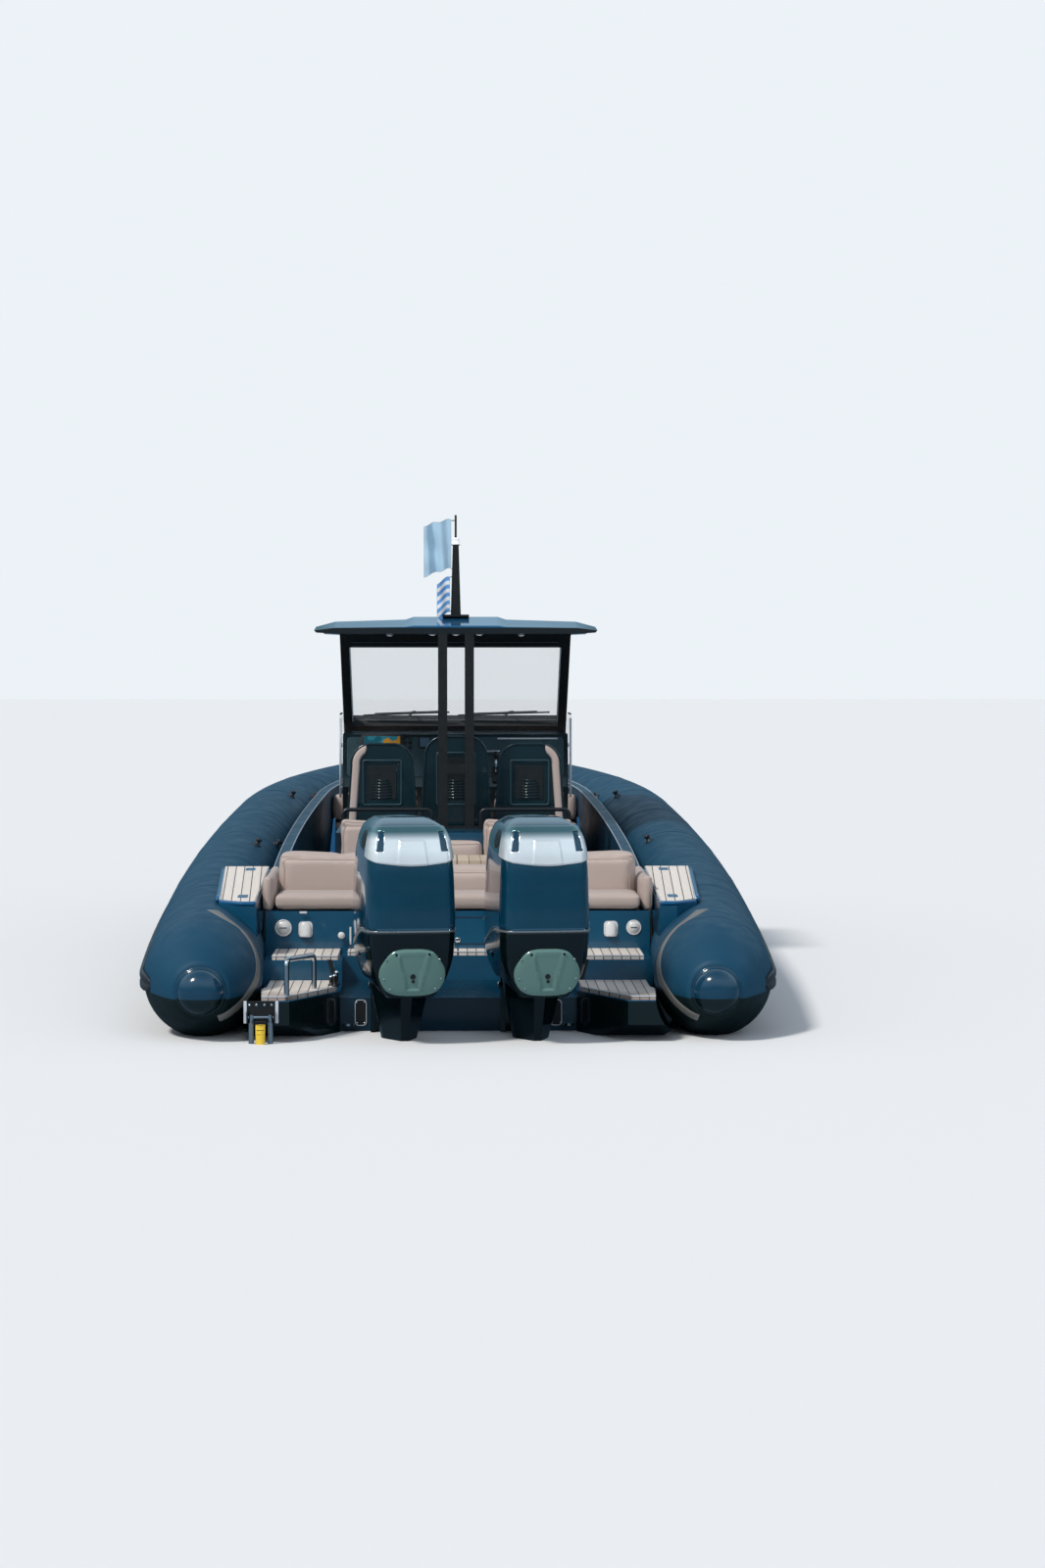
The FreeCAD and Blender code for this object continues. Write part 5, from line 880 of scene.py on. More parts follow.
def upper_cowl():
    """Navy cowl from its seam to the crown, closed by rings that shrink to the middle of the top."""
    share = np.concatenate([[0, 0], np.linspace(0, 1, 34)[1:]])[:, None]
    points = cowl_surface((SEAM + 0.002) + share * (COWL_TOP - SEAM - 0.002))
    points[0, :, :2] = points[1, :, :2] * [0.975, 1] + [0, -0.004]
    points[0, :, 2] += 0.003
    middle, crown = np.array([0, -0.37, 0]), 0.009
    caps = []
    for shrink in (0.86, 0.66, 0.4, 0.18, 0.0):
        ring = points[-1] * [shrink, shrink, 0] + middle * (1 - shrink)
        ring[:, 2] = COWL_TOP + crown * (1 - shrink ** 2)
        caps.append(ring)
    return np.concatenate([middle_ring(points[0], 0)[None], points, np.array(caps)])


def lower_cowl():
    """Black lower cowl: from the seam down to its foot, lower at the rear, and closed below."""
    ring = cowl_half(np.full((1, HALF_COLS), 0.40))[0]
    foot = 0.335 - 0.085 * eased(0.56, 0.74, -ring[:, 1])
    share = np.concatenate([[0], np.linspace(0, 1, 26)])[:, None]
    points = cowl_surface((SEAM - 0.002) * (1 - share) + foot * share)
    points[0] = middle_ring(points[1], -0.02)
    return np.concatenate([points, middle_ring(points[-1], 0.02)[None]])[::-1]


for hand in SIDES:
    cowl = engine_mesh("upper_cowl", upper_cowl(), hand, engine_navy, replaces="cowl_upper")
    under = engine_mesh("lower_cowl", lower_cowl(), hand, engine_black, replaces="cowl_lower")
print("cowls", len(cowl.data.polygons), len(under.data.polygons))

# %% [markdown]
# ### Silver panel
# A metallic panel wraps the rear of the cowl from side to side. Its finish is pale silver below z = 1.095 m and
# dark teal above, a painted reflection. Its lower edge dips to a shallow vee at the middle, its upper edge runs
# just under the crown, and a raised field with slanting sides stands on it. It is pushed 5 mm off the navy cowl
# and its border rolls in, so it reads as a separate pressing. Near each end an air slot is a shallow dip whose
# faces are black with painted shade, a flat black patch of painted shade stands for an intake ahead of it, and a
# latch shows low on each side.

# %% A skin over the cowl
LEVELS = 240
TABLE_LEVELS = np.linspace(COWL_LOW, COWL_TOP, LEVELS)
COWL_TABLE = cowl_half(np.repeat(TABLE_LEVELS[:, None], HALF_COLS, axis=1))
REAR_COLS = PANEL + CORNER
FIELD = [(-0.088, 0.925), (0.088, 0.925), (0.070, 1.075), (-0.070, 1.075)]
AIR_SLOT = [(0.150, 1.012), (0.190, 1.012), (0.172, 1.118), (0.140, 1.118)]


def grid_normals(points):
    """Unit normals of a grid, from the differences along its rows and columns."""
    normal = np.cross(np.gradient(points, axis=1), np.gradient(points, axis=0))
    return normal / np.maximum(np.linalg.norm(normal, axis=-1, keepdims=True), 1e-9)


def cowl_skin(cols, level, stand=0.0):
    """Places on the cowl at signed columns and heights, pushed out by a stand-off.

    Columns count from the middle of the rear panel, negative to port. Places are mixed from the four nearest
    entries of a table of outlines.
    """
    cols, level = np.broadcast_arrays(cols, level)
    u = np.clip(np.abs(cols), 0, HALF_COLS - 1.001)
    v = np.clip((level - COWL_LOW) / (COWL_TOP - COWL_LOW) * (LEVELS - 1), 0, LEVELS - 1.001)
    u0, v0 = u.astype(int), v.astype(int)
    fu, fv = (u - u0)[..., None], (v - v0)[..., None]
    low = COWL_TABLE[v0, u0] * (1 - fu) + COWL_TABLE[v0, u0 + 1] * fu
    high = COWL_TABLE[v0 + 1, u0] * (1 - fu) + COWL_TABLE[v0 + 1, u0 + 1] * fu
    flat = low * (1 - fv) + high * fv
    side = np.where(cols < 0, -1.0, 1.0)
    points = np.stack([flat[..., 0] * side, flat[..., 1], level], axis=-1)
    return points + grid_normals(points) * np.asarray(stand)[..., None]


print("cowl table", COWL_TABLE.shape)


# %% Silver panel, seam strip, intakes and latches
def inside_of(x, z, outline, soft):
    """1 inside a polygon that is counted anticlockwise, easing to 0 over a soft border."""
    inside = np.full(np.broadcast(x, z).shape, 1e9)
    corners = np.asarray(outline, float)
    for a, b in zip(corners, np.roll(corners, -1, axis=0)):
        way = (b - a) / np.linalg.norm(b - a)
        inside = np.minimum(inside, way[0] * (z - a[1]) - way[1] * (x - a[0]))
    return eased(0, soft, inside)


def silver_panel():
    """Panel over the cowl's rear: a vee along its lower edge, a raised field and a rolled-in border."""
    u = np.linspace(-1, 1, 201)
    cols = u * (REAR_COLS + 2.5)
    v = np.linspace(0, 1, 61)[:, None]
    low = 0.936 + 0.046 * np.abs(u) ** 1.6
    high = 1.150 - 0.004 * np.abs(u) ** 2
    level = low + v * (high - low)
    base = cowl_skin(cols, level)
    border = np.minimum(eased(0, 0.05, v) * eased(0, 0.05, 1 - v), eased(0, 0.03, 1 - np.abs(u)))
    field = inside_of(base[..., 0], level, FIELD, 0.012)
    dip = inside_of(np.abs(base[..., 0]), level, AIR_SLOT, 0.006)
    stand = -0.004 + 0.010 * border + 0.006 * field * border - 0.010 * dip
    return cowl_skin(cols, level, stand), dip


def cowl_strip(name, hand, cols, level, half, stand, cover):
    """A thin strip that follows a line on the cowl: three rows, the middle one proud."""
    rows = np.array([-1.0, -0.6, 0.6, 1.0])[:, None] * half
    rise = np.array([-0.001, stand, stand, -0.001])[:, None]
    return engine_mesh(name, cowl_skin(cols, level + rows, rise + 0 * level), hand, cover, closed=False)


def cowl_spot(name, hand, middle, size, stand, cover):
    """A patch on the cowl inside a rounded outline: |u|^2.6 + |v|^2.6 = 1."""
    ring = np.array([0.0, 0.5, 0.85, 1.0])[:, None]
    turn = np.linspace(0, 2 * math.pi, 33)
    u, v = (np.sign(way) * np.abs(way) ** (2 / 2.6) for way in (np.cos(turn), np.sin(turn)))
    cols = middle[0] + ring * u * size[0]
    level = middle[1] + ring * v * size[1]
    rise = np.array([stand, stand, stand, -0.001])[:, None] * np.ones_like(cols)
    near = cowl_skin(middle[0] + np.array([[-0.5, 0.5]] * 2), middle[1] + np.array([[-0.01] * 2, [0.01] * 2]))
    points = (cowl_skin(cols, level) + grid_normals(near)[0, 0] * rise[..., None])[:, :-1]
    return engine_mesh(name, points[::-1], hand, cover)


seam_cols = np.linspace(-(HALF_COLS - 1.2), HALF_COLS - 1.2, 241)
seam_level = np.interp(np.abs(seam_cols), np.arange(HALF_COLS), SEAM)
for hand in SIDES:
    points, dip = silver_panel()
    panel = engine_mesh("silver_panel", points, hand, engine_silver, closed=False, replaces="cowl_cap")
    # Faces inside each air slot's dip are black with painted shade.
    panel.data.materials.append(opening_shade_black)
    slot_shade_faces = (dip[:-1, :-1] > 0.45).ravel()
    panel.data.polygons.foreach_set("material_index", slot_shade_faces.astype(np.int32))
    cowl_strip("seam_strip", hand, seam_cols, seam_level, 0.006, 0.003, seam_grey)
    for way in (-1, 1):
        # Each intake is a flat black patch: painted shade of its opening.
        cowl_spot("intake_%d" % way, hand, (way * (REAR_COLS + 6.5), 1.070), (3.2, 0.052), 0.002, opening_shade_black)
        cowl_spot("latch_%d" % way, hand, (way * (REAR_COLS + 9), 0.46), (1.6, 0.018), 0.005, engine_black)
print("silver panel", len(panel.data.polygons))

# %% [markdown]
# ### Oval cover
# A cast cover closes the rear of the lower cowl. Its outline is flat over the top, widest at mid height and
# narrower at its foot. Two ridges run down in a vee to a lip, with a drain hole and a smaller one between them,
# and six screws hold it.

# %% Oval cover
COVER_SIZE = (0.176, 0.124)
COVER_MIDDLE = 0.387
COVER_EDGE = [
    (0, 1), (0.34, 0.985), (0.62, 0.86), (0.84, 0.50), (0.98, 0.10), (0.96, -0.34), (0.80, -0.74), (0.56, -0.93),
    (0.28, -0.99), (0, -1),
]
cover_line = smooth_line(COVER_EDGE + [(-x, y) for x, y in COVER_EDGE[-2:0:-1]], 144, closed=True)


def cover_rear(x, z, rise):
    """Plane through the cover: it leans forward towards its foot and bows across."""
    return -0.838 + 0.150 * np.clip(0.511 - z, 0, None) - rise + 0.30 * x ** 2


def cover_shape():
    """Dome over the outline, with two ridges, a sunk middle and a lip."""
    share = np.array([*np.arange(0, 0.76, 0.08), 0.80, 0.87, 0.92, 0.96, 0.985, 1.0, 1.0])
    x = share[:, None] * cover_line[:, 0] * COVER_SIZE[0]
    z = COVER_MIDDLE + share[:, None] * cover_line[:, 1] * COVER_SIZE[1]
    dome = 0.020 * np.sqrt(np.clip(1 - share ** 4, 0, 1))[:, None]
    dome[-1] = -0.020
    ridge_at = 0.040 + 0.035 * eased(0.30, 0.47, z)
    within = eased(0.285, 0.305, z) * (1 - eased(0.46, 0.49, z))
    ridge = np.exp(-((np.abs(x) - ridge_at) / 0.008) ** 2) * within
    sunk = (1 - eased(ridge_at - 0.012, ridge_at, np.abs(x))) * within
    lip = np.exp(-((z - 0.288) / 0.007) ** 2) * (1 - eased(0.036, 0.05, np.abs(x)))
    rise = dome + 0.008 * ridge - 0.006 * sunk + 0.010 * lip
    return np.stack([x, cover_rear(x, z, rise), z], axis=-1)


HOLES = [
    # across, height, radius
    (0.0, 0.366, 0.0115), (0.002, 0.340, 0.007), (-0.088, 0.482, 0.006), (0.084, 0.482, 0.006),
]
SCREWS = [(-0.150, 0.352), (0.150, 0.352), (-0.118, 0.300), (0.118, 0.300), (-0.140, 0.455), (0.140, 0.455)]
SCREW = [(0, 0.004), (0.003, 0.004), (0.0055, 0.003), (0.006, -0.003)]
facing = np.array([math.sin(REST_STEER), -math.cos(REST_STEER), 0.0])
for name, side in SIDES:
    cover = engine_mesh("oval_cover", cover_shape(), (name, side), cover_grey, replaces="rear_cover")
    # Each hole is a small black cone of painted shade, not an opening.
    for count, (x, z, radius) in enumerate(HOLES):
        at = on_engine(np.array([x, cover_rear(x, z, 0.0165), z]), side)
        hole = [(0, 0.0006), (radius * 0.6, 0.0008), (radius, 0.003), (radius * 1.2, 0.002), (radius * 1.25, -0.004)]
        turned("cover_hole_%s_%d" % (name, count), hole, at, facing, opening_shade_black, "engine_" + name, sides=20)
    for count, (x, z) in enumerate(SCREWS):
        at = on_engine(np.array([x, cover_rear(x, z, 0.0125), z]), side)
        turned("cover_screw_%s_%d" % (name, count), SCREW, at, facing, stainless, "engine_" + name, sides=12)
print("cover", len(cover.data.polygons))

# %% [markdown]
# ## Cushions
# Each cushion starts from its solid, set in a little and remeshed into small even faces whose edges are rounded
# by a few rounds of smoothing. Blender's Cloth then blows it up from within: its faces swell, its sides pull in
# between the corners, and a cap keeps any point from moving further than foam would. Under it the cushion stays
# flat, because it rests on its box. Last, the welts are level cuts through the finished form, so they lie on it.


# %% Separate solids of a node
def coordinates(mesh, kind="co"):
    """Points of a mesh, or their normals, as rows of an array."""
    points = np.empty(len(mesh.vertices) * 3)
    mesh.vertices.foreach_get(kind, points)
    return points.reshape(-1, 3)


def set_coordinates(mesh, points):
    """Moves the points of a mesh."""
    mesh.vertices.foreach_set("co", np.ascontiguousarray(points).ravel())
    mesh.update()


def solids_of(node):
    """The merged mesh of each separate solid of a node, from port to starboard."""
    whole = bmesh.new()
    whole.from_mesh(solids[node].data)
    bmesh.ops.remove_doubles(whole, verts=whole.verts, dist=1e-5)
    whole.verts.ensure_lookup_table()
    group = {}
    for start in whole.verts:
        if start in group:
            continue
        group[start] = start.index
        stack = [start]
        while stack:
            for edge in stack.pop().link_edges:
                for other in edge.verts:
                    if other not in group:
                        group[other] = start.index
                        stack.append(other)
    found = []
    for number in sorted(set(group.values())):
        faces = [[v.co[:] for v in face.verts] for face in whole.faces if group[face.verts[0]] == number]
        corners = sorted({corner for face in faces for corner in face})
        index = {corner: i for i, corner in enumerate(corners)}
        mesh = bpy.data.meshes.new(node)
        mesh.from_pydata(corners, [], [[index[c] for c in face] for face in faces])
        mesh.update()
        found.append(mesh)
    whole.free()
    return sorted(found, key=lambda mesh: [round(x, 3) for x in coordinates(mesh).mean(axis=0)])


print("stern cushions", len(solids_of("stern_cushions")))


# %% Smooth a mesh
def evaluated(thing):
    """A mesh of its own with an object's modifiers worked in, which are then taken off."""
    graph = bpy.context.evaluated_depsgraph_get()
    mesh = bpy.data.meshes.new_from_object(thing.evaluated_get(graph))
    thing.modifiers.clear()
    thing.data = mesh
    return mesh


def edge_pairs(mesh):
    """Point numbers at both ends of each edge."""
    pairs = np.empty(len(mesh.edges) * 2, dtype=int)
    mesh.edges.foreach_get("vertices", pairs)
    return pairs.reshape(-1, 2)


def smoothed(points, pairs, rounds):
    """Moves each point half the way to the middle of its neighbours."""
    count = np.bincount(pairs.ravel(), minlength=len(points))[:, None]
    for _ in range(rounds):
        total = np.zeros_like(points)
        np.add.at(total, pairs[:, 0], points[pairs[:, 1]])
        np.add.at(total, pairs[:, 1], points[pairs[:, 0]])
        points = points + 0.5 * (total / count - points)
    return points


print("smoothing is ready")

# %% Swell a cushion with Cloth
CLOTH_FRAMES = 20
INSET = 0.008  # room left all round for the swelling
FLAT_FOOT = 3  # per cent of the points that are pressed flat under a cushion
CHANNEL_HALF, CHANNEL_DEPTH = 0.011, 0.009


def blown_up(thing, rest, pairs, cap):
    """Points after Cloth has swollen the object, none further than a cap from its place at rest."""
    cloth = thing.modifiers.new("Cloth", "CLOTH")
    cloth.settings.quality = 4
    cloth.settings.use_pressure = True
    cloth.settings.uniform_pressure_force = 4.0
    cloth.settings.effector_weights.gravity = 0.0
    cloth.collision_settings.use_collision = False
    cloth.point_cache.frame_start = 1
    cloth.point_cache.frame_end = CLOTH_FRAMES
    for step in range(1, CLOTH_FRAMES + 1):
        bpy.context.scene.frame_set(step)
    mesh = evaluated(thing)
    bpy.context.scene.frame_set(1)
    move = coordinates(mesh) - rest
    far = np.linalg.norm(move, axis=1, keepdims=True)
    return smoothed(rest + move * np.minimum(1, cap / np.maximum(far, 1e-9)), pairs, 1)


def cushion(name, start, node, voxel, cap=0.014, channels=()):
    """A swollen cushion from a solid: remeshed, rounded, blown up by Cloth, fitted back and grooved."""
    low, high = coordinates(start).min(axis=0), coordinates(start).max(axis=0)
    middle, span = (low + high) / 2, high - low
    set_coordinates(start, middle + (coordinates(start) - middle) * (span - 2 * INSET) / span)
    thing = placed(name, start)
    remesh = thing.modifiers.new("Remesh", "REMESH")
    remesh.mode = "VOXEL"
    remesh.voxel_size = voxel
    mesh = evaluated(thing)
    pairs = edge_pairs(mesh)
    swollen = smoothed(coordinates(mesh), pairs, 5)
    set_coordinates(mesh, swollen)
    swollen = blown_up(thing, swollen, pairs, cap)
    mesh = thing.data
    foot = np.array([swollen[:, 0].min(), swollen[:, 1].min(), np.percentile(swollen[:, 2], FLAT_FOOT)])
    points = low + (swollen - foot) / (swollen.max(axis=0) - foot) * span
    points[:, 2] = np.maximum(points[:, 2], low[2] + 0.0005)
    set_coordinates(mesh, points)
    finer = thing.modifiers.new("Subdivision", "SUBSURF")
    finer.levels = finer.render_levels = 1
    mesh = evaluated(thing)
    points, normals = coordinates(mesh), coordinates(mesh, "normal")
    for axis, place, side, sign in channels:
        near = np.exp(-((points[:, axis] - place) / CHANNEL_HALF) ** 2)
        facing = np.clip(normals[:, side] * sign * 1.6 - 0.35, 0, 1)
        points = points - normals * (CHANNEL_DEPTH * near * facing)[:, None]
    set_coordinates(mesh, points)
    mesh.materials.clear()
    mesh.materials.append(taupe_vinyl)
    mesh.polygons.foreach_set("use_smooth", np.ones(len(mesh.polygons), dtype=bool))
    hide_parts(node)
    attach(thing, "boat")
    return thing


print("cushions are ready to be made")


# %% Welts
def cut_loop(mesh, axis, place):
    """The longest closed line in which a plane across one axis cuts a mesh."""
    form = bmesh.new()
    form.from_mesh(mesh)
    across = np.eye(3)[axis]
    cut = bmesh.ops.bisect_plane(form, geom=form.verts[:] + form.edges[:] + form.faces[:],
                                 plane_co=(across * place).tolist(), plane_no=across.tolist())
    line = [item for item in cut["geom_cut"] if isinstance(item, bmesh.types.BMEdge)]
    reach = {}
    for edge in line:
        for vert in edge.verts:
            reach.setdefault(vert, []).append(edge)
    best = []
    left = set(line)
    while left:
        edge = min(left, key=lambda item: item.index)
        path = [edge.verts[0], edge.verts[1]]
        left.discard(edge)
        while True:
            ahead = [item for item in reach[path[-1]] if item in left]
            if not ahead:
                break
            left.discard(ahead[0])
            path.append(ahead[0].other_vert(path[-1]))
        if len(path) > len(best):
            best = path
    points = np.array([vert.co[:] for vert in best[:-1]])
    form.free()
    return points


def welt(name, thing, axis, place, spacing=0.016):
    """A sewn cord round a cushion where a plane cuts it, a little proud of the surface."""
    loop = cut_loop(thing.data, axis, place)
    around = float(np.linalg.norm(loop - np.roll(loop, 1, axis=0), axis=1).sum())
    line = smooth_line(loop, max(24, int(around / spacing)), closed=True)
    away = line - line.mean(axis=0)
    away[:, axis] = 0
    bar(name, line + 0.001 * unit_rows(away), 0.0034, seam_vinyl, sides=6, closed=True)


seam_vinyl = finish("seam_vinyl", (0.36, 0.295, 0.265), 0.5, mottle=0.05, patch=9.0)
print("welt finish", seam_vinyl.name)

# %% [markdown]
# ### Stern seat, sofa, helm seats and bow lounge
# The seats that face aft have a roll along their front edge, which a channel sets off, and their backrests have a
# border all round. A channel is a row: the axis it lies across, its place, and the side of the cushion it is on.


# %% Cushions of the boat
def seat_set(node, voxel, rows):
    """Swollen cushions for a node's solids, each with its name, settings and welts."""
    for mesh, (name, settings, welts) in zip(solids_of(node), rows, strict=True):
        thing = cushion(name, mesh, node, **{"voxel": voxel, **settings})
        for number, (axis, share) in enumerate(welts):
            points = coordinates(thing.data)
            low, high = points[:, axis].min(), points[:, axis].max()
            welt("%s_welt_%d" % (name, number), thing, axis, low + share * (high - low))
    return len(rows)


X, Y, Z = 0, 1, 2
BOLSTER = {"voxel": 0.013, "cap": 0.010}
STERN_BACK = {"cap": 0.016, "channels": ((Z, 0.865, Y, -1),)}
STERN_JOINTS = ((X, -0.31, Z, 1), (X, 0.31, Z, 1))
SOFA_BACK = {"channels": ((Z, 0.945, Y, -1),)}
PAD_BACK = {"channels": ((Z, 1.22, Y, 1), (Z, 1.33, Y, 1))}
HELM_SEATS = (("port", -0.485, 1.45), ("middle", 0.0, 1.50), ("starboard", 0.485, 1.45))  # middle, top
count = seat_set("stern_cushions", 0.017, [
    ("stern_bolster_port", BOLSTER, [(X, 0.12)]),
    ("stern_back_port", STERN_BACK, [(Y, 0.10), (Y, 0.9)]),
    ("stern_seat_aft", {"cap": 0.012, "channels": ((Y, 0.895, Z, 1), *STERN_JOINTS)}, [(Z, 0.16)]),
    ("stern_back_centre", {"channels": ((Z, 0.79, Y, -1),)}, [(Y, 0.10)]),
    ("stern_seat_ahead", {"cap": 0.012, "channels": STERN_JOINTS}, [(Z, 0.84)]),
    ("stern_back_starboard", STERN_BACK, [(Y, 0.10), (Y, 0.9)]),
    ("stern_bolster_starboard", BOLSTER, [(X, 0.88)]),
])
count += seat_set("sofa_cushions", 0.016, [
    ("sofa_back_port", SOFA_BACK, [(Y, 0.12)]),
    ("sofa_seat", {"cap": 0.012, "channels": ((Y, 3.125, Z, 1), (X, -0.165, Z, 1), (X, 0.165, Z, 1))}, [(Z, 0.8)]),
    ("sofa_back_centre", {"cap": 0.012}, [(Y, 0.12)]),
    ("sofa_back_starboard", SOFA_BACK, [(Y, 0.12)]),
])
helm_rows = []
for seat, middle, _ in HELM_SEATS:
    grooves = ((X, middle - 0.12, Z, 1), (X, middle + 0.12, Z, 1))
    helm_rows.append(("helm_pad_back_" + seat, PAD_BACK, [(Y, 0.86)]))
    helm_rows.append(("helm_pad_seat_" + seat, {"cap": 0.012, "channels": grooves}, [(Z, 0.84)]))
count += seat_set("helm_seat_pads", 0.017, helm_rows)
bow_set = [cushion("bow_cushion_%d" % number, mesh, "bow_cushions", 0.026)
           for number, mesh in enumerate(solids_of("bow_cushions"))]
for thing in bow_set:
    tall = coordinates(thing.data)[:, 2]
    if np.ptp(tall) < 0.13:
        welt(thing.name + "_welt", thing, Z, tall.min() + 0.83 * np.ptp(tall), spacing=0.03)
print("cushions", count + len(bow_set))

# %% [markdown]
# ## Flags
# Two small flags hang from the staff in a light breeze, so they fold and lean rather than fly. Each is a grid of
# cloth: folds run down from the hoist as sine waves that grow towards the fly, and the lower corner drops.


# %% Two flags of cloth
def flag_points(hoist_at, top, drop, fly, depth, waves, sag, columns=44, rows=56):
    """Grid of a hanging flag: x reaches to port, y carries the folds and z drops with the fly."""
    u, v = np.meshgrid(np.linspace(0, 1, columns), np.linspace(0, 1, rows), indexing="ij")
    fold = depth * np.sin(2 * math.pi * (waves * u + 0.16 * v)) * (0.25 + 0.75 * u)
    ripple = 0.3 * depth * np.sin(2 * math.pi * (1.6 * v + 0.7 * u)) * u
    x = hoist_at[0] - fly * (u - 0.05 * np.sin(math.pi * u) * v)
    y = hoist_at[1] + fold + ripple
    z = top - drop * v - sag * u ** 1.5 * (0.8 + 0.2 * v) + 0.006 * np.sin(2 * math.pi * waves * u)
    return np.stack([x, y, z], axis=-1)


def flag_cloth(name, bands):
    """Thin woven cloth with bands of colour down its height."""
    material, tree, shader = new_material(name, Roughness=0.8, Sheen_Weight=0.2)
    part = put(tree, "SeparateXYZ", {"Vector": put(tree, "UVMap", uv_map="cloth").outputs["UV"]})
    stops = [(number / len(bands), colour) for number, colour in enumerate(bands)]
    tree.links.new(colour_stops(tree, part.outputs["Y"], stops, "CONSTANT"), shader.inputs["Base Color"])
    bump = bumped(tree, cells(tree, object_place(tree), 900.0), 0.1, 0.0004)
    tree.links.new(bump, shader.inputs["Normal"])
    return material


def arc_length(line):
    """Length along a line of points."""
    return float(np.linalg.norm(np.diff(line, axis=0), axis=1).sum())


def flag(name, points, cover):
    """Cloth of a flag with a hem."""
    mesh = grid_mesh(name, points)
    layer = mesh.uv_layers.new(name="cloth")
    columns, rows = points.shape[:2]
    corner = np.empty(len(mesh.loops), dtype=int)
    mesh.loops.foreach_get("vertex_index", corner)
    uv = np.stack([corner // rows / (columns - 1), corner % rows / (rows - 1)], axis=1)
    layer.data.foreach_set("uv", uv.ravel())
    thing = ridden(name, mesh, cover, replaces="flags")
    rim = np.concatenate([points[:, 0], points[-1, 1:], points[-2::-1, -1], points[0, -2:0:-1]])
    hem = bar(name + "_hem", rim, 0.0011, cover_hem, sides=5, closed=True)


cover_hem = finish("flag_hem", (0.32, 0.40, 0.46), 0.8, mottle=0.05)
PALE_BLUE, WHITE, BLUE = (0.36, 0.54, 0.68), (0.72, 0.74, 0.76), (0.10, 0.30, 0.62)
pale_cloth = flag_cloth("flag_pale_blue", [PALE_BLUE] * 2)
band_cloth = flag_cloth("flag_bands", [BLUE, WHITE] * 4 + [BLUE])
flag("upper_flag", flag_points((-0.031, 4.640), 2.930, 0.325, 0.180, 0.024, 1.9, 0.055), pale_cloth)
flag("lower_flag", flag_points((-0.039, 4.640), 2.550, 0.235, 0.085, 0.020, 0.9, 0.060), band_cloth)
print("flags", pale_cloth.name, band_cloth.name)

# %% [markdown]
# ## Trims and fittings of the hull
# Light trims follow the edges of the moulded parts. Their lines are cut from the solids with a plane, or worked
# out from the collar's own line, so they stay on the edges they cover. The two light bars along the coaming's
# top are painted highlights on its edges.


# %% Finishes of fittings
trim_light = finish("trim_light", (0.50, 0.56, 0.62), 0.3, mottle=0.06, patch=8.0, coat=0.3)
white_plastic = finish("white_plastic", (0.70, 0.71, 0.72), 0.3, mottle=0.05, patch=12.0, coat=0.2)
panel_grey = finish("panel_grey", (0.020, 0.050, 0.062), 0.35, mottle=0.1, patch=6.0)
black_rubber = finish("black_rubber", (0.010, 0.010, 0.012), 0.6, mottle=0.15, patch=8.0)
strap_yellow = finish("strap_yellow", (0.72, 0.50, 0.04), 0.7, mottle=0.12, patch=12.0, grain=0.3, grain_size=0.002)
blue_gel = finish("fin_gelcoat", (0.006, 0.095, 0.24), 0.2, mottle=0.1, patch=3.0, coat=0.5)


def glowing(name, colour, strength):
    """A lens or screen that shines a little by itself."""
    colour = (*colour, 1)
    return new_material(name, Base_Color=colour, Roughness=0.12, Emission_Color=colour, Emission_Strength=strength)[0]


lens_white = glowing("lens_white", (0.85, 0.87, 0.90), 0.25)
print("fittings' finishes are ready")


# %% Trims along the teak and the coaming
def edge_trim(name, loop, radius, cover):
    """A thin bar round a closed line of corners, which keeps its corners crisp."""
    steps = []
    for start, end in zip(loop, np.roll(loop, -1, axis=0)):
        parts = max(2, int(np.linalg.norm(end - start) / 0.25))
        share = np.array([0.004, *np.linspace(0.03, 0.97, parts), 0.996])[:, None]
        steps.append(start + (end - start) * share)
    bar(name, np.concatenate(steps), radius, cover, sides=6, closed=True)


def corners_of(loop):
    """Corners of a closed line, without the points that lie on its straight runs."""
    before = unit_rows(loop - np.roll(loop, 1, axis=0))
    after = unit_rows(np.roll(loop, -1, axis=0) - loop)
    return loop[(before * after).sum(axis=1) < 0.9995]


PLATFORM_TRIM, STEP_TRIM, RIM_RISE = 0.2405, 0.3745, 0.012  # heights of the cuts; the last over a pad's foot
for number, mesh in enumerate(solids_of("stern_teak")):
    points = coordinates(mesh)
    if points[:, 2].max() < 0.3:
        edge_trim("platform_trim_%d" % number, corners_of(cut_loop(mesh, Z, PLATFORM_TRIM)), 0.0035, trim_light)
    elif points[:, 2].max() < 0.5:
        edge_trim("step_trim_%d" % number, corners_of(cut_loop(mesh, Z, STEP_TRIM)), 0.003, trim_light)
    elif abs(points[:, 0].mean()) > 1:
        rim = corners_of(cut_loop(mesh, Z, points[:, 2].min() + RIM_RISE))
        edge_trim("quarter_rim_%d" % number, rim, 0.013, blue_gel)

COAMING_TOP, COAMING_START = 0.300, 2.16  # height over the collar's plane, and the station where it starts
# Pale bars on the coaming's outer and inner edges: painted highlights where the edges catch the light.
for name, side in SIDES:
    for edge, inset, radius in (("outer", 0.3255, 0.003), ("inner", 0.392, 0.004)):
        line, heading = collar_line(np.linspace(1.75, 9.4, 90))
        flat = line - heading * inset
        path = from_collar_plane(side * flat[:, 0], flat[:, 1], COAMING_TOP) + [0, 0, 0.001]
        path = path[path[:, 1] > COAMING_START]
        bar("coaming_%s_trim_%s" % (edge, name), path, radius, trim_light, sides=6)
print("trims along the coaming end at", path[-1].round(2))

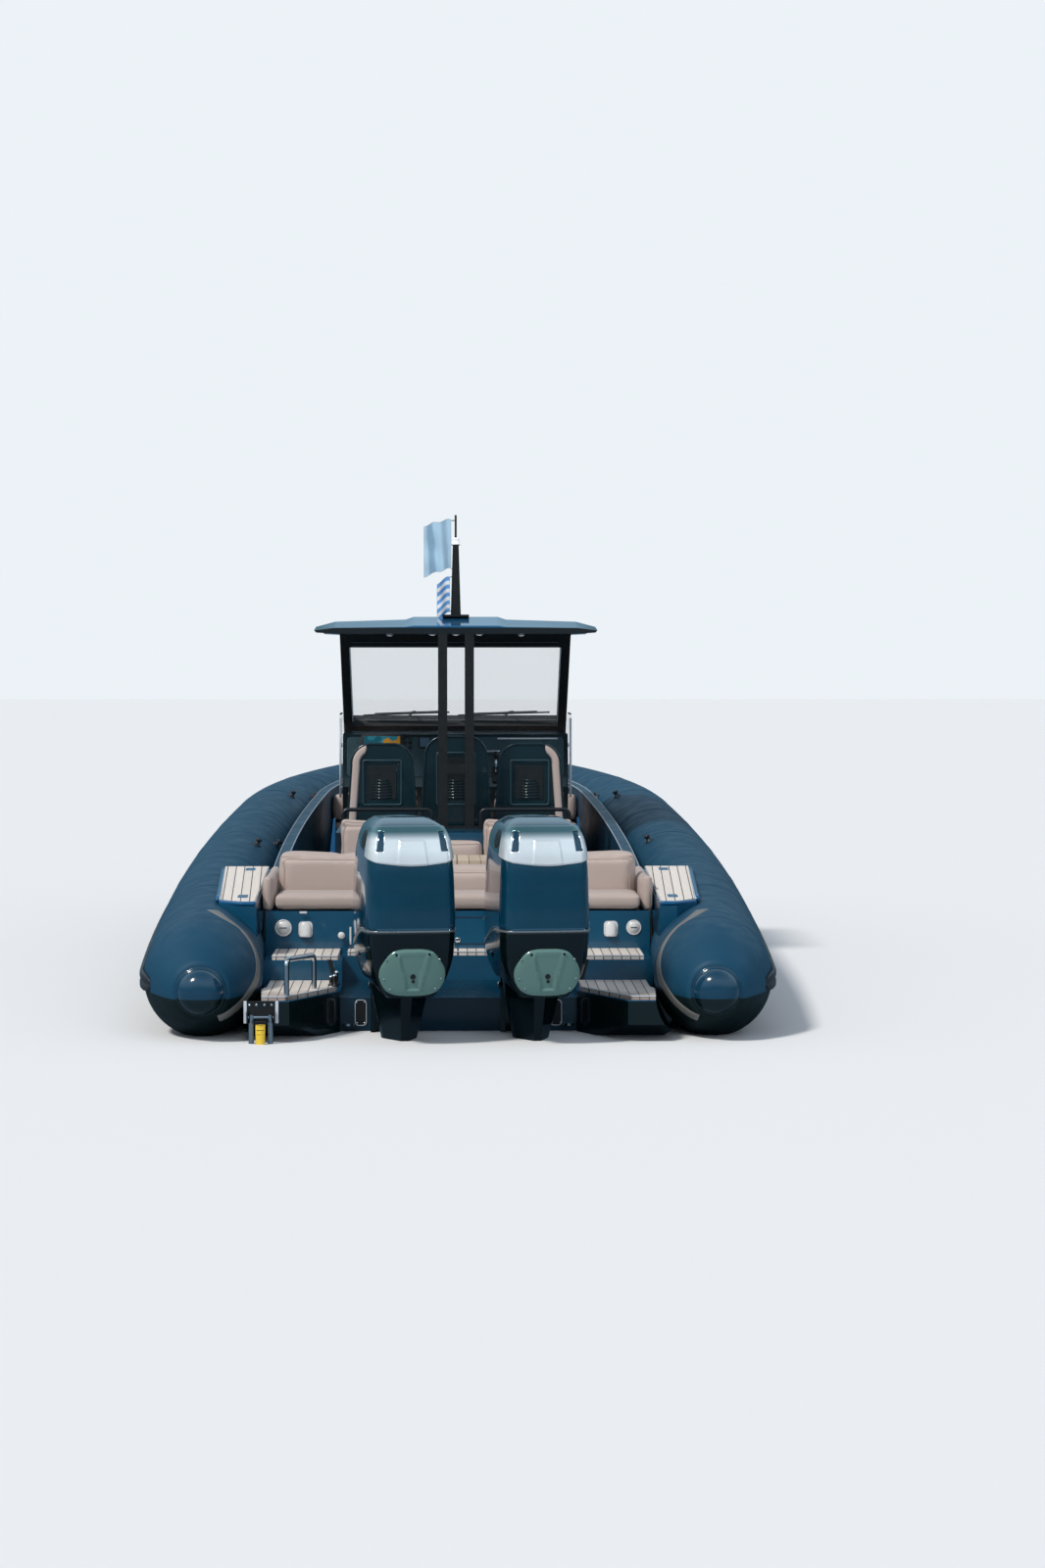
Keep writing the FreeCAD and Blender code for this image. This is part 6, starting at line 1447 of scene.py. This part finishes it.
# %% Trims, bands and cleat plates of the quarter pads
PAD_STATION, RISE, SPREAD = 1.2, math.tan(SHEER), math.tan(TOE)
for name, side in SIDES:
    mesh = [m for m in solids_of("stern_teak") if coordinates(m)[:, 2].max() > 0.5][0 if side < 0 else 1]
    loop = cut_loop(mesh, Y, PAD_STATION)
    inner, outer = np.sort(np.abs(loop[:, 0]))[[0, -1]]
    level = loop[:, 2].max()

    def along_pad(edge, spread, start, end, drop):
        """A line of points along the pad's length, set down from its top."""
        return [(side * (edge + spread * (y - PAD_STATION)), y, level + RISE * (y - PAD_STATION) - drop)
                for y in np.linspace(start, end, 12)]

    bar("pad_trim_outer_" + name, along_pad(outer + 0.004, SPREAD, 0.56, 2.11, 0.004), 0.0045, trim_light, sides=6)
    bar("pad_trim_inner_" + name, along_pad(inner - 0.004, 0, 0.43, 2.11, 0.004), 0.003, trim_light, sides=6)
    bar("pad_band_" + name, along_pad(outer + 0.017, SPREAD, 0.60, 2.10, 0.012), 0.014, blue_gel, sides=8)
    for number, (y, x) in enumerate(((0.66, 1.200), (1.95, 1.225))):
        place = (side * x, y, level + RISE * (y - PAD_STATION) + 0.0035)
        plate("pad_cleat_plate_%s_%d" % (name, number), round_corners(0.056, 0.110, 0.008), place, -0.007, blue_gel,
              up=(0, math.cos(SHEER), math.sin(SHEER)))
        for end in (-0.017, 0.017):
            turned("pad_cleat_screw_%s_%d_%d" % (name, number, end > 0),
                   [(0, 0), (0.0045, 0), (0.004, 0.002), (0, 0.0022)],
                   (place[0], y + end, place[2] + RISE * end + 0.0005), (0, -math.sin(SHEER), 1), stainless, sides=10)
print("pads", inner.round(3), outer.round(3), level.round(3))

# %% [markdown]
# ### Stern bench face
# The face under the aft seat carries a round deck plate, a clamshell vent and a small knob on the port side, and
# a vent with a smaller round plate to starboard. Each stands on the face at y = 0.87. A joint shows a hatch in the
# middle of the face, a black plate of painted shade stands for the recess in each riser of the steps, and three
# hose tails stand on the platform. A black bar down each side of the bench is the painted shade of a groove.


# %% Makers of plates and vents on the face
FACE = 0.87
ROUND_PLATE = np.array([(0, 0), (1, 0), (1, 0.10), (0.94, 0.16), (0.86, 0.17), (0.84, 0.13), (0.80, 0.13),
                        (0.78, 0.18), (0, 0.20)])


def on_face(name, size, x, z, thick, cover, round_edges=0.001, y=FACE):
    """A rounded plate that stands on the bench's face; its size is width, height and corner radius."""
    plate(name, round_corners(*size), (x, y, z), thick, cover, round_edges=round_edges)


def walled(thing, thickness, offset):
    """Gives a sheet a thickness, inwards for an offset of -1 and to both sides for 0."""
    thick = thing.modifiers.new("Wall", "SOLIDIFY")
    thick.thickness, thick.offset = thickness, offset


def clamshell(name, x, z, wide, tall):
    """A vent whose hood swells out from its plate and opens downwards, with a black plate of painted shade in its
    mouth.
    """
    u, v = np.meshgrid(np.linspace(-1, 1, 22), np.linspace(0, 1, 16), indexing="ij")
    round_top = np.sqrt(np.clip(1 - np.clip((v - 0.55) / 0.45, 0, 1) ** 2, 0, 1))
    across = x + 0.5 * wide * u * (0.25 + 0.75 * round_top) * (0.94 + 0.06 * (1 - v))
    swell = 0.030 * np.sqrt(np.clip(1 - u ** 2, 0, 1)) * np.clip(1.15 - v, 0, 1) ** 0.6
    outer = np.stack([across, FACE - 0.001 - swell, z + tall * (v - 0.5)], axis=-1)
    walled(ridden(name, tidy(grid_mesh(name, outer)), white_plastic), 0.002, -1)
    on_face(name + "_plate", (wide * 1.12, tall * 1.08, wide * 0.3), x, z, 0.002, white_plastic, round_edges=0.0006)
    # The dark plate under the hood is painted shade in the vent's mouth.
    on_face(name + "_dark", (wide * 0.8, tall * 0.3, 0.008), x, z - tall * 0.28, 0.001, opening_shade_black, round_edges=0,
            y=FACE - 0.0022)


def face_disc(name, x, z, radius):
    """A round plate with a lid, on the bench's face."""
    turned(name, ROUND_PLATE * radius, (x, FACE, z), AFT, white_plastic, sides=40)
    slot = [(x + end * radius * 0.42, FACE - radius * 0.19, z) for end in (-1, 1)]
    bar(name + "_slot", slot, 0.003, panel_grey, sides=8)


print("bench face at", FACE)

# %% Plates, vents and knob
face_disc("deck_plate_port", -0.984, 0.495, 0.048)
face_disc("deck_plate_starboard", 0.994, 0.495, 0.043)
clamshell("vent_port", -0.859, 0.487, 0.070, 0.083)
clamshell("vent_starboard", 0.864, 0.487, 0.070, 0.083)
KNOB_TURN = [(0, 0), (0.013, 0), (0.011, 0.006), (0.008, 0.010), (0.012, 0.016), (0.019, 0.024), (0.020, 0.030),
             (0.015, 0.038), (0, 0.040)]
turned("bench_knob", KNOB_TURN, (-0.656, FACE, 0.454), AFT, white_plastic, sides=24)
on_face("cushion_tab", (0.042, 0.012, 0.004), -0.871, 0.5835, 0.004, white_plastic, y=0.853)
print("knob of", len(KNOB_TURN), "points")

# %% Hose tails, grooves, recesses and hatch
for number, (x, y, tall) in enumerate(((-0.668, -0.02, 0.050), (-0.690, 0.05, 0.038), (-0.662, 0.10, 0.058))):
    turned("hose_tail_%d" % number, [(0, 0), (0.017, 0), (0.017, 0.006), (0.010, 0.012), (0.010, tall),
                                     (0.015, tall + 0.005), (0, tall + 0.006)], (x, y, 0.2425), UPRIGHT, black_paint,
           sides=18)
    turned("hose_tail_cap_%d" % number, [(0, 0), (0.012, 0), (0.012, 0.004), (0.007, 0.012), (0, 0.014)],
           (x, y, 0.2480 + tall), UPRIGHT, stainless, sides=16)
for name, side in SIDES:
    # The black bar down the bench's side is painted shade of a groove.
    groove = [(side * 1.088, 0.902, 0.600), (side * 1.090, 0.885, 0.500), (side * 1.108, 0.868, 0.365)]
    bar("bench_groove_shade_" + name, groove, 0.011, opening_shade_black, sides=8)
    slant = [(-0.030, 0.066), (-0.006, 0.066), (0.028, -0.066), (0.004, -0.066)]
    slant = [(-side * x, z) for x, z in (slant[::-1] if side < 0 else slant)]
    # A black plate of painted shade stands for the riser's recess.
    plate("riser_recess_shade_" + name, slant, (side * 0.690, 0.361, 0.292), 0.004, opening_shade_black, round_edges=0)
on_face("bench_edge_strip", (0.010, 0.10, 0.004), -0.606, 0.450, 0.003, white_plastic)
hatch = [(x, FACE - 0.0005, 0.478 + z) for x, z in round_corners(0.46, 0.150, 0.018)]
bar("bench_hatch_joint", hatch, 0.0022, opening_shade_black, sides=6, closed=True)
for x in (-0.16, 0.16):
    on_face("bench_hatch_hinge_%d" % (x > 0), (0.036, 0.016, 0.003), x, 0.545, 0.004, stainless)
turned("bench_hatch_latch", [(0, 0), (0.016, 0), (0.016, 0.003), (0.013, 0.005), (0, 0.0052)], (0, FACE, 0.425),
       AFT, stainless, sides=24)
print("hatch joint", len(hatch))

# %% [markdown]
# ### Transom and bottom
# On each side the transom carries a rounded service plate, a drain, a sounder and a trim tab. The hull's vee bottom
# has two spray rails a side and a keel strip, whose places are found with rays cast up from below.

# %% Plates, drains and tabs on the transom
SERVICE = 0.528
for name, side in SIDES:
    plate("service_plate_" + name, round_corners(0.062, 0.14, 0.020), (side * SERVICE, 0, 0.10), 0.006, black_paint)
    ring = [(side * SERVICE + x, -0.0055, 0.10 + z) for x, z in round_corners(0.060, 0.138, 0.019)]
    bar("service_rim_" + name, ring, 0.0022, trim_light, sides=8, closed=True)
    for number, (x, z) in enumerate(((-0.021, 0.055), (0.021, 0.055), (-0.021, -0.055), (0.021, -0.055))):
        turned("service_screw_%s_%d" % (name, number), [(0, 0), (0.005, 0), (0.004, 0.002), (0, 0.0024)],
               (side * SERVICE + x, -0.006, 0.10 + z), AFT, stainless, sides=10)
    turned("drain_" + name, [(0, 0), (0.020, 0), (0.020, 0.004), (0.012, 0.007), (0.006, 0.004), (0, 0.004)],
           (side * 0.10, 0, -0.06), AFT, stainless, sides=24)
    turned("sounder_" + name, [(0, 0), (0.018, 0), (0.016, 0.03), (0.010, 0.036), (0, 0.037)],
           (side * 0.14, 0, -0.25), AFT, black_rubber, sides=20)
    plate("trim_tab_" + name, [(0, 0), (0, -0.010), (-0.26, -0.022), (-0.26, -0.016)],
          (side * 0.80 - 0.13, -0.002, -0.100), 0.26, stainless, round_edges=0.001, across=FORWARD)
    bar("trim_strut_" + name, [(side * 0.80, -0.002, 0.01), (side * 0.80, -0.14, -0.108)], 0.012, black_paint)

# %% Spray rails, keel strip and bow eye
hull_mesh = solids["hull"].data
hull_tree = mathutils.bvhtree.BVHTree.FromPolygons([v.co[:] for v in hull_mesh.vertices],
                                                   [p.vertices[:] for p in hull_mesh.polygons])


def hull_from(start, heading):
    """Place where a ray from a start meets the hull."""
    return hull_tree.ray_cast(mathutils.Vector(start), mathutils.Vector(heading))[0]


for name, side in SIDES:
    for rail, (start, end, far) in enumerate(((0.38, 0.20, 8.6), (0.72, 0.42, 7.9))):
        hits = [hull_from((side * (start + (end - start) * share ** 3), 0.06 + far * share, -3), UPRIGHT)
                for share in np.linspace(0, 1, 44)]
        bar("spray_rail_%s_%d" % (name, rail), [(hit.x, hit.y, hit.z - 0.004) for hit in hits], 0.016, hull_gel,
            sides=6)
hits = [hull_from((0.0, y, -3), UPRIGHT) for y in np.linspace(0.05, 9.6, 60)]
bar("keel_strip", [(0.0, hit.y, hit.z + 0.002) for hit in hits], 0.013, black_rubber, sides=8)
nose = hull_from((0, 14, 0.42), AFT)
turn = np.linspace(0, 2 * math.pi, 24, endpoint=False)
ring = np.stack([np.zeros(24), nose.y + 0.020 + 0.030 * np.cos(turn), nose.z + 0.030 * np.sin(turn)], axis=1)
bar("bow_eye", ring, 0.007, stainless, closed=True)
print("bow eye at", [round(v, 2) for v in nose])

# %% [markdown]
# ## Helm
# The three helm seats stand with their backs to the camera. Each shell has a rolled rim, a framed recess with a
# louvred panel, and the outer seats show a strip of their upholstery along the outboard side. The outline is the
# one of the solid: straight leaning sides, an arc for each shoulder and a flat top.


# %% Outline of a seat's back
def circle_through(a, b, c, count):
    """Points along the arc from a to c through b."""
    a, b, c = (np.array(point) for point in (a, b, c))
    middle = np.linalg.solve([b - a, c - b], [(b @ b - a @ a) / 2, (c @ c - b @ b) / 2])
    start, end = (math.atan2(y, x) for x, y in (a - middle, c - middle))
    return middle + np.linalg.norm(a - middle) * heading_of(np.linspace(start, end, count))


SEAT_HALF, BACK_FOOT = 0.2325, 0.905  # half a seat back's width, and the height of its foot


def seat_side(top):
    """Starboard half of a seat back's outline, from its foot up to the middle of its flat top."""
    narrow, drop, flat = SEAT_HALF * 0.88, SEAT_HALF * 0.62, SEAT_HALF * 0.34
    arc = circle_through((narrow, top - drop), (flat + (narrow - flat) * 0.72, top - drop * 0.29), (flat, top), 14)
    side = np.linspace((SEAT_HALF, BACK_FOOT), (narrow, top - drop), 9)[:-1]
    return np.concatenate([side, arc, [(0.0, top)]])


print("seat outlines are ready")

# %% Rims, recesses and side pads
BACK, PAD_PUFF = 4.33, 0.013  # station of the backs' rear faces, and how far a side pad swells
RECESS_LOW, RECESS_DROP = 1.055, 0.12  # foot of the recess, and how far its head lies under the seat's top
LOUVRE_LOW, LOUVRE_STEP = 1.092, 0.019
taupe_trim = finish("taupe_trim", TAUPE, 0.5, mottle=0.06, patch=6.0, grain=0.25, grain_size=0.0022)
recess_black = finish("recess_black", (0.010, 0.013, 0.015), 0.34, mottle=0.2, patch=4.0)
for name, middle, crown in HELM_SEATS:
    half = seat_side(crown)
    rim = np.concatenate([half, half[-2::-1] * [-1, 1]])
    line = [(middle + x * 0.985, BACK - 0.001, z - 0.004) for x, z in rim]
    bar("seat_rim_" + name, line, 0.0075, seat_shell_gel, sides=10)
    high = crown - RECESS_DROP
    tall, centre = high - RECESS_LOW, (RECESS_LOW + high) / 2
    ring = [(middle + x, BACK - 0.001, centre + z) for x, z in round_corners(0.250, tall + 0.016, 0.012, steps=4)]
    bar("seat_frame_" + name, ring, 0.0065, panel_grey, sides=8, closed=True)
    plate("seat_panel_" + name, round_corners(0.186, tall - 0.052, 0.016), (middle, BACK + 0.014, centre), 0.005,
          recess_black)
    for slat in range(7):
        z = LOUVRE_LOW + LOUVRE_STEP * slat
        wide = 0.062 if slat < 5 else 0.062 - 0.010 * (slat - 4)
        bar("seat_louvre_%s_%d" % (name, slat), [(middle + x, BACK + 0.0085, z) for x in (-wide, wide)], 0.0045,
            seat_shell_gel, sides=8)
    bar("seat_ledge_" + name, [(middle + x, BACK + 0.006, high - 0.004) for x in (-0.098, 0.098)], 0.004, panel_grey,
        sides=8)
_, seat_out, crown = HELM_SEATS[-1]
for name, side in SIDES:
    half = seat_side(crown)[:-3]
    way = unit_rows(np.gradient(half, axis=0))
    width = np.full(len(half), 0.060)
    width[-3:] = (0.058, 0.050, 0.030)
    inner = half + np.stack([-way[:, 1], way[:, 0]], axis=1) * width[:, None]
    rows = np.stack([inner, half - [0.0065, 0.004]], axis=1)
    strip = np.stack([side * (seat_out + rows[..., 0]), np.full(rows.shape[:2], BACK - 0.001), rows[..., 1]], axis=-1)
    puff = np.linspace(0, 1, 7)
    grid = strip[:, :1] + (strip[:, 1:] - strip[:, :1]) * puff[None, :, None]
    grid[..., 1] -= PAD_PUFF * np.sqrt(np.clip(1 - (2 * puff - 1) ** 4, 0, 1))
    under = grid[:, ::-1].copy()
    under[..., 1] = BACK + 0.001
    rings = np.concatenate([grid, under[:, 1:-1]], axis=1)
    piece = lofted("seat_side_pad_" + name, with_ends(rings), taupe_trim)
print("seat backs", len(HELM_SEATS))

# %% [markdown]
# ### Dash
# The dash leans: from y = 5.55 m at its lower edge to 5.68 m at its top, 0.36 m higher. A point on it is given by
# its distance across and its height. One screen shows a plain chart of made-up shapes and two are dark; switches
# in two columns stand between them, and the throttles and a grab handle lie to starboard.


# %% Panels and screens of the dash
DASH_TOP, DASH_FOOT = np.array([0, 5.68, 1.48]), np.array([0, 5.55, 1.12])
DASH_UP = unit_rows(DASH_TOP - DASH_FOOT)
DASH_OUT = np.array([0, -DASH_UP[2], DASH_UP[1]])


def on_dash(x, z, stand=0.003):
    """Place on the leaning dash at a distance across and a height, stood off towards the helm."""
    return [x, 0, 0] + DASH_TOP - DASH_UP * (DASH_TOP[2] - z) / DASH_UP[2] + DASH_OUT * stand


def chart_screen():
    """Plain chart: water in two blues and land in ochre."""
    material, tree, shader = new_material("chart_screen", Emission_Strength=0.12, Roughness=0.15)
    shapes = noise(tree, object_place(tree), 9.0, 1.5)
    chart = colour_stops(tree, shapes, [(0, (0.010, 0.075, 0.11)), (0.47, (0.020, 0.140, 0.19)),
                                        (0.54, (0.36, 0.18, 0.025))], "CONSTANT")
    for place in ("Base Color", "Emission Color"):
        tree.links.new(chart, shader.inputs[place])
    return material


screen_chart = chart_screen()
screen_dark = glowing("screen_dark", (0.03, 0.06, 0.09), 0.3)
GLASS_ON_CASE = 0.0165
DASH_PLATES = [
    # across, height, width, height of the plate, thickness, finish, corner radius, stand-off
    ("fascia", 0.0, 1.325, 1.50, 0.29, 0.004, panel_grey, 0.03, 0.0),
    ("plotter_case", -0.508, 1.395, 0.284, 0.168, 0.016, black_rubber, 0.008, 0.003),
    ("plotter_screen", -0.508, 1.397, 0.250, 0.138, 0.002, screen_chart, 0.004, 0.0185),
    ("small_display_case", -0.212, 1.42, 0.085, 0.085, 0.014, black_rubber, 0.008, 0.003),
    ("small_display_screen", -0.212, 1.42, 0.066, 0.066, 0.002, screen_dark, 0.004, GLASS_ON_CASE),
    ("centre_display_case", 0.0, 1.418, 0.120, 0.085, 0.014, black_rubber, 0.008, 0.003),
    ("centre_display_screen", 0.0, 1.418, 0.100, 0.066, 0.002, screen_dark, 0.004, GLASS_ON_CASE),
    ("glovebox_lid", 0.50, 1.375, 0.40, 0.135, 0.010, panel_grey, 0.014, 0.003),
    ("glovebox_rim", 0.50, 1.447, 0.42, 0.010, 0.012, trim_light, 0.004, 0.003),
]
for name, x, z, wide, tall, thick, cover, radius, stand in DASH_PLATES:
    plate(name, round_corners(wide, tall, radius), on_dash(x, z, stand), thick, cover, up=DASH_UP)
print("plates on the dash", len(DASH_PLATES))

# %% Switches, gauges, handle and throttles
for row in range(5):
    for column in range(2):
        turned("switch_%d_%d" % (row, column), [(0, 0), (0.013, 0), (0.013, 0.006), (0.010, 0.009), (0, 0.010)],
               on_dash(-0.352 + 0.036 * column, 1.455 - 0.034 * row), DASH_OUT, black_rubber, sides=16)
for number, x in enumerate((-0.10, 0.13)):
    turned("gauge_%d" % number, [(0, 0), (0.034, 0), (0.034, 0.010), (0.029, 0.012), (0.028, 0.006), (0, 0.006)],
           on_dash(x, 1.33), DASH_OUT, stainless, sides=32)
GRAB_LEVEL = 1.345
GRAB = ((0.208, 0.003), (0.208, 0.045), (0.222, 0.058), (0.289, 0.058), (0.303, 0.045), (0.303, 0.003))
grab = [on_dash(x, GRAB_LEVEL, stand) for x, stand in GRAB]
bar("dash_grab_handle", smooth_line(grab, 40), 0.008, stainless)
for number, x in enumerate((GRAB[0][0], GRAB[-1][0])):
    turned("grab_foot_%d" % number, [(0, 0), (0.017, 0), (0.015, 0.004), (0, 0.004)], on_dash(x, GRAB_LEVEL),
           DASH_OUT, stainless, sides=20)
for name, x in (("port", 0.30), ("starboard", 0.36)):
    foot = on_dash(x - 0.02, 1.20)
    plate("throttle_base_" + name, round_corners(0.052, 0.115, 0.012), foot, 0.022, black_paint, up=DASH_UP)
    grip = foot + DASH_OUT * 0.022
    bar("throttle_arm_" + name, [grip, grip + [0, -0.015, 0.05], grip + [0, -0.020, 0.115]], 0.008, stainless)
    turned("throttle_grip_" + name, [(0, 0), (0.013, 0.002), (0.016, 0.02), (0.014, 0.045), (0, 0.052)],
           grip + [0, -0.020, 0.105], (0, -0.05, 1), black_rubber, sides=20)
print("dash leans by", round(math.degrees(math.atan2(DASH_UP[1], DASH_UP[2])), 1), "degrees")

# %% [markdown]
# ### Windscreen
# The glass leans aft from its foot at y = 6.70 m, z = 1.49 m to its head at y = 5.70 m, z = 2.13 m. Two
# wipers lie along its lower edge on the outside, and pale beads run up the pillars.


# %% Wiper, beads and header
FOOT, HEAD = np.array([0, 6.70, 1.49]), np.array([0, 5.70, 2.13])
SCREEN_UP = unit_rows(HEAD - FOOT)
SCREEN_OUT = np.array([0, SCREEN_UP[2], -SCREEN_UP[1]])


def on_screen(x, share, stand):
    """Place on the windscreen's slope, stood off forwards from the frame's inner face."""
    return [x, 0, 0] + FOOT + (HEAD - FOOT) * share + SCREEN_OUT * stand


for name, side in SIDES:
    bar("pillar_bead_" + name, [on_screen(side * 0.733, share, -0.0015) for share in np.linspace(0.10, 0.925, 12)],
        0.0035, trim_light, sides=8)
    bar("pillar_seal_" + name, [on_screen(side * 0.7355, share, 0.041) for share in np.linspace(0.065, 0.91, 12)],
        0.005, black_rubber, sides=8)
for number, share in enumerate((0.945, 0.985)):
    bar("header_line_%d" % number, [on_screen(x, share, -0.003) for x in np.linspace(-0.72, 0.72, 14)], 0.004,
        panel_grey, sides=8)
OUTSIDE = 0.061  # stand-off of a wiper blade, which lies on the outer face of the glass
for number, (root, start, end) in enumerate(((-0.33, -0.66, -0.04), (0.36, 0.02, 0.68))):
    pivot = on_screen(root, 0.012, 0.095)
    turned("wiper_boss_%d" % number, [(0, -0.010), (0.020, -0.010), (0.018, 0.012), (0, 0.014)], pivot, SCREEN_OUT,
           black_paint, sides=20)
    blade = np.array([on_screen(start + (end - start) * share, 0.085 + 0.035 * share, OUTSIDE)
                      for share in np.linspace(0, 1, 16)])
    bar("wiper_blade_%d" % number, blade, 0.006, black_rubber, sides=6)
    bar("wiper_spine_%d" % number, blade[2:-2] + SCREEN_OUT * 0.012, 0.004, black_paint, sides=6)
    middle = blade[9] + SCREEN_OUT * 0.016
    bar("wiper_arm_%d" % number, smooth_line([pivot, pivot * 0.55 + middle * 0.45 + SCREEN_OUT * 0.02, middle], 14),
        0.007, black_paint, sides=8)
for name, side in SIDES:
    x = side * 0.785
    bar("wing_edge_" + name, [(x, 5.25, 1.06), (x, 5.25, 1.60)], 0.008, trim_light, sides=8)
    bar("wing_top_edge_" + name, [(x, 5.25, 1.628), (x, 5.66, 1.628)], 0.006, black_rubber, sides=8)
    for number, y in enumerate((5.9, 6.5)):
        for high, z in enumerate((1.10, 1.40)):
            turned("wing_button_%s_%d_%d" % (name, number, high), [(0, 0), (0.016, 0), (0.014, 0.006), (0, 0.007)],
                   (side * 0.790, y, z), (side, 0, 0), stainless, sides=20)
print("windscreen dressed")

# %% [markdown]
# ## Hard top, mast and module
# Small round lamps sit under the hard top, a white light stands round the staff's foot, and each side of the seat
# module has a blue wedge and a grille.


# %% Lamps, light and wedges
for number, (x, y) in enumerate(((-0.155, 4.42), (0.0, 4.42), (0.155, 4.42), (-0.45, 5.35), (0.45, 5.35))):
    turned("roof_lamp_%d" % number, [(0, 0), (0.026, 0), (0.024, 0.006), (0.019, 0.008), (0, 0.008)],
           (x, y, 2.1705), DOWN, stainless, sides=24)
    turned("roof_lens_%d" % number, [(0, 0), (0.017, 0), (0.013, 0.003), (0, 0.004)], (x, y, 2.1625), DOWN,
           lens_white, sides=20)
turned("mast_light", [(0.012, 0), (0.026, 0), (0.027, 0.010), (0.024, 0.012), (0.024, 0.036), (0.026, 0.038),
                      (0.022, 0.048), (0.012, 0.050), (0.012, 0)], (0.0, 4.654, 2.762), UPRIGHT, lens_white, sides=28)
turned("mast_light_base", [(0.010, 0), (0.030, 0), (0.030, 0.004), (0.010, 0.004), (0.010, 0)], (0, 4.654, 2.760),
       UPRIGHT, black_paint, sides=28)
for name, side in SIDES:
    wedge = [(0.0, -0.30), (0.050, -0.30), (0.046, -0.20), (0.012, 0.13), (0.0, 0.14)]
    if side < 0:
        wedge = [(-x, z) for x, z in reversed(wedge)]
    plate("module_wedge_" + name, wedge, (side * 0.768, 3.62, 0.86), 0.14, blue_gel, round_edges=0.006)
    # The grille's black backing is painted shade behind its slats.
    plate("module_grille_shade_" + name, round_corners(0.34, 0.10, 0.02), (side * 0.7705, 4.3, 0.52), 0.004 * side,
          opening_shade_black, round_edges=0.001, across=FORWARD)
    for slat in range(5):
        z = 0.488 + 0.016 * slat
        bar("module_slat_%s_%d" % (name, slat), [(side * 0.775, y, z) for y in (4.145, 4.455)], 0.004, panel_grey,
            sides=6)
print("module and hard top dressed")

# %% [markdown]
# ### Ladder bracket and strap
# The ladder's black bracket is bolted to the port platform between two pale bars. A yellow webbing strap, with which
# the ladder is pulled up, hangs from its top step.


# %% Bracket bars, bolts and strap
for number, x in enumerate((-1.120, -0.954)):
    plate("bracket_bar_%d" % number, round_corners(0.016, 0.118, 0.003), (x, -0.6005, 0.163), 0.010, trim_light,
          round_edges=0.001)
for number, x in enumerate((-1.095, -1.058, -1.016, -0.979)):
    turned("bracket_bolt_%d" % number, [(0, 0), (0.0075, 0), (0.007, 0.004), (0.003, 0.006), (0, 0.006)],
           (x, -0.6556, 0.205), AFT, stainless, sides=12)
STRAP_MIDDLE = -1.037
strap_line = smooth_line([(-0.669, 0.112), (-0.680, 0.080), (-0.683, 0.010), (-0.681, -0.040), (-0.677, -0.052)], 26)
half = (0.048 + 0.003 * np.sin(np.linspace(0, 7, 26))) / 2
left = np.stack([STRAP_MIDDLE - half, *strap_line.T], axis=1)
right = np.stack([STRAP_MIDDLE + half, *(strap_line - [0.002, 0]).T], axis=1)
webbing = np.stack([left, (left + right) / 2 - [0, 0.001, 0], right], axis=1)
walled(ridden("ladder_strap", grid_mesh("ladder_strap", webbing), strap_yellow, "ladder"), 0.0026, 0)
for number, z in enumerate((0.100, 0.075, 0.052)):
    bar("strap_stitch_%d" % number, [(-1.056, -0.6845, z), (-1.018, -0.6845, z)], 0.0012, black_rubber, "ladder",
        sides=5)
plate("strap_loop", round_corners(0.062, 0.018, 0.005), (STRAP_MIDDLE, -0.6660, 0.112), 0.010, black_paint, "ladder")
print("strap of", round(arc_length(strap_line), 3), "m")

# %% [markdown]
# ## Engine fittings
# Each engine hangs on a clamp with four through bolts, and a nut closes each end of its tilt tube.


# %% Clamp bolts and tilt nuts
def bolt(name, place, axis, radius):
    """A six-sided head on a washer."""
    turned(name + "_washer", [(0, 0), (radius * 1.35, 0), (radius * 1.35, radius * 0.12), (radius, radius * 0.2),
                              (0, radius * 0.2)], place, axis, stainless, sides=16)
    turned(name, [(0, 0), (radius, 0), (radius, radius * 0.75), (radius * 0.8, radius * 0.9), (0, radius * 0.9)],
           place, axis, stainless, sides=6)


for name, side in SIDES:
    x = side * ENGINE_SIDE
    for number, (dx, z) in enumerate(((-0.105, 0.20), (0.105, 0.20), (-0.105, 0.06), (0.105, 0.06))):
        bolt("clamp_bolt_%s_%d" % (name, number), (x + dx, 0.0462, z), FORWARD, 0.010)
    for number, end in enumerate((-1, 1)):
        turned("tilt_nut_%s_%d" % (name, number), [(0, 0), (0.020, 0), (0.020, 0.008), (0.012, 0.014), (0, 0.014)],
               (x + end * 0.1245, 0.0, 0.25), (end, 0, 0), stainless, sides=6)
print("engine fittings on", len(SIDES), "engines")
